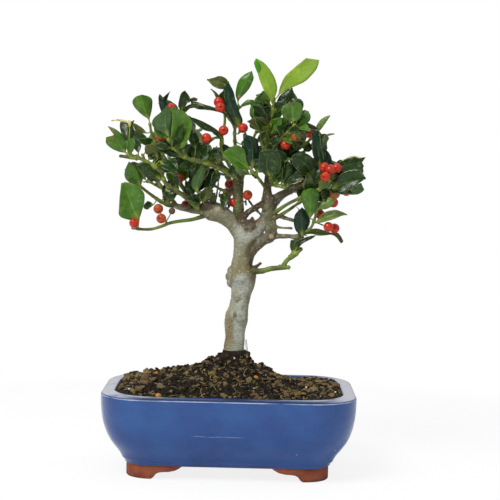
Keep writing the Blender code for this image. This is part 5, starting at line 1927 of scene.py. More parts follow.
def even_points(line: list[Vector], count: int) -> list[Vector]:
    """Points at even distances along a smooth curve.

    Args:
        line: the points that the curve runs through.
        count: how many points are wanted.

    Returns:
        The points, the curve's ends included.
    """
    fine = [line[0]]
    ends = [line[0]] + line + [line[-1]]
    for before, start, end, after in zip(ends, ends[1:], ends[2:], ends[3:]):
        fine += [curve_point(before, start, end, after, step / 10) for step in range(1, 11)]
    reach = [0.0]
    for start, end in zip(fine, fine[1:]):
        reach.append(reach[-1] + (end - start).length)
    points, at = [], 0
    for number in range(count):
        wanted = reach[-1] * number / (count - 1)
        while at < len(fine) - 2 and reach[at + 1] < wanted:
            at += 1
        share = (wanted - reach[at]) / max(1e-9, reach[at + 1] - reach[at])
        points.append(fine[at].lerp(fine[at + 1], min(1.0, share)))
    return points


# A drawn blade's least half width, in units of the view
LEAST_REACH = 0.45


@dataclass
class DrawnLeaf(Leaf):
    """A leaf whose edges and rib were drawn on the front view."""

    lines: tuple[list[Vector], ...] = ()
    depths: tuple[float, float] = (0.0, 0.0)
    margin: tuple[float, float, float] = (0.0, 0.0, 0.0)
    folded: float = 1.0

    @staticmethod
    def read(entry: tuple, routes: list[Route]) -> "DrawnLeaf":
        """A leaf from its entry, rooted on the nearest twig.

        Args:
            entry: its entry in DRAWN_LEAVES.
            routes: the twigs' centre lines.

        Returns:
            The leaf.
        """
        letter, tip_behind, *texts = entry
        lines = [[Vector([float(n) for n in pair.split(",")] + [0]) for pair in text.split()]
                 for text in texts if text[0] not in "LR"]
        left, right, *rest = lines
        right = [left[0]] + right
        if rest:
            rib = [left[0]] + rest[0]
        else:
            rib = [one.lerp(other, 0.5) for one, other in
                   zip(even_points(left, 7), even_points(right, 7))]
        margin = (0.0, 0.0, 0.0)
        if texts[-1][0] in "LR":
            side, start, end = texts[-1].split()
            margin = (-1.0 if side == "L" else 1.0, float(start), float(end))
        behind = min((place.y for route in routes for place, _ in route),
                     key=lambda y: abs(y / MM - tip_behind)) / MM
        for _ in range(3):
            root = nearest_on_routes(routes, VIEW.place(left[0].x, left[0].y, behind))
            behind = root.y / MM
        behind += (tip_behind - behind) * 0.25
        base = VIEW.place(rib[0].x, rib[0].y, behind)
        tip = VIEW.place(rib[-1].x, rib[-1].y, tip_behind)
        code, cream = TONE_LETTERS[letter].value
        return DrawnLeaf(root, base, tip, 8 * MM, Leaf.facing(base, tip, 12),
                         tone=from_hex(code), cream=cream, lines=(left, right, rib),
                         depths=(behind, tip_behind), margin=margin,
                         folded=FLAT_FOLD if letter in FLAT_TONES else 1.0)

    def rows(self, chance: Random, columns: int, steps: int) -> list[list[Vector]]:
        """The points of the blade's upper side, in rows from base to tip.

        Args:
            chance: the leaf's random numbers.
            columns: how many points lie in a row.
            steps: how many rows there are.

        Returns:
            The rows.
        """
        left, right, rib = (even_points(line, steps) for line in self.lines)
        span = (rib[-1] - rib[0]).length
        fold = chance.uniform(0.2, 0.5) * chance.choice((-1.0, 1.0)) * self.folded
        bow = chance.uniform(0.02, 0.09) * span
        tilt = chance.uniform(0.10, 0.42)
        ripple = chance.uniform(0.4, 0.9) * self.folded
        shift = [chance.uniform(0, FULL_TURN) for _ in range(2)]
        rows = []
        for i in range(steps):
            along = i / (steps - 1)
            middle = self.depths[0] + (self.depths[1] - self.depths[0]) * along
            middle -= bow * math.sin(math.pi * along)
            ahead = rib[min(i + 1, steps - 1)] - rib[max(i - 1, 0)]
            out = Vector((-ahead.y, ahead.x, 0)).normalized()
            row = []
            for j in range(columns):
                u = 2 * j / (columns - 1) - 1
                reach = (left if u < 0 else right)[i] - rib[i]
                if reach.length < LEAST_REACH:
                    reach = out * (-LEAST_REACH if u < 0 else LEAST_REACH)
                spot = rib[i] + reach * abs(u)
                wave = math.sin(15 * along + shift[0 if u < 0 else 1]) * abs(u) ** 3
                behind = (middle + fold * reach.length * abs(u) ** 1.3
                          + tilt * (rib[i].y - spot.y) + ripple * wave)
                row.append(VIEW.place(spot.x, spot.y, behind))
            rows.append(row)
        return rows


def kept_in(rows: list[list[Vector]]) -> list[list[Vector]]:
    """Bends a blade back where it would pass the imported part's box.

    Args:
        rows: the blade's rows from base to tip.

    Returns:
        The rows, inside the box.
    """
    inset = Vector((0.5 * MM,) * 3)
    low, high = CAD_LOW - POT_ORIGIN + inset, CAD_HIGH - POT_ORIGIN - inset
    last = len(rows) - 1
    for axis in range(3):
        over = max(0.0, max(point[axis] for row in rows for point in row) - high[axis])
        under = max(0.0, low[axis] - min(point[axis] for row in rows for point in row))
        for number, row in enumerate(rows):
            for point in row:
                point[axis] += (under - over) * number / last
                point[axis] = min(max(point[axis], low[axis]), high[axis])
    return rows


class LeafCutter:
    """Cuts every leaf from one slab of a grid, and writes on it what the finish reads."""

    columns = 9
    steps = 21
    thickness = 0.46 * MM
    layers = ("across", "along", "under", "cream")

    def __init__(self) -> None:
        """Makes the slab: a grid drawn out downward, with a sheet number on its points."""
        shape = self.blank()
        bmesh.ops.create_grid(shape, x_segments=self.columns - 1, y_segments=self.steps - 1,
                              size=1.0)
        grown = bmesh.ops.extrude_face_region(shape, geom=list(shape.faces))["geom"]
        for point in grown:
            if isinstance(point, Point):
                point.co.z = 1.0
        bmesh.ops.recalc_face_normals(shape, faces=shape.faces)
        self.slab = bpy.data.meshes.new("leaf_slab")
        shape.to_mesh(self.slab)
        shape.free()

    def cut(self, shape: Shape, leaf: Leaf, chance: Random) -> None:
        """Adds one leaf's blade.

        Args:
            shape: the bmesh that it is added to.
            leaf: the leaf as set out.
            chance: where its small differences come from.
        """
        rows = kept_in(leaf.rows(chance, self.columns, self.steps))
        side, start, end = getattr(leaf, "margin", (0.0, 0.0, 0.0))
        seen = len(shape.verts)
        shape.from_mesh(self.slab)
        shape.verts.ensure_lookup_table()
        numbers = shape.verts.layers.float
        across, along, under, cream = (numbers[name] for name in self.layers)
        tint = shape.verts.layers.float_color["tint"]
        shade = chance.uniform(0.8, 1.22)
        warm = chance.uniform(-0.10, 0.12)
        tone = (leaf.tone[0] * shade * (1 + warm), leaf.tone[1] * shade, leaf.tone[2] * shade, 1.0)
        scorch = 0.30 if chance.random() < 0.22 else 0.0
        scorch_tip = chance.uniform(0.75, 1.0)
        for point in shape.verts[seen:]:
            j = round((point.co.x + 1) / 2 * (self.columns - 1))
            i = round((point.co.y + 1) / 2 * (self.steps - 1))
            place = rows[i][j]
            beside = rows[i][min(j + 1, self.columns - 1)] - rows[i][max(j - 1, 0)]
            ahead = rows[min(i + 1, self.steps - 1)][j] - rows[max(i - 1, 0)][j]
            up = beside.cross(ahead)
            up = up.normalized() if up.length > 1e-12 else leaf.normal
            if up.dot(leaf.normal) < 0:
                up = -up
            u = 2 * j / (self.columns - 1) - 1
            t = i / (self.steps - 1)
            top = point.co.z > 0.5
            point.co = place + up * (0.5 if top else -0.5) * self.thickness
            point[across] = u
            point[along] = t
            point[under] = 0.0 if top else 1.0
            rim = abs(u) ** 4
            edged = 0.85 * abs(u) ** 5 if u * side > 0 and start < t < end else 0.0
            point[cream] = min(1.0, leaf.cream * (0.25 + 0.75 * rim) * (0.25 + 0.75 * t)
                               + edged + scorch * max(rim, (t > scorch_tip) * 1.0))
            point[tint] = tone

    def blank(self) -> Shape:
        """An empty bmesh that can take leaves.

        Returns:
            The bmesh with its layers.
        """
        shape = bmesh.new()
        for layer in self.layers:
            shape.verts.layers.float.new(layer)
        shape.verts.layers.float_color.new("tint")
        return shape


def nearest_on_routes(routes: list[Route], place: Vector) -> Vector:
    """The nearest point of the twigs' centre lines.

    Args:
        routes: the centre lines.
        place: the place to come from.

    Returns:
        The point on a centre line.
    """
    best = None
    for route in routes:
        for (start, _), (end, _) in zip(route, route[1:]):
            span = end - start
            share = min(1.0, max(0.0, (place - start).dot(span) / span.length_squared))
            point = start + span * share
            if best is None or (point - place).length < (best - place).length:
                best = point
    return best


class PartRandom:
    """The plain row of numbers between -1 and 1 that the set-out of ruled sprays uses."""

    def __init__(self, seed: int) -> None:
        """Starts the row."""
        self.state = seed * 7919 + 17

    def draw(self) -> float:
        """The next number."""
        self.state = (self.state * 1103515245 + 12345) % 2147483648
        return self.state / 1073741824 - 1


class BerrySkin:
    """Adds berries to a bmesh: round, dimpled where the stalk sits, with a dark calyx dot."""

    radius = 4.1 * MM
    shrivelled = 0.68
    # Berries that aren't ripe, by where they show: across, down and ripeness. A shrivelled one,
    # which is below nought, is smaller
    unripe = ((158.3, 208.8, 0.35), (161.3, 218.6, 0.45), (179.0, 177.5, 0.5), (229.5, 184.8, 0.7),
              (227.5, 191, 0.8), (172, 210.6, -0.5), (335, 193, 0.25), (285.5, 145, 0.8),
              (296.3, 136.5, 0.3), (274.5, 141, 0.5), (247.6, 195, 0.6))

    @classmethod
    def add(cls, shape: Shape, centre: Vector, root: Vector) -> None:
        """Adds one berry.

        Args:
            shape: the bmesh that it is added to.
            centre: its middle.
            root: where its stalk comes from.
        """
        ripe_layer = shape.verts.layers.float.get("ripe") or shape.verts.layers.float.new("ripe")
        calyx = shape.verts.layers.float.get("calyx") or shape.verts.layers.float.new("calyx")
        seen = seen_from_front(centre)
        ripe = 1.0
        for across, down, share in cls.unripe:
            if (seen - Vector((across, down))).length < 4:
                ripe = share
        size = cls.radius * (cls.shrivelled if ripe < 0 else 1.0)
        away = (centre - root).normalized()
        ball = bmesh.ops.create_uvsphere(shape, u_segments=20, v_segments=14, radius=1.0)
        turn = Vector((0, 0, 1)).rotation_difference(away)
        for point in ball["verts"]:
            end = point.co.z
            squat = 1 + 0.03 * noise.noise(point.co * 1.5 + centre * 900)
            dimple = 0.10 * math.exp(-((1 + end) / 0.06) ** 2) + 0.04 * math.exp(
                -((1 - end) / 0.03) ** 2)
            point[ripe_layer] = ripe
            point[calyx] = 1.0 if end > 0.985 else (0.5 if end > 0.94 else 0.0)
            point.co = centre + (turn @ (point.co * (squat - dimple))) * size


# Where daylight or a berry shows through the crown: across, down, half width, half height
CLEAR_SPOTS = [
    (113, 159, 10, 6), (212, 120, 13, 6), (341, 155, 11, 6), (157, 192, 6, 8), (330, 145, 5, 8),
    (212, 90, 6, 7), (183, 188, 4, 8), (247, 112, 4, 8), (168, 176, 6, 3), (178, 200, 6, 4),
    (253, 134, 6, 5), (239, 140, 3, 6), (229, 128, 3, 9), (145, 126, 4, 6), (143, 152, 3, 8),
    (193, 113, 5, 4), (226, 140, 3, 5), (198, 126, 6, 2), (217, 144, 2, 4), (312, 121, 3, 4),
    (223, 184, 2, 4), (157, 105, 3, 4), (284, 202, 7, 5), (293, 212, 5, 5), (284, 226, 8, 2),
    (302, 246, 5, 4), (262, 210, 3, 3), (335, 205, 4, 4), (322, 131, 3, 3), (244, 123, 3, 3),
    (210, 150, 2, 3), (190, 138, 2, 4), (229.5, 184.5, 5, 5), (227, 192, 4, 4), (170, 160, 3, 2),
    (247, 188, 9, 12), (206, 138, 5, 5), (223.5, 130.5, 5, 5), (218.6, 102, 4, 4), (308, 133, 2, 2),
    (128, 160.5, 9, 2.5), (171, 102, 4, 2.5), (234, 145, 5, 4), (328, 133, 5, 1.5),
    (263.5, 137, 2, 4), (271.5, 137, 1.5, 1.5), (275.5, 142, 1.5, 2), (277.5, 148.5, 1.5, 1),
    (290.5, 141, 1, 2), (297.5, 143.5, 2, 2.5), (309.5, 146, 1.5, 2), (307, 151, 4, 1.5),
    (284.5, 131, 1, 1), (291.5, 150, 1, 1), (335, 161, 3, 2), (240, 141, 3, 2), (218, 144, 3, 3),
    (227, 143, 2, 3), (195, 127, 4, 2), (326, 147, 2, 3), (178, 202, 5, 3), (282, 202, 7, 4),
    (251, 134, 6, 5), (220, 174, 2, 7),
]


# Where along a blade it is tested for showing over a clear spot
DAYLIGHT_TESTS = (0.15, 0.4, 0.65, 0.85, 1.0)


def covers_daylight(leaf: Leaf) -> bool:
    """Whether a blade would show over a clear spot of the crown.

    Args:
        leaf: the leaf.

    Returns:
        True where a point of the blade lies over a spot in the front view.
    """
    span = leaf.tip - leaf.base
    side = span.cross(leaf.normal).normalized() * leaf.width * 0.45
    for share in DAYLIGHT_TESTS:
        for off in (-1, 0, 1):
            spot = leaf.base + span * share + side * off * math.sin(math.pi * share)
            seen = seen_from_front(spot)
            if any(((seen.x - x) / wide) ** 2 + ((seen.y - y) / high) ** 2 < 1
                   for x, y, wide, high in CLEAR_SPOTS):
                return True
    return False


# The least length of a leaf's stalk, and its length where leaves stand by rule
STALK_LEAST = 2.5 * MM
STALK_RULED = 4 * MM
# The turn in degrees from one ruled leaf to the next
GOLDEN_ANGLE = 137.5
# A leaf that would cover daylight is turned by less than this many degrees or cut to a share
MOST_TURN = 45
CUT_SHARES = (1.0, 0.7, 0.5)
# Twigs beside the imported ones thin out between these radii, in millimetres
THIN_TWIG = (0.95, 0.7)
# A packed leaf or berry is found again when it is this close
CLOSE = 0.05 * MM


@dataclass
class Spray:
    """One leafy spray: its twigs, its leaves, and the berries that hang on it alone."""

    name: str
    plan: dict
    carrier: BVHTree
    wood: list[Route] = field(default_factory=list)
    twigs: list[Route] = field(default_factory=list)
    leaves: list[Leaf] = field(default_factory=list)
    berries: list[tuple[Vector, Vector]] = field(default_factory=list)
    chance: Random = field(default_factory=Random)

    def set_out(self) -> None:
        """Finds where the twigs, leaves and berries stand."""
        self.chance = Random(self.name)
        radii = self.plan["radii"]
        for number, points in enumerate(self.plan["twigs"] + MORE_TWIGS.get(self.name, [])):
            places = [VIEW.place(*point) for point in points]
            last = len(places) - 1
            thick = THIN_TWIG if number >= len(self.plan["twigs"]) else radii
            sizes = [(thick[0] + (thick[1] - thick[0]) * k / last) * MM for k in range(len(places))]
            if number:
                places[0] = nearest_on_routes(self.twigs[:1], places[0])
            else:
                seat, outward, _, _ = self.carrier.find_nearest(places[0])
                start = seat + outward * (GAP + 0.02 * MM)
                lead = seat + outward * (sizes[0] * 1.6)
                far = [place for place in places[1:] if (place - lead).length > 2 * MM]
                places = [start, lead] + far
                sizes = [sizes[0]] + sizes
            self.twigs.append(list(zip(places, sizes)))
        near = search_tree(cad_points(self.name))
        drawn = {mark: DrawnLeaf.read(entry, self.twigs)
                 for mark, entry in DRAWN_LEAVES.get(self.name, {}).items()}
        for row in self.plan.get("leaves", []):
            if row in drawn:
                self.leaves.append(drawn.pop(row))
            else:
                self.fit(self.tabled_leaf(row), LeafLook.read(row[-1]), near)
        if "count" in self.plan:
            for leaf, code in zip(self.ruled_leaves(), RULED_LOOKS):
                self.fit(leaf, LeafLook.read(code), near)
        self.leaves += drawn.values()
        for row in MORE_LEAVES.get(self.name, []):
            self.take(self.tabled_leaf(row).dressed(LeafLook.read(row[-1])))
        for place in self.plan.get("berries", []):
            centre = settled_berry(near, place)
            self.berries.append((centre, nearest_on_routes(self.twigs, centre)))

    def fit(self, leaf: Leaf, look: LeafLook, near: KDTree) -> None:
        """Takes a packed leaf in the small turn that brings it to its packed tip.

        Args:
            leaf: the leaf before it is turned clear.
            look: its kind and tone, and whether it stays as it is.
            near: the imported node's corners.
        """
        tries = [leaf.turned(*turn) for turn in small_turns()]
        offs = [near.find(tried.tip)[2] for tried in tries]
        best = min(range(len(tries)), key=offs.__getitem__)
        if offs[best] > CLOSE:
            LOG.info("%s: a leaf is %.2f mm off its packed tip", self.name, offs[best] / MM)
        chosen = leaf if look.as_drawn else tries[best]
        self.take(chosen.dressed(look))

    def take(self, leaf: Leaf) -> None:
        """Adds a leaf, turned or cut short where it would cover daylight, or leaves it out.

        Args:
            leaf: the leaf.
        """
        turns = [turn for turn in small_turns() if max(map(abs, turn)) < MOST_TURN]
        for share in CUT_SHARES:
            tip = leaf.base.lerp(leaf.tip, share)
            for turn in turns:
                tried = replace(leaf, tip=tip, width=leaf.width * math.sqrt(share)).turned(*turn)
                if not covers_daylight(tried):
                    self.leaves.append(tried)
                    return

    def tabled_leaf(self, row: tuple) -> Leaf:
        """A leaf from its row in the table, rooted on the nearest point of the twigs.

        Args:
            row: base across and down, tip across and down, depth, width, facing and look.

        Returns:
            The leaf before it is turned clear.
        """
        base_across, base_down, tip_across, tip_down, tip_behind, width, face, _ = row
        middle = [route[len(route) // 2][0] for route in self.twigs]
        behind = sum(place.y for place in middle) / len(middle) / MM
        for _ in range(3):
            root = nearest_on_routes(self.twigs, VIEW.place(base_across, base_down, behind))
            behind = root.y / MM
        base = VIEW.place(base_across, base_down, behind + (tip_behind - behind) * 0.15)
        tip = VIEW.place(tip_across, tip_down, tip_behind)
        if (base - root).length < STALK_LEAST:
            base = root + (tip - root).normalized() * STALK_LEAST
        return Leaf(root, base, tip, width * MM, Leaf.facing(base, tip, face))

    def ruled_leaves(self) -> list[Leaf]:
        """Leaves in a spiral round the twig, before they are turned clear.

        Returns:
            The leaves.
        """
        chance = PartRandom(self.plan["seed"])
        places = [place for place, _ in self.twigs[0]]
        leaves = []
        for k in range(self.plan["count"]):
            span = (0.25 + 0.75 * k / (self.plan["count"] - 1)) * (len(places) - 1)
            step = min(int(span), len(places) - 2)
            root = places[step].lerp(places[step + 1], span - step)
            way = (places[step + 1] - places[step]).normalized()
            turn = Quaternion(way, math.radians(GOLDEN_ANGLE * k))
            outward = turn @ way.orthogonal().normalized()
            toward = outward * 0.8 + way * 0.45 + Vector(self.plan["lean"]) * 0.55
            toward += Vector((chance.draw(), chance.draw(), chance.draw())) * 0.15
            toward.normalize()
            length = self.plan["size"][0] * MM * (1 + 0.14 * chance.draw())
            width = self.plan["size"][1] * MM * (1 + 0.12 * chance.draw())
            base = root + toward * STALK_RULED
            sky = Vector((0.25 * chance.draw(), 0.35, 1.0))
            normal = (sky - toward * sky.dot(toward)).normalized()
            leaves.append(Leaf(root, base, base + toward * length, width, normal))
        return leaves

    def add_small_leaves(self, count: int) -> None:
        """Adds lesser leaves along the twigs, which fill the spray without widening it.

        Args:
            count: how many at most.
        """
        corners = cad_points(self.name)
        low = Vector([min(c[k] for c in corners) for k in range(3)])
        high = Vector([max(c[k] for c in corners) for k in range(3)])
        route = self.twigs[0]
        for _ in range(count):
            step = self.chance.randrange(1, len(route) - 1)
            share = self.chance.random()
            root = route[step][0].lerp(route[step + 1][0], share)
            way = (route[step + 1][0] - route[step][0]).normalized()
            turn = Quaternion(way, self.chance.uniform(0, FULL_TURN))
            outward = turn @ way.orthogonal().normalized()
            toward = (outward + way * 0.6 + Vector((0, 0, 0.35))).normalized()
            length = self.chance.uniform(12, 23) * MM
            base = root + toward * STALK_LEAST
            tip = base + toward * length
            if any(tip[k] < low[k] or tip[k] > high[k] for k in range(3)):
                continue
            leaf = Leaf(root, base, tip, length * self.chance.uniform(0.42, 0.56),
                        Leaf.facing(base, tip, self.chance.uniform(5, 50)))
            leaf = leaf.dressed(LeafLook.read(self.chance.choice(SMALL_LOOKS)))
            if not covers_daylight(leaf):
                self.leaves.append(leaf)

    def stems(self) -> list[Route]:
        """The twigs with their nodes, the leaf stalks and the berry stalks.

        Returns:
            The centre lines.
        """
        roots = [leaf.root for leaf in self.leaves]
        routes = []
        for number, twig in enumerate(self.twigs):
            route = list(twig)
            if number == 0:
                back = (route[0][0] - route[1][0]).normalized()
                heart = route[0][0] + back * 2.4 * MM
                if self.wood:
                    heart = route[0][0].lerp(nearest_on_routes(self.wood, route[0][0]), 0.7)
                entry = route[2:] if self.wood and len(route) > 4 else route
                route = [(heart, route[0][1] * 1.25)] + entry
            dense = smooth_route(route, 1.0 * MM)
            knotty = []
            for place, radius in dense:
                swell = sum(0.30 * math.exp(-((place - root).length / (1.3 * MM)) ** 2)
                            for root in roots)
                uneven = 1 + 0.10 * noise.noise(place * 400)
                knotty.append((place, radius * 1.08 * uneven * (1 + min(swell, 0.5))))
            end, radius = knotty[-1]
            ahead = (end - knotty[-3][0]).normalized()
            knotty += [(end + ahead * 0.6 * MM, radius * 1.15), (end + ahead * 1.5 * MM, radius),
                       (end + ahead * 2.4 * MM, radius * 0.25)]
            routes.append(knotty)
        for leaf in self.leaves:
            ahead = (leaf.tip - leaf.base).normalized()
            middle = (leaf.root + leaf.base) / 2 - leaf.normal * 0.25 * MM
            stalk = [(leaf.root, 0.75 * MM), (middle, 0.5 * MM),
                     (leaf.base - leaf.normal * 0.2 * MM, 0.5 * MM),
                     (leaf.base + ahead * 3.0 * MM + leaf.normal * 0.1 * MM, 0.36 * MM)]
            routes.append(smooth_route(stalk, 0.9 * MM))
        routes += [berry_stalk(root, centre) for centre, root in self.berries]
        return routes

    def wooden(self) -> Shape:
        """The twigs and stalks, with each point marked fresh where it is on a stalk.

        Returns:
            The bmesh.
        """
        routes = self.stems()
        shape = round_rods(routes, 2)
        samples = [(place, number >= len(self.twigs)) for number, route in enumerate(routes)
                   for place, _ in route]
        near = search_tree([place for place, _ in samples])
        fresh_and_highlight = shape.verts.layers.float.new("fresh_and_highlight")
        for point in shape.verts:
            point[fresh_and_highlight] = float(samples[near.find(point.co)[1]][1])
        return shape

    def build(self, cutter: LeafCutter, leaf_finish: Material,
              twig_finish: Material, berry_finish: Material) -> None:
        """Builds the spray's pieces.

        Args:
            cutter: what cuts the leaves.
            leaf_finish: the leaves' finish.
            twig_finish: the twigs' finish.
            berry_finish: the berries' finish.
        """
        shape = cutter.blank()
        for number, leaf in enumerate(self.leaves):
            cutter.cut(shape, leaf, Random(f"{self.name}{number}"))
        slot = "young_leaf" if self.name == "shoot_young" else "leaf"
        add_piece(f"{self.name}_leaves", shape, [leaf_finish], slot, self.name)
        add_piece(f"{self.name}_twigs", self.wooden(), [twig_finish], "green_twig", self.name)
        if self.berries:
            shape = bmesh.new()
            for centre, root in self.berries:
                BerrySkin.add(shape, centre, root)
            add_piece(f"{self.name}_berries", shape, [berry_finish], "berry", self.name)


def berry_stalk(root: Vector, centre: Vector) -> Route:
    """A berry's thin stalk, which sags a little and thickens at the berry.

    Args:
        root: where it grows.
        centre: the berry's middle.

    Returns:
        The centre line.
    """
    middle = root.lerp(centre, 0.5) - Vector((0, 0, 0.4 * MM))
    return smooth_route([(root, 0.6 * MM), (middle, 0.42 * MM),
                         (root.lerp(centre, 0.9), 0.5 * MM)], 0.9 * MM)


# How far behind its row, in millimetres, a packed berry may hang
BERRY_PUSHES = (0, -3, 3, -6, 6, -9, 9, -12, 12, -16, 16)


def settled_berry(near: KDTree, place: tuple) -> Vector:
    """Where a berry of the table hangs, after it was pushed clear along the line of sight.

    Args:
        near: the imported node's corners.
        place: the berry's row in the table.

    Returns:
        The berry's middle.
    """
    across, down, behind = place
    pole = Vector((0, 0, BerrySkin.radius))
    centres = [VIEW.place(across, down, behind + push) for push in BERRY_PUSHES]
    offs = [min(near.find(centre + pole)[2], near.find(centre - pole)[2]) for centre in centres]
    best = min(range(len(centres)), key=offs.__getitem__)
    if offs[best] > CLOSE:
        LOG.info("a berry at %.0f, %.0f is %.2f mm off", across, down, offs[best] / MM)
    return centres[0] if offs[best] > 1 * MM else centres[best]


@dataclass
class BerryBunch:
    """Berries whose stalks meet at one seat on a twig."""

    name: str
    places: list[tuple]

    def build(self, berry_finish: Material, twig_finish: Material) -> None:
        """Builds the berries and their stalks.

        Args:
            berry_finish: the berries' finish.
            twig_finish: the stalks' finish.
        """
        corners = cad_points(self.name)
        near = search_tree(corners)
        centres = [settled_berry(near, place) for place in self.places]
        clear = BerrySkin.radius * 1.12
        stub = [corner for corner in corners
                if all((corner - centre).length > clear for centre in centres)]
        hub = sum(stub, Vector()) / len(stub)
        middle = sum(centres, Vector()) / len(centres)
        seat = max(stub, key=lambda corner: (corner - middle).length)
        shape = bmesh.new()
        for centre in centres:
            BerrySkin.add(shape, centre, hub)
        add_piece(f"{self.name}_fruit", shape, [berry_finish], "berry", self.name)
        root = hub + (seat - hub).normalized() * ((seat - hub).length + 0.6 * MM)
        routes = [[(root, 1.0 * MM), (root.lerp(hub, 0.6), 0.9 * MM), (hub, 0.8 * MM)]]
        routes += [berry_stalk(hub, centre) for centre in centres]
        add_piece(f"{self.name}_stalks", round_rods(routes, 2), [twig_finish], "green_twig",
                  self.name)


# Woody routes: across, down, millimetres behind the trunk, radius in millimetres
TRUNK = [(234.8, 340, 0, 8.3), (235.2, 330, 0, 8.5), (236.5, 318.5, 0, 9.7), (238.8, 308, 0, 8.1),
         (240.8, 296, 0, 8.3), (242.6, 286, 0, 9.8), (241.8, 276.5, 0, 12.2), (241.2, 268, 0, 9.1),
         (243.2, 257, 0, 8.5), (244.6, 247, 0, 9.2), (246.6, 236, 0, 10.4), (247.4, 226, 0, 9.0),
         (247.2, 219.5, 0, 5.6)]
WOOD = {
    "left_limb": [(244.5, 250, 0, 6.3), (241.5, 236.5, -1, 6.6), (234, 225.5, -2, 6.2),
                  (226.5, 217.5, -3, 7.0), (218, 212.3, -4, 7.7), (209.5, 210.5, -4, 7.8),
                  (202.5, 209.8, -4, 5.0), (196, 210.3, -4, 3.3), (187, 208.8, -5, 2.6),
                  (181, 207.3, -6, 2.4), (174, 205.5, -7, 2.2)],
    "centre_limb": [(241, 232, 2, 5.0), (238.5, 219, 2, 4.8), (238.5, 205, 2, 4.6),
                    (238.3, 190, 2, 4.5), (238, 180, 1, 5.0), (238, 173, 0, 4.4)],
    "cross_branch": [(240, 221, -2, 3.2), (248, 212.5, -3, 2.7), (258, 206.2, -3, 2.3),
                     (267, 200.5, -3, 2.4)],
    "brown_limb": [(251, 243, 0, 6.5), (257, 230, -1, 6.2), (264.5, 219, -1, 4.7), (267.5, 209, 1, 4.2),
                   (273, 199.5, 0, 3.6), (284, 193.5, -4, 3.3), (293, 189, -7, 3.0),
                   (301, 186, -9, 2.4)],
    "right_limb": [(247, 254, 0, 5.8), (256, 246.3, -3, 4.7), (263.7, 240.5, -5, 4.2),
                   (270.3, 235.5, -6, 5.3), (271, 226, -6, 4.8), (270.3, 214, -5, 4.4),
                   (269.5, 203, -4, 5.4), (267.3, 194, -4, 4.0), (267.5, 187, -4, 3.4),
                   (268.5, 179, -4, 3.6), (267.8, 167, -3, 2.6), (266.5, 155, -3, 2.2)],
    "right_low_branch": [(270, 236, -6, 2.8), (281, 236.3, -7, 2.2), (291, 236.3, -8, 2.1),
                         (297.5, 237.5, -9, 3.0), (304, 236.8, -10, 1.6)],
    "dead_stub": [(249, 272, 0, 2.6), (254, 268, -1, 2.3), (257, 266, -2, 1.5), (261.5, 262.5, -3, 1.6)],
    "fork_stub": [(250, 227, -1, 2.6), (251.7, 221, -3, 2.0), (252.3, 216.8, -4, 1.2)],
    "fork_ridge": [(243.5, 221.5, -4, 1.1), (248, 222.3, -5, 1.4), (256, 221.3, -4, 1.2)],
    "twig_high": [(270, 214, -6, 2.2), (281, 216.5, -7, 1.9), (290, 219.5, -8, 1.6),
                  (296, 221, -8, 1.2)],
    "twig_low": [(270, 225, -6, 1.9), (281, 227.5, -7, 1.4), (293, 228.4, -8, 1.2)],
    "cross_twig": [(248, 199, -6, 0.9), (253.5, 207, -5, 1.0), (262, 215.5, -4, 1.2)],
    "thin_stem_left": [(214, 204, -3, 1.4), (217, 192, 0, 1.2), (218.5, 180, 2, 1.1),
                       (217, 166, 4, 1.0)],
    "thin_stem_centre": [(229, 208, 0, 1.2), (229.3, 195, 1, 1.2), (231.5, 186, 1, 1.1)],
    "back_left": [(206, 214, -3, 3.2), (198, 204, 9, 2.6), (188, 194, 22, 2.2),
                  (180, 184, 34, 1.8)],
    "back_centre": [(238.5, 200, 3, 3.2), (233, 188, 16, 2.7), (227, 175, 28, 2.2),
                    (221, 163, 38, 1.8)],
    "back_right": [(270, 213, -4, 2.6), (277, 203, 11, 2.4), (288, 191, 24, 2.1),
                   (300, 179, 35, 1.7)],
}

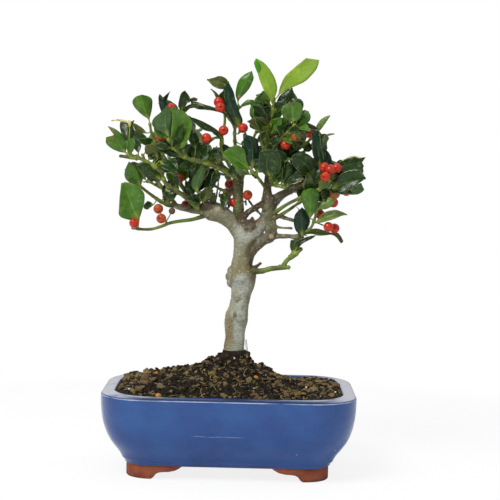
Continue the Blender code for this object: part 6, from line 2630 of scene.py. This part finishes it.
# Sprays set out leaf by leaf. A twig's point is across, down, millimetres behind the trunk, and
# each further twig leaves the first. A leaf is its base across and down, its tip across and
# down, the tip's depth, the width in millimetres, how far it faces up in degrees, and its look.
# A number stands for a leaf of DRAWN_LEAVES. A berry that hangs alone grows on the spray, and is
# its centre across, down and behind.
SPRAYS = {
    "spray_top": dict(
        radii=(1.6, 1.1),
        twigs=[[(266.5, 153, -3), (266.6, 144, -5), (270.5, 126, -7), (273, 110, -8)]],
        leaves=[0, 1, 2, (261.4, 137, 249.6, 126, -8, 6, 50, "CM"), 4, 5],
        berries=[(274.5, 141, -14)]),
    "shoot_young": dict(
        radii=(1.1, 0.9), carrier="spray_top",
        twigs=[[(273.2, 109, -8), (273.8, 103, -8), (274, 100, -8)]],
        leaves=[0, 1]),
    "spray_top_right": dict(
        radii=(1.2, 0.9),
        twigs=[[(268.2, 164, -5), (273, 150, -12), (281, 139, -18), (290, 130, -22),
                (294, 126, -23)]],
        leaves=[0, 1, 2]),
    "spray_upper_right": dict(
        radii=(1.3, 0.9),
        twigs=[[(269, 174, -5), (280, 162, -10), (294, 152, -12), (306, 143.5, -12),
                (315, 134, -12)]],
        leaves=[0, (308, 144, 296, 132, -22, 8.5, 30, "OD"), 2,
                (302, 141, 303, 120, 4, 10, 30, "OM"), (285, 156, 283, 135, 2, 11, 25, "OM"),
                (292, 152, 306, 162, -4, 11, 30, "OD!")],
        berries=[(308, 132.8, -22)]),
    "spray_right_mid": dict(
        radii=(1.4, 1.0),
        twigs=[[(303, 185.5, -10), (309, 182, -14), (318, 176, -18), (326, 170, -20)]],
        leaves=[0, 1, 2, (307, 186, 296, 176, -24, 7, 40, "OD"),
                (321, 180, 325, 199, -24, 8.5, 20, "OD")]),
    "spray_far_right": dict(
        radii=(1.5, 1.0),
        twigs=[[(272.5, 213, -7), (286, 205, -15), (299, 198.5, -21), (314, 192, -26),
                (327, 184.5, -29), (333, 178, -29)]],
        leaves=[0, 1, 2]),
    "spray_right_low": dict(
        radii=(1.4, 0.9),
        twigs=[[(275, 220, -8), (288, 210.5, -12), (301, 201.5, -13), (313, 196, -13),
                (324, 190, -12)]],
        leaves=[(322, 204, 335, 203, -12, 7, 35, "OM"), (327, 186, 344, 176, 2, 11, 25, "OD"),
                (303, 197, 290, 178, 4, 10, 25, "OM"), (312, 196, 322, 180, 4, 11, 25, "OD")],
        berries=[(333.3, 202.6, -22)]),
    "spray_right_bottom": dict(
        radii=(1.2, 0.9),
        twigs=[[(298.5, 235.5, -11), (304, 232.5, -15), (311, 227.5, -20), (314.5, 219.5, -23),
                (316, 213, -24)]],
        leaves=[0, 1, 2, 3, 4],
        berries=[(319.6, 214, -18)]),
    "spray_low_right": dict(
        radii=(2.3, 1.5),
        twigs=[[(254, 273.5, -6), (262, 271, -8), (270, 268.8, -9), (281.5, 267, -10),
                (286.5, 261, -11), (291.5, 256, -12), (293.5, 252.5, -12)], [(279, 267.3, -10),
                (287.8, 267.4, -11)], [(289.5, 258, -12), (295, 254, -12), (300.2, 249.6, -13)]],
        leaves=[0, 1]),
    "spray_centre": dict(
        radii=(1.3, 1.0),
        twigs=[[(266.3, 190, -8), (262, 183, -11), (257, 176.5, -14), (252.5, 172, -16)]],
        leaves=[0, 1, (250, 174.5, 232, 170, -8, 9, 45, "OP")]),
    "spray_centre_right": dict(
        radii=(1.4, 1.0),
        twigs=[[(270.5, 184.5, -8), (275, 185, -12), (280, 186, -15), (284, 187, -16)],
                [(273, 184.8, -10), (270.5, 178.5, -14), (269.5, 174, -16)]],
        leaves=[0, (282.3, 182, 288, 161, -18, 7.5, 30, "LM"), 2]),
    "spray_top_centre": dict(
        radii=(1.5, 1.0),
        twigs=[[(238, 171, 0), (237, 157, -3), (235, 143, -5), (234.8, 130, -6), (236.8, 118, -7),
                (238.2, 107, -8)], [(235, 127, -6), (232, 122, -6), (228, 117, -6)]],
        leaves=[0, 1, 2, 3, (241, 141, 256, 133, 8, 9, 35, "OD"),
                (234, 148, 222, 130, 6, 8, 35, "OD"), (242, 158, 262, 150, 4, 11, 25, "OD")],
        berries=[(243, 128, -18)]),
    "spray_top_left": dict(
        radii=(1.3, 0.9),
        twigs=[[(234.5, 175, 0), (229, 165, -5), (222, 151, -8), (221.5, 138, -9), (224.8, 122, -8),
                (223.8, 107, -6), (223, 96, -6)]],
        leaves=[0, 1, 2, (224, 160, 213, 146, 6, 10, 30, "OD")],
        berries=[(223.6, 130.4, -21), (206.3, 138, -24)]),
    "spray_upper_left": dict(
        radii=(2.1, 1.1),
        twigs=[[(234.3, 178, -4), (224, 170.5, -9), (213.7, 165.5, -13), (202, 161.5, -16),
                (190, 159, -19), (181, 154.5, -22), (174, 147, -24), (169, 140, -25)]],
        leaves=[0, 1, 2, 3, (208, 159, 214, 145, -20, 7, 40, "OD"),
                (178, 150.5, 157.3, 145.3, -14, 8, 45, "OD"),
                (203, 165, 192, 180, -10, 11, 20, "OD"), (216, 170, 222, 184, -12, 10, 25, "OD")]),
    "spray_left_top": dict(
        radii=(1.5, 0.9),
        twigs=[[(195, 208, -1), (185, 191, 6), (172, 170, 4), (160, 150, -2), (152, 134, -5),
                (150, 125, -6)], [(161, 151, -1), (163, 135, -3), (164, 120, -4)]],
        leaves=[0, 1, 2, (156, 141, 138.5, 141, -14, 7, 45, "OM"),
                (167, 122, 176, 107, 8, 11, 20, "OD"), (178, 179, 187, 164, 4, 12, 20, "OD")],
        berries=[(171, 108, 6), (160.6, 137, -14), (179.5, 178, -4)]),
    "spray_left_tip": dict(
        radii=(2.0, 1.1),
        twigs=[[(198.5, 209.5, -8), (193.9, 204.6, -11), (181, 193.8, -15), (167, 184.5, -19),
                (160.3, 173, -21), (152.4, 165, -23), (141.5, 159.1, -25), (135.6, 157, -26),
                (128.5, 154, -26)], [(137, 157.5, -26), (129, 157, -25), (121.7, 156.2, -24)]],
        leaves=[0, 1, 2, (140, 153, 140, 138, -16, 7, 25, "OD"), 4, 5, 6,
                (166, 190, 173, 200, -22, 9, 25, "OD")]),
    "spray_left_low": dict(
        radii=(1.5, 1.0),
        twigs=[[(205, 218.5, -6), (193, 219.3, -9), (181, 221, -12), (170, 223, -15),
                (161, 226.5, -17), (152, 229, -18), (143, 229.3, -19), (134, 228.3, -19)]],
        leaves=[0],
        berries=[(134.2, 223, -25)]),
    "spray_left_mid": dict(
        radii=(1.5, 1.0),
        twigs=[[(171.5, 205.5, -7), (164.2, 203.5, -10), (152.4, 195.7, -14), (143, 188.5, -17),
                (140, 186, -18)]],
        leaves=[0, (153.4, 204.6, 143.5, 207, -6, 7, 30, "OD!"),
                (164, 197, 173, 179, 0, 11, 20, "OD!")]),
    "spray_inner_left": dict(
        radii=(1.4, 1.0),
        twigs=[[(213, 210, -4), (208, 204.5, -7), (203, 198, -10), (200, 193, -12)]],
        leaves=[0, 1, 2, (204, 202, 215, 193, -15, 8, 40, "OD")]),
    "spray_inner_centre": dict(
        radii=(1.2, 0.9),
        twigs=[[(233.3, 196, 1), (227, 192, -1), (220, 189, -1), (215, 186, 0)]],
        leaves=[(219, 194, 227, 203, -8, 7.5, 40, "OD"), (226, 188, 231, 173, -8, 8, 20, "OD"),
                (214, 181, 205, 168, 6, 11, 20, "OD")],
        berries=[(233.5, 202.5, 8)]),
}

# Sprays whose leaves stand round the twig by rule: the leaves' count, length and width in
# millimetres, the way they lean, and the seed of their small differences
RULED_SPRAYS = {
    "spray_fill_left": dict(
        radii=(1.4, 0.9), count=6, size=(24, 12.5), lean=(-0.1, -0.2, 0.5), seed=21,
        twigs=[[(189, 208.5, -1), (191, 199, 9), (191, 187, 14), (191, 172, 18),
                (195, 160, 20)]]),
    "spray_fill_left_outer": dict(
        radii=(1.4, 0.9), count=6, size=(23, 12), lean=(-0.3, -0.2, 0.4), seed=22,
        twigs=[[(177, 206, -3), (168, 195, 5), (158, 182, 8), (149, 169, 10), (143, 156, 10)]]),
    "spray_fill_centre": dict(
        radii=(1.4, 0.9), count=6, size=(23, 12), lean=(0.2, -0.2, 0.4), seed=23,
        twigs=[[(240, 184, 5), (245, 171, 10), (250, 157, 16), (252, 143, 18)]]),
    "spray_fill_right": dict(
        radii=(1.4, 0.9), count=6, size=(23, 12), lean=(0.1, -0.2, 0.4), seed=24,
        twigs=[[(290, 188, -2), (294, 177, 4), (299, 165, 10), (304, 152, 14)]]),
    "spray_fill_right_outer": dict(
        radii=(1.3, 0.9), count=5, size=(22, 11.5), lean=(0.4, -0.1, 0.2), seed=25,
        twigs=[[(300, 183.5, -5), (312, 179, 0), (324, 173, 4), (335, 167, 6)]]),
    "spray_fill_top": dict(
        radii=(1.3, 0.9), count=6, size=(21, 11), lean=(0.0, 0.0, 0.4), seed=26,
        twigs=[[(266, 157, 0), (262, 145, 6), (261, 130, 8), (263, 116, 8)]]),
    "spray_back_left": dict(
        radii=(1.4, 0.9), count=5, size=(25, 13), lean=(-0.2, 0.9, 0.35), seed=11,
        twigs=[[(179, 182.5, 35), (172, 170, 39), (164, 157, 43), (158, 148, 44)]]),
    "spray_back_left_low": dict(
        radii=(1.3, 0.9), count=4, size=(24, 12), lean=(-0.4, 0.8, 0.3), seed=12,
        twigs=[[(187, 195, 24), (175, 193, 29), (161, 188, 34), (150, 182, 37)]]),
    "spray_back_centre": dict(
        radii=(1.4, 0.9), count=5, size=(25, 13), lean=(-0.1, 0.9, 0.3), seed=13,
        twigs=[[(220, 161, 40), (212, 153, 44), (203, 147, 47), (195, 142, 49)]]),
    "spray_back_top": dict(
        radii=(1.5, 0.9), count=6, size=(24, 12), lean=(0.1, 0.9, 0.4), seed=14,
        twigs=[[(227.5, 172.5, 29), (240, 160, 34), (250, 146, 38), (256, 132, 39)]]),
    "spray_back_right": dict(
        radii=(1.4, 0.9), count=5, size=(25, 13), lean=(0.3, 0.9, 0.3), seed=15,
        twigs=[[(301, 177.5, 36), (310, 169, 41), (318, 163, 44), (325, 158, 46)]]),
    "spray_back_right_low": dict(
        radii=(1.3, 0.9), count=4, size=(24, 12), lean=(0.4, 0.8, 0.2), seed=16,
        twigs=[[(290, 192, 25), (303, 191, 31), (318, 189, 35), (331, 186, 38)]]),
    "spray_back_upper_right": dict(
        radii=(1.4, 0.9), count=5, size=(24, 12), lean=(0.2, 0.8, 0.4), seed=17,
        twigs=[[(268.5, 163, 0), (274, 150, 12), (282, 138, 22), (289, 128, 28)]]),
    "spray_back_upper_left": dict(
        radii=(1.4, 0.9), count=5, size=(24, 12), lean=(-0.2, 0.7, 0.4), seed=18,
        twigs=[[(235, 177, 4), (222, 165, 10), (206, 152, 16), (194, 138, 20),
                (186, 124, 20)]]),
}

# Berry bunches: each berry's centre across, down and millimetres behind the trunk
BUNCHES = {
    "berries_top_left": [(218.6, 102, -14), (220.2, 107.4, -21.5)],
    "berries_left_low": [(158.3, 208.8, -19), (161.3, 218.6, -26), (172, 211, -20)],
    "berries_left_limb": [(186, 205, 4), (194.5, 199, 0)],
    "berries_inner": [(229.5, 184.4, 8), (227.4, 192.5, 12)],
    "berries_centre_right": [(247.6, 195, -8), (238.5, 203, 8)],
    "berries_upper_right": [(285.5, 145, -22), (296.3, 136.5, -29)],
    "berries_right_cluster": [(324.4, 167.5, -31), (330.2, 169.6, -40), (336.6, 168.2, -32),
                              (325.2, 177, -40)],
    "berries_far_right": [(346.5, 191, -30), (335, 194, -24)],
    "berries_right_bottom": [(328.4, 227, -26), (334.6, 228.4, -20)],
}

# Leaves whose outlines were drawn on the front view, by spray. Each has its tone, the depth of
# its tip, then its left edge, its right edge and its rib as across,down pairs from base to tip;
# the last two leave out the base, and a leaf without a rib has it midway. A last entry says
# where a cream margin runs: the side, and the shares of the length between which it lies.
# A number stands for a packed leaf, and a letter for one beside those.
DRAWN_LEAVES = {
    "spray_left_tip": {
        0: ("M", -31, "125.5,152.5 118,151.5 111,148 106,143.5 105.8,137.3",
            "126.3,144 122.5,135.5 115.5,129.3 107.5,126.3", "120,146 116.5,140.5 113.8,134.8"),
        1: ("D", -18, "128,151 124.5,141 121,132 119.8,126 120.5,121.5",
            "131.5,141 134.5,132 133,126 134.5,120", "127.5,141 127.5,132 127.5,123"),
        2: ("M", -33, "130.5,155.5 127.3,151 126.6,146 128.5,141 131.8,138.3",
            "133,151 134.9,146 134.6,141.5 131.8,138.3"),
        4: ("D", -33, "159.5,161 164.5,157.8 170,160 175,164.5 179.5,174",
            "160.3,167 162.5,172 170,172.8 179.5,174", "164,165 169.5,168 179.5,174"),
        5: ("O", -31, "158,158 152.5,154.3 146.5,154.3 144.7,150 145.3,145.5",
            "158.5,151.5 156.5,146.3 151,144.2 145.3,145.5"),
        6: ("D", -28, "161,180 152,181 146,177 141,171 136.5,165",
            "160,172.5 152,165 143.5,163 136.5,165"),
        "a": ("C", -27, "129.5,127.5 127.5,122.8 121,121.6 116,120.3 111.3,120.9",
              "131,124 130.5,120.8 126,120.6 120.5,119.4 111.3,120.7"),
        "b": ("K", -20, "137,158.5 131,158.6 126,156.8 121.5,155.5",
              "130,156 126,155.3 121.5,155.5")},
    "spray_left_top": {
        0: ("M", -11, "149,119.5 141,113.8 134.3,106.8 132.6,101 136.3,96.4 142.5,94.8",
            "151.3,112 152.2,105 152,99.5 148.3,96.3 142.5,94.8"),
        1: ("T", -9, "164,116 160.2,109 158.8,102 158.5,97 159.8,94",
            "167.8,109 167.3,102.5 167.5,98 170.3,91.2", "164,109 163,103 163.2,97.3"),
        2: ("O", -6, "146.5,133 141,133.2 137,131.8 134.2,128.5 133,124",
            "144,129.5 139.5,126 136,124 133,123")},
    "spray_left_mid": {
        "a": ("D", -10, "167,205 162.8,199 163.5,192 167,185 170,179.8",
              "172,200 176.5,193 177.3,184 170,179.8"),
        0: ("M", -23, "140,187 131,183.5 125.3,178 125,170 128.8,162",
            "142.8,179 140.5,173 136.5,166.5 128.8,162", "137.5,176 135,168 128.8,162")},
    "spray_left_low": {
        0: ("M", -27, "139,220 130,220 119.5,216 119.2,206 120,194 121.3,183",
            "142,211 144.2,203 143.8,192.5 134.5,184.5 125,182",
            "134,211 131,203 128.5,196 126,189 123,182.6")},
    "spray_upper_left": {
        0: ("G", -35, "168.5,136.5 158.5,131.5 152.3,125 153.5,118.5 161,112 167,106",
            "171,130 172.3,122 172.5,114.5 170.5,109 167,106",
            "166,129 165,122 165.5,116 167,106"),
        1: ("B", -28, "174,150 171,140 171.5,128 172.6,117 169.5,110.5 172,107.3",
            "184,146.5 190,134 191.6,122.5 184,111.5 172,107.3",
            "178,138 183,127 181,118 177,111.5 172,107.3"),
        2: ("D", -33, "174,148 175.5,138 178,128 181,124 184,124",
            "178,147 181,140 183.5,130 184,124"),
        3: ("D", -8, "191,160 187.5,154 189,147 193,142.5 197.5,142",
            "203,160.5 208.8,156.5 204.5,148.5 197.5,142"),
        "a": ("D", -30, "182,112 178.4,106.5 179.4,98.5 181.5,92.8 185,90.8",
              "184.8,107.5 188,102 190,97.5 185,90.8"),
        "b": ("K", -31, "186,103.5 189.5,99.3 192,97.8 195,97.4 197.5,98.5",
              "190.5,101.4 193.5,101 196,101 197.5,99.6", "L 0.2 1.0"),
        "c": ("D", -22, "183,158 172,157 163,152.5 159,150.5",
              "178,151 171,148 164,147.5 159,149.5"),
        "d": ("D", -26, "172,148 164,149.5 158,148 155,145", "166,144 160,143 155,144.5"),
        "e": ("O", -28, "183,113 184,108.5 188.5,105 196,103.8 199,106",
              "186,112 190,108.5 194,107.8 199,109")},
    "spray_low_right": {
        0: ("G", -13, "293,254 290.5,249 290,244 291,240", "294,250 296,245 296,240.5 291,240"),
        1: ("D", -16, "295,252 294.5,246 296,241 302,239 308,236.5 315.5,235.5",
            "298,249 301.5,244.5 308,240.5 313,238 315.5,235.5")},
    "spray_top_centre": {
        0: ("M", -14, "238,101 235.6,95 236.6,87 239.4,79.2 245.5,74 251.8,71.2",
            "243,95.5 248.9,89 252.4,82 253.6,77 251.8,71.2"),
        1: ("M", -10, "238.5,109 243,103 247.5,100 252,99.7 256,101",
            "243,106.5 248.5,105 252.5,103.5 256,101"),
        2: ("T", -18, "239.5,127.5 231.5,121 226.5,110 223,100 223,90.5 228,81",
            "242.7,121 239,110.5 235.5,100 233,90.5 228,81"),
        3: ("D", -4, "231,117.5 224,114 215,111 205,109.8 197.5,109 191.5,106",
            "224,111.5 215,107.8 205,104.6 197,101.6 190.5,101.3",
            "224,112.5 215,109.5 205,107 191,103.5", "R 0.55 0.95")},
    "spray_top_left": {
        0: ("O", -8, "228,86 224.5,88.8 218.5,88.6 212.5,85.5 207,79.5",
            "227,79.5 220.5,76 213.5,77.8 207,79.5"),
        1: ("O", -1, "221,101 217,99 215,95.8 213.5,92.5 210.8,88.9",
            "220.5,97.5 217.5,93.8 214.5,91 210.8,88.9"),
        2: ("D", -19, "223.5,144 219,138.5 212.5,132.5 204,130 196,124 188.3,116.5",
            "223.4,137.5 217,129.8 206.5,123.4 197,119 188.3,116.5")},
    "shoot_young": {
        0: ("Y", -14, "272,103 265.5,93.5 260,81 257.2,72 254,63 256.3,58.6",
            "277,91 275.8,81 271.2,71.5 264,62.8 256.3,58.6",
            "269.5,92 266,81 261.5,71 256.3,58.6"),
        1: ("Y", -20, "278,96 280.2,86 285,75.5 294,66.5 302,59.5 306,56",
            "286,90 297.5,84.3 306,79.5 316.5,67.5 319.3,58",
            "284,85 291.5,76.5 299.5,70 308,63 313,57"),
        "a": ("F", -17, "261.5,81.5 257.3,72.5 254.0,63 256.3,58.9",
              "261.3,76 260.7,68 258.7,62 256.3,58.9")},
    "spray_top": {
        0: ("M", -10, "263,119 256,119.5 250.3,116 250,109 252.5,103.3",
            "264,113 263,107.5 259,104 252.5,103.3"),
        1: ("M", -17, "268,104 260,103 254.6,100 258.5,95.3 263.4,90.7",
            "270,100.5 267.5,96.3 265.5,92.8 263.4,90.7"),
        2: ("O", -18, "270,126.5 264,131.5 257,130 252,125.5 247.3,121.3",
            "268,120.5 261,117 254,118.3 247.3,121.3"),
        4: ("D", -6, "279,113 276,106 279,97 285,91.3 292,87.8",
            "288,108.5 297,102.5 295,96 292,87.8"),
        5: ("M", -19, "279,135 273.5,130 273,123 276,119 281,117.5",
            "286,131 288.5,125 286.5,120 281,117.5")},
    "spray_top_right": {
        0: ("B", -28, "293.5,122 286,119.5 281.5,113 283.5,106 293,101.8",
            "300,118.5 302.8,110 300,103.5 293,101.8"),
        1: ("M", -20, "299,124.5 301,118 302,112 305,110 308.5,111.5",
            "305,124 309.5,121 310.5,116 308.5,111.5"),
        2: ("O", -12, "292,130 299,124.5 306,122.8 312,124.5 318.5,128.8",
            "300,131.5 307,130.5 312,129 318.5,128.8"),
        "a": ("D", -20, "301,113 296,108 290,104.5 289,101 294,98",
              "303,108 303.3,103 300.5,99.3 294,98"),
        "b": ("O", -38, "289,141 289,136.5 292,132.5 298,131.5 302.5,134.5",
              "294,141 299.5,139.5 303,137.5 302.5,134.5"),
        "c": ("D", -24, "269.5,143.5 271,139 274,136.8 278.5,137",
              "273,145 277,144.5 280,141.5 278.5,137")},
    "spray_upper_right": {
        0: ("P", -14, "318.5,131 316.3,126.5 319.3,121.5 323.5,117.5 330,115.5",
            "321.5,128.7 324.7,124.2 327.8,119.8 330,115.5"),
        2: ("O", -8, "321.3,148 320.8,143 320.3,138.5 321.5,134.3 325.3,133.9",
            "325.2,144.8 327.8,141 328.7,137.6 325.3,133.9")},
    "spray_right_mid": {
        0: ("T", -26, "318.5,169.5 315,161 312.4,152 312.2,143 311.5,135 310.3,128.8",
            "323.5,161 322.3,151 320.6,142 319.8,134 319.3,129.2",
            "319.3,160 317.8,150 316.8,142 315.5,129"),
        1: ("T", -21, "330.3,167.5 328.4,163 326.7,158 325.3,153 324.2,148.3",
            "332,163.5 331.4,158 328.8,152.5 324.2,148.3"),
        2: ("D", -31, "313.5,178 306,176.5 298,170.5 292.5,163.5 292,156.5",
            "316,168 313,158.5 306,153.3 298,152.8 292,156.5")},
    "spray_far_right": {
        0: ("D", -24, "335,169 337,163.5 344,159 353.5,155.6 360,157.3 365.6,157.2",
            "343,172 352,171.5 360.5,170 364,166.2", "344,166 352,164.5 358,163.5 362,162.5",
            "L 0.3 0.95"),
        1: ("D", -40, "330.5,189 336,179.5 345,171.8 355,169.3 361.5,171.5 365.8,178.5",
            "335,194 342.5,193.5 350.5,189.5 357.5,184.3 365.8,178.5",
            "338,186 346,182.5 354,180 365.8,178.5"),
        2: ("G", -18, "345,194 350,190 354.5,186.3 361.3,182.8",
            "351,194.7 357.5,194.3 362.3,192 364,189.3", "352,192 358,189.5 362.8,187")},
    "spray_right_bottom": {
        0: ("B", -33, "310,218.5 306,211.5 302.5,203 301,195.5 304.5,190 311.5,188",
            "314.5,212 317.5,204.5 319.2,197 318,191 311.5,188"),
        1: ("P", -26, "315,213 316,205.5 321,200.5 328.5,196.3 337.8,196.8",
            "319.5,209.5 326,209 332.5,205.5 337.8,196.8"),
        2: ("P", -27, "315.5,223 319.5,217 326,211.6 335,210 341.5,211.6 347.3,214.7",
            "321,222.7 328,220.7 334.5,218.8 341,216 347.3,214.7"),
        3: ("T", -24, "302,236.5 295.8,230.5 293.8,222 295,214.8 298.8,209.8 296.2,206.8",
            "307.5,228.5 310,220.5 306.5,211.8 301.8,207.2",
            "302,227 301.5,218 300.8,212 299.8,209.6"),
        4: ("O", -15, "303.5,235 309,230 316,228.6 323,230 331,232.8 338.5,233.2 343.5,241.5",
            "311,233.8 318,235.6 325.5,235.2 332,234.8 337,238 341,243.5")},
    "spray_centre": {
        0: ("M", -27, "250.5,169.5 241,169.5 234,166 228.5,160.5 222.5,155",
            "246.5,160 244.3,150 237,145 229,148.3 222.3,153",
            "243,164 236,159 229,155.5 222.4,154"),
        1: ("T", -22, "252,169 245.5,160 243.9,150 243.5,141 243,134",
            "259,160 259,152 258,143 255.5,137.8 243,134",
            "252.5,158 252,148 250,140 243.5,134.5")},
    "spray_centre_right": {
        0: ("D", -28, "269.5,177 263.5,173.5 259.5,167 259,159 260.5,151.5 270,149.6",
            "277,173 281,166 280,157 277,151.5 272,149.6",
            "267,169 266.5,161 268.8,155 271,150"),
        2: ("D", -23, "285.5,188 286,181.5 291,176 297,171.6 304,174.5",
            "290,184.5 296,183.3 302,180 307.5,177.2", "290,182 296,178.5 305.5,176",
            "R 0.05 0.9"),
        "a": ("D", -22, "289.5,164 283,163 277,161 273,157 271.5,152",
              "287.5,158 284,152.5 278,150 271.5,152"),
        "b": ("M", -30, "279,178 278.6,171 277,166 274.5,162.5 273.2,160.2",
              "281.2,171 280.5,165.5 277,161.5 273.2,160.2", "280,171 278.5,165.5 273.2,160.2",
              "L 0.2 0.9"),
        "c": ("D", -24, "281,184 281,176 282.5,170 285.5,166 288.5,163",
              "287,180 292.5,174.5 293.5,168.5 288.5,163", "284.5,179 288,171 288.5,163",
              "L 0.1 0.9")},
    "spray_inner_left": {
        0: ("G", -19, "197.5,193 193,189 191.3,182 194.5,174.5 198,169.5 202,166.3",
            "200,187.5 203.5,180 205.8,173 205.3,168 202,166.3"),
        2: ("D", -6, "206.5,193 205,186 205.5,178 208,171 212,168.5",
            "213.5,187.5 217,180 216,173 212,168.5"),
        1: ("D", -12, "191,198 188,193 185,187 185.5,180", "195,192 192,186 185.5,180"),
        "a": ("O", -17, "203,203 200.5,198 201,192 206,188", "209,200 213,195 212,190 206,188")},
}


@dataclass
class Studio:
    """Pale floor, soft daylight and the camera of the front view."""

    floor_finish: Material
    floor_radius: float = 9.0
    floor_drop: float = 0.05 * MM
    aim_height: float = 160 * MM
    room_strength: float = 0.55
    # Each lamp's place, its power in watts and the side of its square
    lamps: tuple = (("key", (-0.55, -0.75, 1.15), 15.0, 0.55),
                    ("fill", (0.95, -0.65, 0.75), 2.6, 1.1),
                    ("top", (0.1, 0.5, 1.3), 2.6, 1.0))

    def lamp(self, name: str, place: tuple, power: float, size: float) -> None:
        """Hangs one soft lamp that shines on the tree.

        Args:
            name: the lamp's name.
            place: where it hangs.
            power: its strength in watts.
            size: the side of its square.
        """
        light = bpy.data.lights.new(name, "AREA")
        light.energy = power
        light.size = size
        lamp = helper_object(name, light)
        toward = POT_ORIGIN + Vector((0, 0, self.aim_height)) - Vector(place)
        lamp.rotation_euler = toward.to_track_quat("-Z", "Y").to_euler()
        lamp.location = place

    def sky(self) -> None:
        """A pale room, bright above and behind, and white where the camera looks past the floor."""
        world = bpy.data.worlds.new("room")
        world.use_nodes = True
        bpy.context.scene.world = world
        sheet = NodeSheet(world.node_tree)
        way = sheet.add("ShaderNodeTexCoord").outputs["Generated"]
        axes = sheet.parts(way)
        behind = sheet.band(axes[1], -0.45, 0.40)
        tone = sheet.mix(behind, (0.10, 0.11, 0.13), (1.0, 1.0, 1.0))
        tone = sheet.mix(sheet.band(axes[2], 0.25, 0.9), tone, (0.95, 0.98, 1.0))
        room = world.node_tree.nodes["Background"]
        sheet.tree.links.new(tone, room.inputs["Color"])
        room.inputs["Strength"].default_value = self.room_strength
        plain = sheet.add("ShaderNodeBackground", {"Color": (1.0, 1.0, 1.0), "Strength": 1.0})
        seen = sheet.add("ShaderNodeLightPath").outputs["Is Camera Ray"]
        both = sheet.add("ShaderNodeMixShader", {0: seen, 1: room.outputs[0], 2: plain.outputs[0]})
        sheet.tree.links.new(both.outputs[0], world.node_tree.nodes["World Output"].inputs[0])

    def build(self) -> None:
        """Sets up floor, light, colour and camera."""
        shape = bmesh.new()
        bmesh.ops.create_circle(shape, cap_ends=True, segments=96, radius=self.floor_radius)
        bmesh.ops.translate(shape, verts=shape.verts, vec=(0, 0, -self.floor_drop))
        floor = helper_mesh("floor", shape)
        floor.data.materials.append(self.floor_finish)
        for name, place, power, size in self.lamps:
            self.lamp(name, place, power, size)
        self.sky()
        camera = bpy.data.cameras.new("camera")
        camera.sensor_width = VIEW.sensor
        camera.lens = VIEW.lens()
        camera.clip_start = 0.01
        viewer = helper_object("camera", camera)
        viewer.matrix_world = VIEW.camera_matrix(POT_ORIGIN)
        bpy.context.scene.camera = viewer
        bpy.context.scene.view_settings.view_transform = "Standard"


# How many lesser leaves each spray gets at most, and how many where nothing is said
SMALL_LEAVES = {"shoot_young": 0, "spray_left_low": 0, "spray_low_right": 2,
                "spray_left_mid": 0, "spray_back_left_low": 3, "spray_fill_left_outer": 4,
                "spray_inner_left": 2, "spray_inner_centre": 1, "spray_centre": 1,
                "spray_right_bottom": 1, "spray_back_right_low": 5}
SMALL_LEAVES_USUAL = 8


def build_tree() -> None:
    """Builds the trunk, every spray and every bunch of berries."""
    bark = BarkFinish().build()
    trunk = Trunk(bark)
    trunk.build()
    limbs = list(trunk.routes().values())
    cutter = LeafCutter()
    leaf = LeafFinish().build()
    young = LeafFinish(name="young_leaf", rib="8fa545", rim="8fa545", under="7f9a50",
                       rib_share=0.3, gloss_low=0.5, gloss_high=0.6, patchy=0.3,
                       depth=0.05 * MM).build()
    twig = TwigFinish().build()
    berry = BerryFinish().build()
    wood = cad_tree("trunk")
    for name, plan in {**SPRAYS, **RULED_SPRAYS}.items():
        carrier = cad_tree(plan["carrier"]) if "carrier" in plan else wood
        spray = Spray(name, plan, carrier, [] if "carrier" in plan else limbs)
        spray.set_out()
        spray.add_small_leaves(SMALL_LEAVES.get(name, SMALL_LEAVES_USUAL))
        spray.build(cutter, young if name == "shoot_young" else leaf, twig, berry)
    for name, places in BUNCHES.items():
        BerryBunch(name, places).build(berry, twig)


def main() -> None:
    """Builds every piece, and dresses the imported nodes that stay."""
    pot = Pot(GlazeFinish().build(), TerracottaFinish().build())
    pot.build_body()
    pot.build_feet()
    finishes = (EarthFinish("humus", ("120d09", "1f1710", "2b2418", "3a2f1f"), "0d0906", 420,
                            0.5 * MM),
                EarthFinish("stone", ("3a3020", "6b5c3c", "86703f", "7d5f43", "655f4c",
                                      "97834f", "54452a"), "3a3024", 700, 0.2 * MM),
                PlainFinish("perlite", "d9d5c9", "b3ad9b", 500, (0.7, 0.9)),
                PlainFinish("straw", "b09c6c", "75633f", 300, (0.6, 0.85)),
                PlainFinish("pellet", "c8801c", "ad6516", 260, (0.35, 0.55)))
    SoilBed({finish.name: finish.build() for finish in finishes}).build()
    plastic = PlainFinish("screen_plastic", "15161a", "24262b", 500, (0.4, 0.6)).build()
    for name in ("drain_screen_left", "drain_screen_right"):
        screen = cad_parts[name]
        screen.data.materials.clear()
        screen.data.materials.append(plastic)
    build_tree()
    floor = FloorFinish().build()
    Studio(floor).build()


if __name__ == "__main__":
    main()
